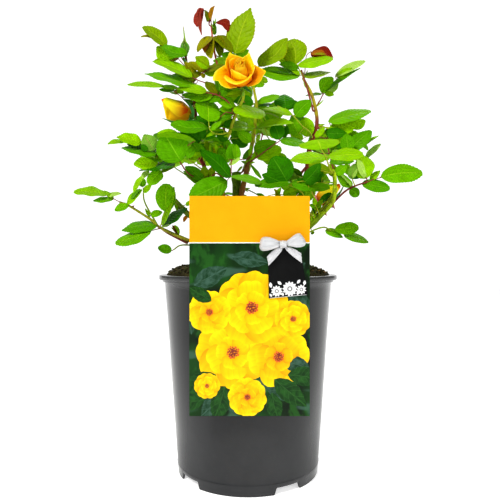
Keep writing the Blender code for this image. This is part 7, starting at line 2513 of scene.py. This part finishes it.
def make_left_bud():
    """The bud on the left: one clear petal wrapped down over a deeper one,
    with a sepal let down above and below."""
    deep = -33.0
    foot, peak = spot(190.5, 116.2, deep), spot(161.5, 99.8, deep - 4.0)
    f = Flower(foot / MM, peak - foot, "rose_bud_left")
    f.x = Vector((0, -1, 0))
    f.x = (f.x - f.z * f.x.dot(f.z)).normalized()
    f.y = f.z.cross(f.x)
    b = {}
    bud_body(((170, "bud_amber", 0.94, 0.0), (80, "bud_amber", 0.92, 0.0), (270, "bud_clear", 0.93, 0.0)), b, f,
             32.5, 17.5, 200)
    run = Vector((161.5 - 190.5, 99.8 - 116.2))
    size = run.length
    run = run / size
    up = Vector((-run.y, run.x))

    def skin(px, py, out=0.0):
        """How near the round body comes to the eye at a place on it."""
        rel = Vector((px - 190.5, py - 116.2))
        t, s = rel.dot(run), rel.dot(up)
        mid = float(np.interp(t, [0, 8, 14, 20, 26, 30, 34], [0.5, 0.5, 2.0, 2.7, 0.4, -0.8, -0.5]))
        rad = float(np.interp(t, [0, 3, 8, 14, 20, 26, 30, 34], [4.0, 6.2, 9.0, 11.4, 10.2, 6.4, 3.8, 0.6]))
        return (px, py, -0.86 * math.sqrt(max(0.0, rad * rad - (s - mid) ** 2)) - out - t * 0.12)

    # the deeper petal under the clear one, in the bud_amber copy: partly its own colour, partly painted shade
    draped(b, "bud_amber", deep, [
        [(188, 117, 5), skin(187.6, 120.8), skin(188.6, 118), skin(189.5, 114.5), skin(189.6, 111)],
        [(181, 115, 8), skin(180.5, 121.2), skin(181.5, 116.5), skin(183, 111.5), skin(184.5, 107.5)],
        [(173, 113, 8), skin(171.2, 120.8), skin(173, 115.5), skin(175.5, 111), skin(178.5, 106.5)],
        [(169, 111, 7), skin(167.2, 118.4), skin(169, 112.8), skin(171.5, 108.6), skin(174.5, 104.6)],
        [(167, 107, 4), skin(165.1, 109.6), skin(166.5, 107.2), skin(168, 105.2), skin(170, 103.0)],
        [(164, 103, 1), skin(163.1, 104.0), skin(163.9, 103.2), skin(164.8, 102.6), skin(165.8, 101.8)],
        [(162.2, 100.6, 0), skin(161.9, 100.9), skin(162.2, 100.6), skin(162.6, 100.4), skin(163, 100.2)]],
        34, 25, ripple=0.10, seed=11)
    draped(b, "clear", deep + 1.2, [
        [(176, 113, 7), skin(175.4, 120.8), skin(177, 116)],
        [(170, 112, 7), skin(168.8, 120.4), skin(171, 114.5)],
        [(167.5, 111, 6), skin(166.0, 117.8), skin(168, 112.5)],
        [(165.6, 107, 4), skin(164.4, 110.4), skin(166, 107.6)],
        [(163.6, 103, 2), skin(162.8, 104.8), skin(164, 103.4)]], 24, 13, ripple=0.10, seed=12)
    draped(b, "bud_clear", deep, [
        [skin(186.9, 113.2, 0.5), skin(187.7, 111.6, 0.5), skin(188.5, 109.4, 0.5), (189.3, 107.6, 0), (189.6, 109, 5)],
        [skin(184.0, 114.2, 0.8), skin(184.7, 110.6, 0.8), skin(185.7, 107.4, 0.7), (186.6, 104.6, 0), (188, 109, 8)],
        [skin(179.6, 117.0, 0.9), skin(180.1, 111, 0.9), skin(181.3, 105.5, 0.8), (182.2, 101.2, 0), (184, 108, 9)],
        [skin(173.0, 112.8, 0.9), skin(174, 108, 0.9), skin(175, 104, 0.8), (175.8, 99.7, -1), (178, 106, 8)],
        [skin(166.8, 106.4, 0.8), skin(168, 104, 0.8), skin(169, 101.5, 0.7), (170.2, 98.2, -2), (172, 103, 4)],
        [skin(163.6, 102.2, 0.6), skin(164.4, 101.2, 0.6), skin(165.2, 99.8, 0.5), (166.2, 97.5, -3), (167, 100.4, 1)],
        [skin(161.2, 100.2, 0.4), skin(161.3, 99.9, 0.4), skin(161.4, 99.6, 0.4), (161.8, 99.2, -4), (162.6, 99.8, -3)]],
        34, 25, ripple=0.10, seed=13)
    for look, build in b.items():
        build.finish("rose_bud_left_" + look, PETAL_LOOKS[look], "petal_yellow",
                     ("rose_bud_left",) if look == "bud_clear" else ())
    hip = Build()
    receptacle(hip, f, 2.9, 5.0)
    sep = Build("OFBake")
    sepal(sep, [spot(192.4, 118.4, deep - 2), spot(193.2, 112.6, deep - 6), spot(191.2, 107.0, deep - 8),
                spot(187.8, 102.8, deep - 7), spot(184.0, 99.6, deep - 5), spot(181.0, 96.6, deep - 4)],
          4.3, Vector((-0.3, -1, 0.3)), 0.35)
    sepal(sep, [spot(192.0, 118.8, deep - 2), spot(187.0, 121.6, deep - 5), spot(179.5, 122.6, deep - 8),
                spot(172.0, 121.8, deep - 9), spot(166.6, 119.8, deep - 9), spot(161.6, 118.2, deep - 9)],
          4.4, Vector((-0.2, -0.7, -0.7)), 0.35)
    sepal(sep, [spot(192.2, 117.6, deep), spot(190.8, 118.6, deep - 6), spot(188.6, 121.0, deep - 7.5),
                spot(186.8, 122.4, deep - 8)], 4.6, Vector((0.3, -1, -0.3)), 0.3)
    for az, reach in ((150, 0.55), (215, 0.5)):
        a = math.radians(az)
        pts = [f.at(math.cos(a) * r, math.sin(a) * r, z)
               for r, z in ((2.2, -0.4), (7.5, 3.0), (10.6, 9.0), (10.8, 15.0 * reach * 2), (11.6, 22.0 * reach * 1.6))]
        sepal(sep, pts, 5.0, f.x * math.cos(a) + f.y * math.sin(a), 0.35)
    sep.finish("rose_bud_left_sepals", SEPAL_GREEN, "sepal_green")
    return hip, f


def make_right_bud():
    """The bud low on the right, half hidden behind the thick cane."""
    foot, peak = spot(318.2, 203.0, -8.0), spot(340.6, 184.0, -15.0)
    f = Flower(foot / MM, peak - foot, "rose_bud_right")
    f.x = Vector((0, -1, 0))
    f.x = (f.x - f.z * f.x.dot(f.z)).normalized()
    f.y = f.z.cross(f.x)
    long = (peak - foot).length / MM
    b = {}
    bud_body(((200, "bud_amber", 0.98, 0.0), (90, "bud_amber", 0.96, 0.0), (300, "bud_clear", 0.97, 0.0),
              (10, "bud_clear", 1.0, 0.03)), b, f, long, 19.0, 230)
    for look, build in b.items():
        build.finish("rose_bud_right_" + look, PETAL_LOOKS[look], "petal_yellow",
                     ("rose_bud_right",) if look == "bud_clear" else ())
    hip = Build()
    receptacle(hip, f, 2.9, 5.0)
    sep, pink = Build("OFBake"), Build("OFBake")
    sepal(sep, [spot(317.6, 204.6, -14), spot(322.4, 202.4, -18), spot(327.0, 198.4, -20), spot(331.0, 194.0, -20)],
          3.4, Vector((0.3, -1, -0.3)), 0.4)
    sepal(sep, [spot(320, 205, -8), spot(331.0, 200.0, -12), spot(339.6, 193.0, -14), spot(344.8, 183.6, -14)],
          4.2, Vector((0.3, -1, -0.2)), 0.5)
    sepal(pink, [spot(318.0, 203.6, -12), spot(316.2, 199.6, -15), spot(315.6, 196.4, -15), spot(315.0, 194.0, -14)],
          3.2, Vector((-0.2, -1, 0)), 0.4)
    for az, reach in ((150, 0.9), (215, 0.8)):
        a = math.radians(az)
        pts = [f.at(math.cos(a) * r, math.sin(a) * r, z)
               for r, z in ((2.2, -0.4), (7.2, 3.0), (9.8, 8.5), (9.9, 14.0 * reach), (9.6, 21.0 * reach))]
        sepal(sep, pts, 5.0, f.x * math.cos(a) + f.y * math.sin(a), 0.35)
    sep.finish("rose_bud_right_sepals", SEPAL_GREEN, "sepal_green")
    pink.finish("rose_bud_right_sepal_pink", SEPAL_PINK, "sepal_green")
    return hip, f


ROSE_HIP = make_open_rose()
LEFT_HIP, LEFT_BUD = make_left_bud()
RIGHT_HIP, RIGHT_BUD = make_right_bud()


def neck(build, limb_name, flower, drop, radius=0.0012):
    """The flower stalk from the end of its cane into the hip."""
    pts, radii = LIMBS[limb_name]
    top = pts[-1]
    back = pts[-5]
    end = flower.at(0, 0, -drop)
    line = curve_through([back, top, top.lerp(end, 0.5), end], 0.0012)
    tube(build, line, [radii[-1] * 0.95 + (radius - radii[-1] * 0.95) * i / (len(line) - 1) for i in range(len(line))], 14)


def side_neck(build, limb_name, flower, drop, radius=0.0013):
    """The flower stalk from the side of a cane that runs on past it."""
    pts, radii = LIMBS[limb_name]
    end = flower.at(0, 0, -drop)
    i = min(range(len(pts)), key=lambda k: (pts[k] - end).length)
    i = max(3, i - 5)
    axis = (pts[i + 1] - pts[i - 1]).normalized()
    out = end - pts[i]
    out = (out - axis * out.dot(axis)).normalized()
    line = curve_through([pts[i] + out * radii[i] * 0.3, pts[i] + out * (radii[i] + 0.001) + axis * 0.0012,
                          (pts[i] + out * (radii[i] + 0.001)).lerp(end, 0.55) + axis * 0.001, end], 0.0012)
    tube(build, line, [radius] * len(line), 14)


side_neck(LEFT_HIP, "cane_left_tall", LEFT_BUD, 5.0)
neck(RIGHT_HIP, "cane_right_inner", RIGHT_BUD, 5.0)


def make_green_bud():
    """The young bud at the tip of the tall left cane, shut in long sepals."""
    f = Flower((-65.0, -22.0, 437.6), (-0.10, 0.02, 0.99), "bud_green")
    core = Build("OFBake")
    rows, cols = 26, 22
    grid = np.zeros((rows, cols, 3))
    for i in range(rows):
        t = i / (rows - 1)
        r = 3.5 * math.sin(math.pi * min(1.0, 0.10 + 0.86 * t ** 0.9)) ** 0.8 * (1 - 0.25 * t) + 0.3
        for j in range(cols):
            a = 2 * math.pi * j / (cols - 1)
            q = r * (1 + 0.05 * math.cos(5 * a))
            grid[i, j] = list(f.at(math.cos(a) * q, math.sin(a) * q, 0.4 + 11.5 * t))
    hip = Build()
    verts, faces = [], []
    for i in range(rows):
        for j in range(cols - 1):
            verts.append(tuple(grid[i, j]))
    c = cols - 1
    for i in range(rows - 1):
        for j in range(c):
            k = (j + 1) % c
            faces.append([i * c + j, i * c + k, (i + 1) * c + k, (i + 1) * c + j])
    faces.append(list(range(c))[::-1])
    faces.append([(rows - 1) * c + j for j in range(c)])
    hip.add(verts, faces, plain_uvs(verts, faces, 0.01))
    sep = Build("OFBake")
    rng = random.Random(7)
    for k in range(5):
        a = math.radians(72 * k + 20)
        long = (29.4, 13.5, 17.0, 12.5, 14.5)[k]
        pts = []
        for t in (0.0, 0.12, 0.25, 0.40, 0.60, 0.80, 1.0):
            z = long * t
            r = 3.8 * math.sin(math.pi * min(1.0, 0.14 + 0.80 * min(1.0, z / 13.0))) ** 0.8
            if z > 11:
                r = max(0.35, r * 0.5) + (0.05 if k == 0 else 0.3) * (z - 11) / 13.0
            pts.append(f.at(math.cos(a) * r, math.sin(a) * r, z))
        sepal(sep, pts, 5.4, f.x * math.cos(a) + f.y * math.sin(a), 0.45, thick=0.4, tip=0.8)
    sep.finish("bud_green_sepals", sepal_material("sepal_young_look", srgb(78, 134, 12), srgb(128, 160, 50),
                                                  srgb(150, 60, 40)), "sepal_green", ("bud_green",))
    receptacle(hip, f, 2.1, 4.0)
    neck(hip, "cane_left_tall", f, 2.5, 0.0012)
    return hip


GREEN_HIP = make_green_bud()
for which, hip in (("rose", ROSE_HIP), ("left", LEFT_HIP), ("right", RIGHT_HIP), ("green", GREEN_HIP)):
    hip.finish("hip_" + which, bark_material("hip_" + which + "_look", srgb(112, 158, 40), srgb(124, 170, 48), 0.2, 0.5,
                                            srgb(150, 110, 60), 0.30, 0.45), "sepal_green")

# =============================================================================
# joining the leaves and stalks, each tint and kind apart
# =============================================================================
MASSES = {
    "mid": ("foliage_top_leaf", "foliage_upper_right", "foliage_centre_left", "foliage_left_mid",
            "foliage_centre_middle", "foliage_right_upper", "foliage_far_right",
            "foliage_low_right", "foliage_left_upright", "foliage_left_twig", "foliage_low_left",
            "foliage_back_left", "foliage_back_middle", "foliage_back_top", "foliage_middle_low"),
    "light": ("foliage_upper_left", "foliage_centre_top", "foliage_right_front", "foliage_right_side",
              "foliage_right_spray", "foliage_far_left", "foliage_middle_right"),
    "dark": ("foliage_behind_rose", "foliage_centre_low", "foliage_right_low", "foliage_lowest_left",
             "foliage_back_right", "foliage_middle_left", "foliage_back_low"),
    "deep": ("foliage_upper_left_tip",),
    "olive": ("foliage_bronze",),
    "ruby": ("foliage_shoot_tip",),
}
for tint, (base, vein, under, edge, slot_name, gloss) in TINTS.items():
    amount = 0.75 if tint in ("sun", "olive", "light", "bronze") else 0.35
    LEAVES[tint].finish("leaves_" + tint, leaf_material("leaf_" + tint + "_look", base, vein, under, edge, gloss, amount),
                        slot_name, MASSES.get(tint, ()))
STALKS["green"].finish("stalks_green", bark_material(
    "stalk_green_look", srgb(116, 140, 34), srgb(130, 158, 40), 0.26, 0.40, srgb(150, 110, 50), 0.35, 0.45), "green_cane")
STALKS["red"].finish("stalks_red", bark_material(
    "stalk_red_look", srgb(128, 58, 48), srgb(146, 68, 58), 0.26, 0.42, srgb(120, 110, 40), 0.35, 0.42), "red_cane")
STALKS["lime"].finish("stalks_lime", bark_material(
    "stalk_lime_look", srgb(168, 180, 40), srgb(176, 190, 48), 0.26, 0.42, srgb(170, 120, 50), 0.35, 0.42), "green_cane")
THORNS.finish("thorns", THORN.mat, "red_cane")

# =============================================================================
# floor
# =============================================================================
floor_mesh = bpy.data.meshes.new("floor")
ring = [(4.0 * math.cos(2 * math.pi * i / 64), 4.0 * math.sin(2 * math.pi * i / 64), -0.0002) for i in range(64)]
floor_mesh.from_pydata(ring, [], [list(range(64))])
floor = bpy.data.objects.new("floor", floor_mesh)
scene.collection.objects.link(floor)
pale = Net("floor_pale", 0.9, 0.0)
pale.colour(pale.mix(pale.spread(pale.noise(pale.place(), 3.0, 2.0), 0.3, 0.7),
                     (0.93, 0.93, 0.93), (0.95, 0.95, 0.95)))
pale.shader.inputs["Emission Color"].default_value = (1.0, 1.0, 1.0, 1.0)
pale.shader.inputs["Emission Strength"].default_value = 0.51
floor_mesh.materials.append(pale.mat)
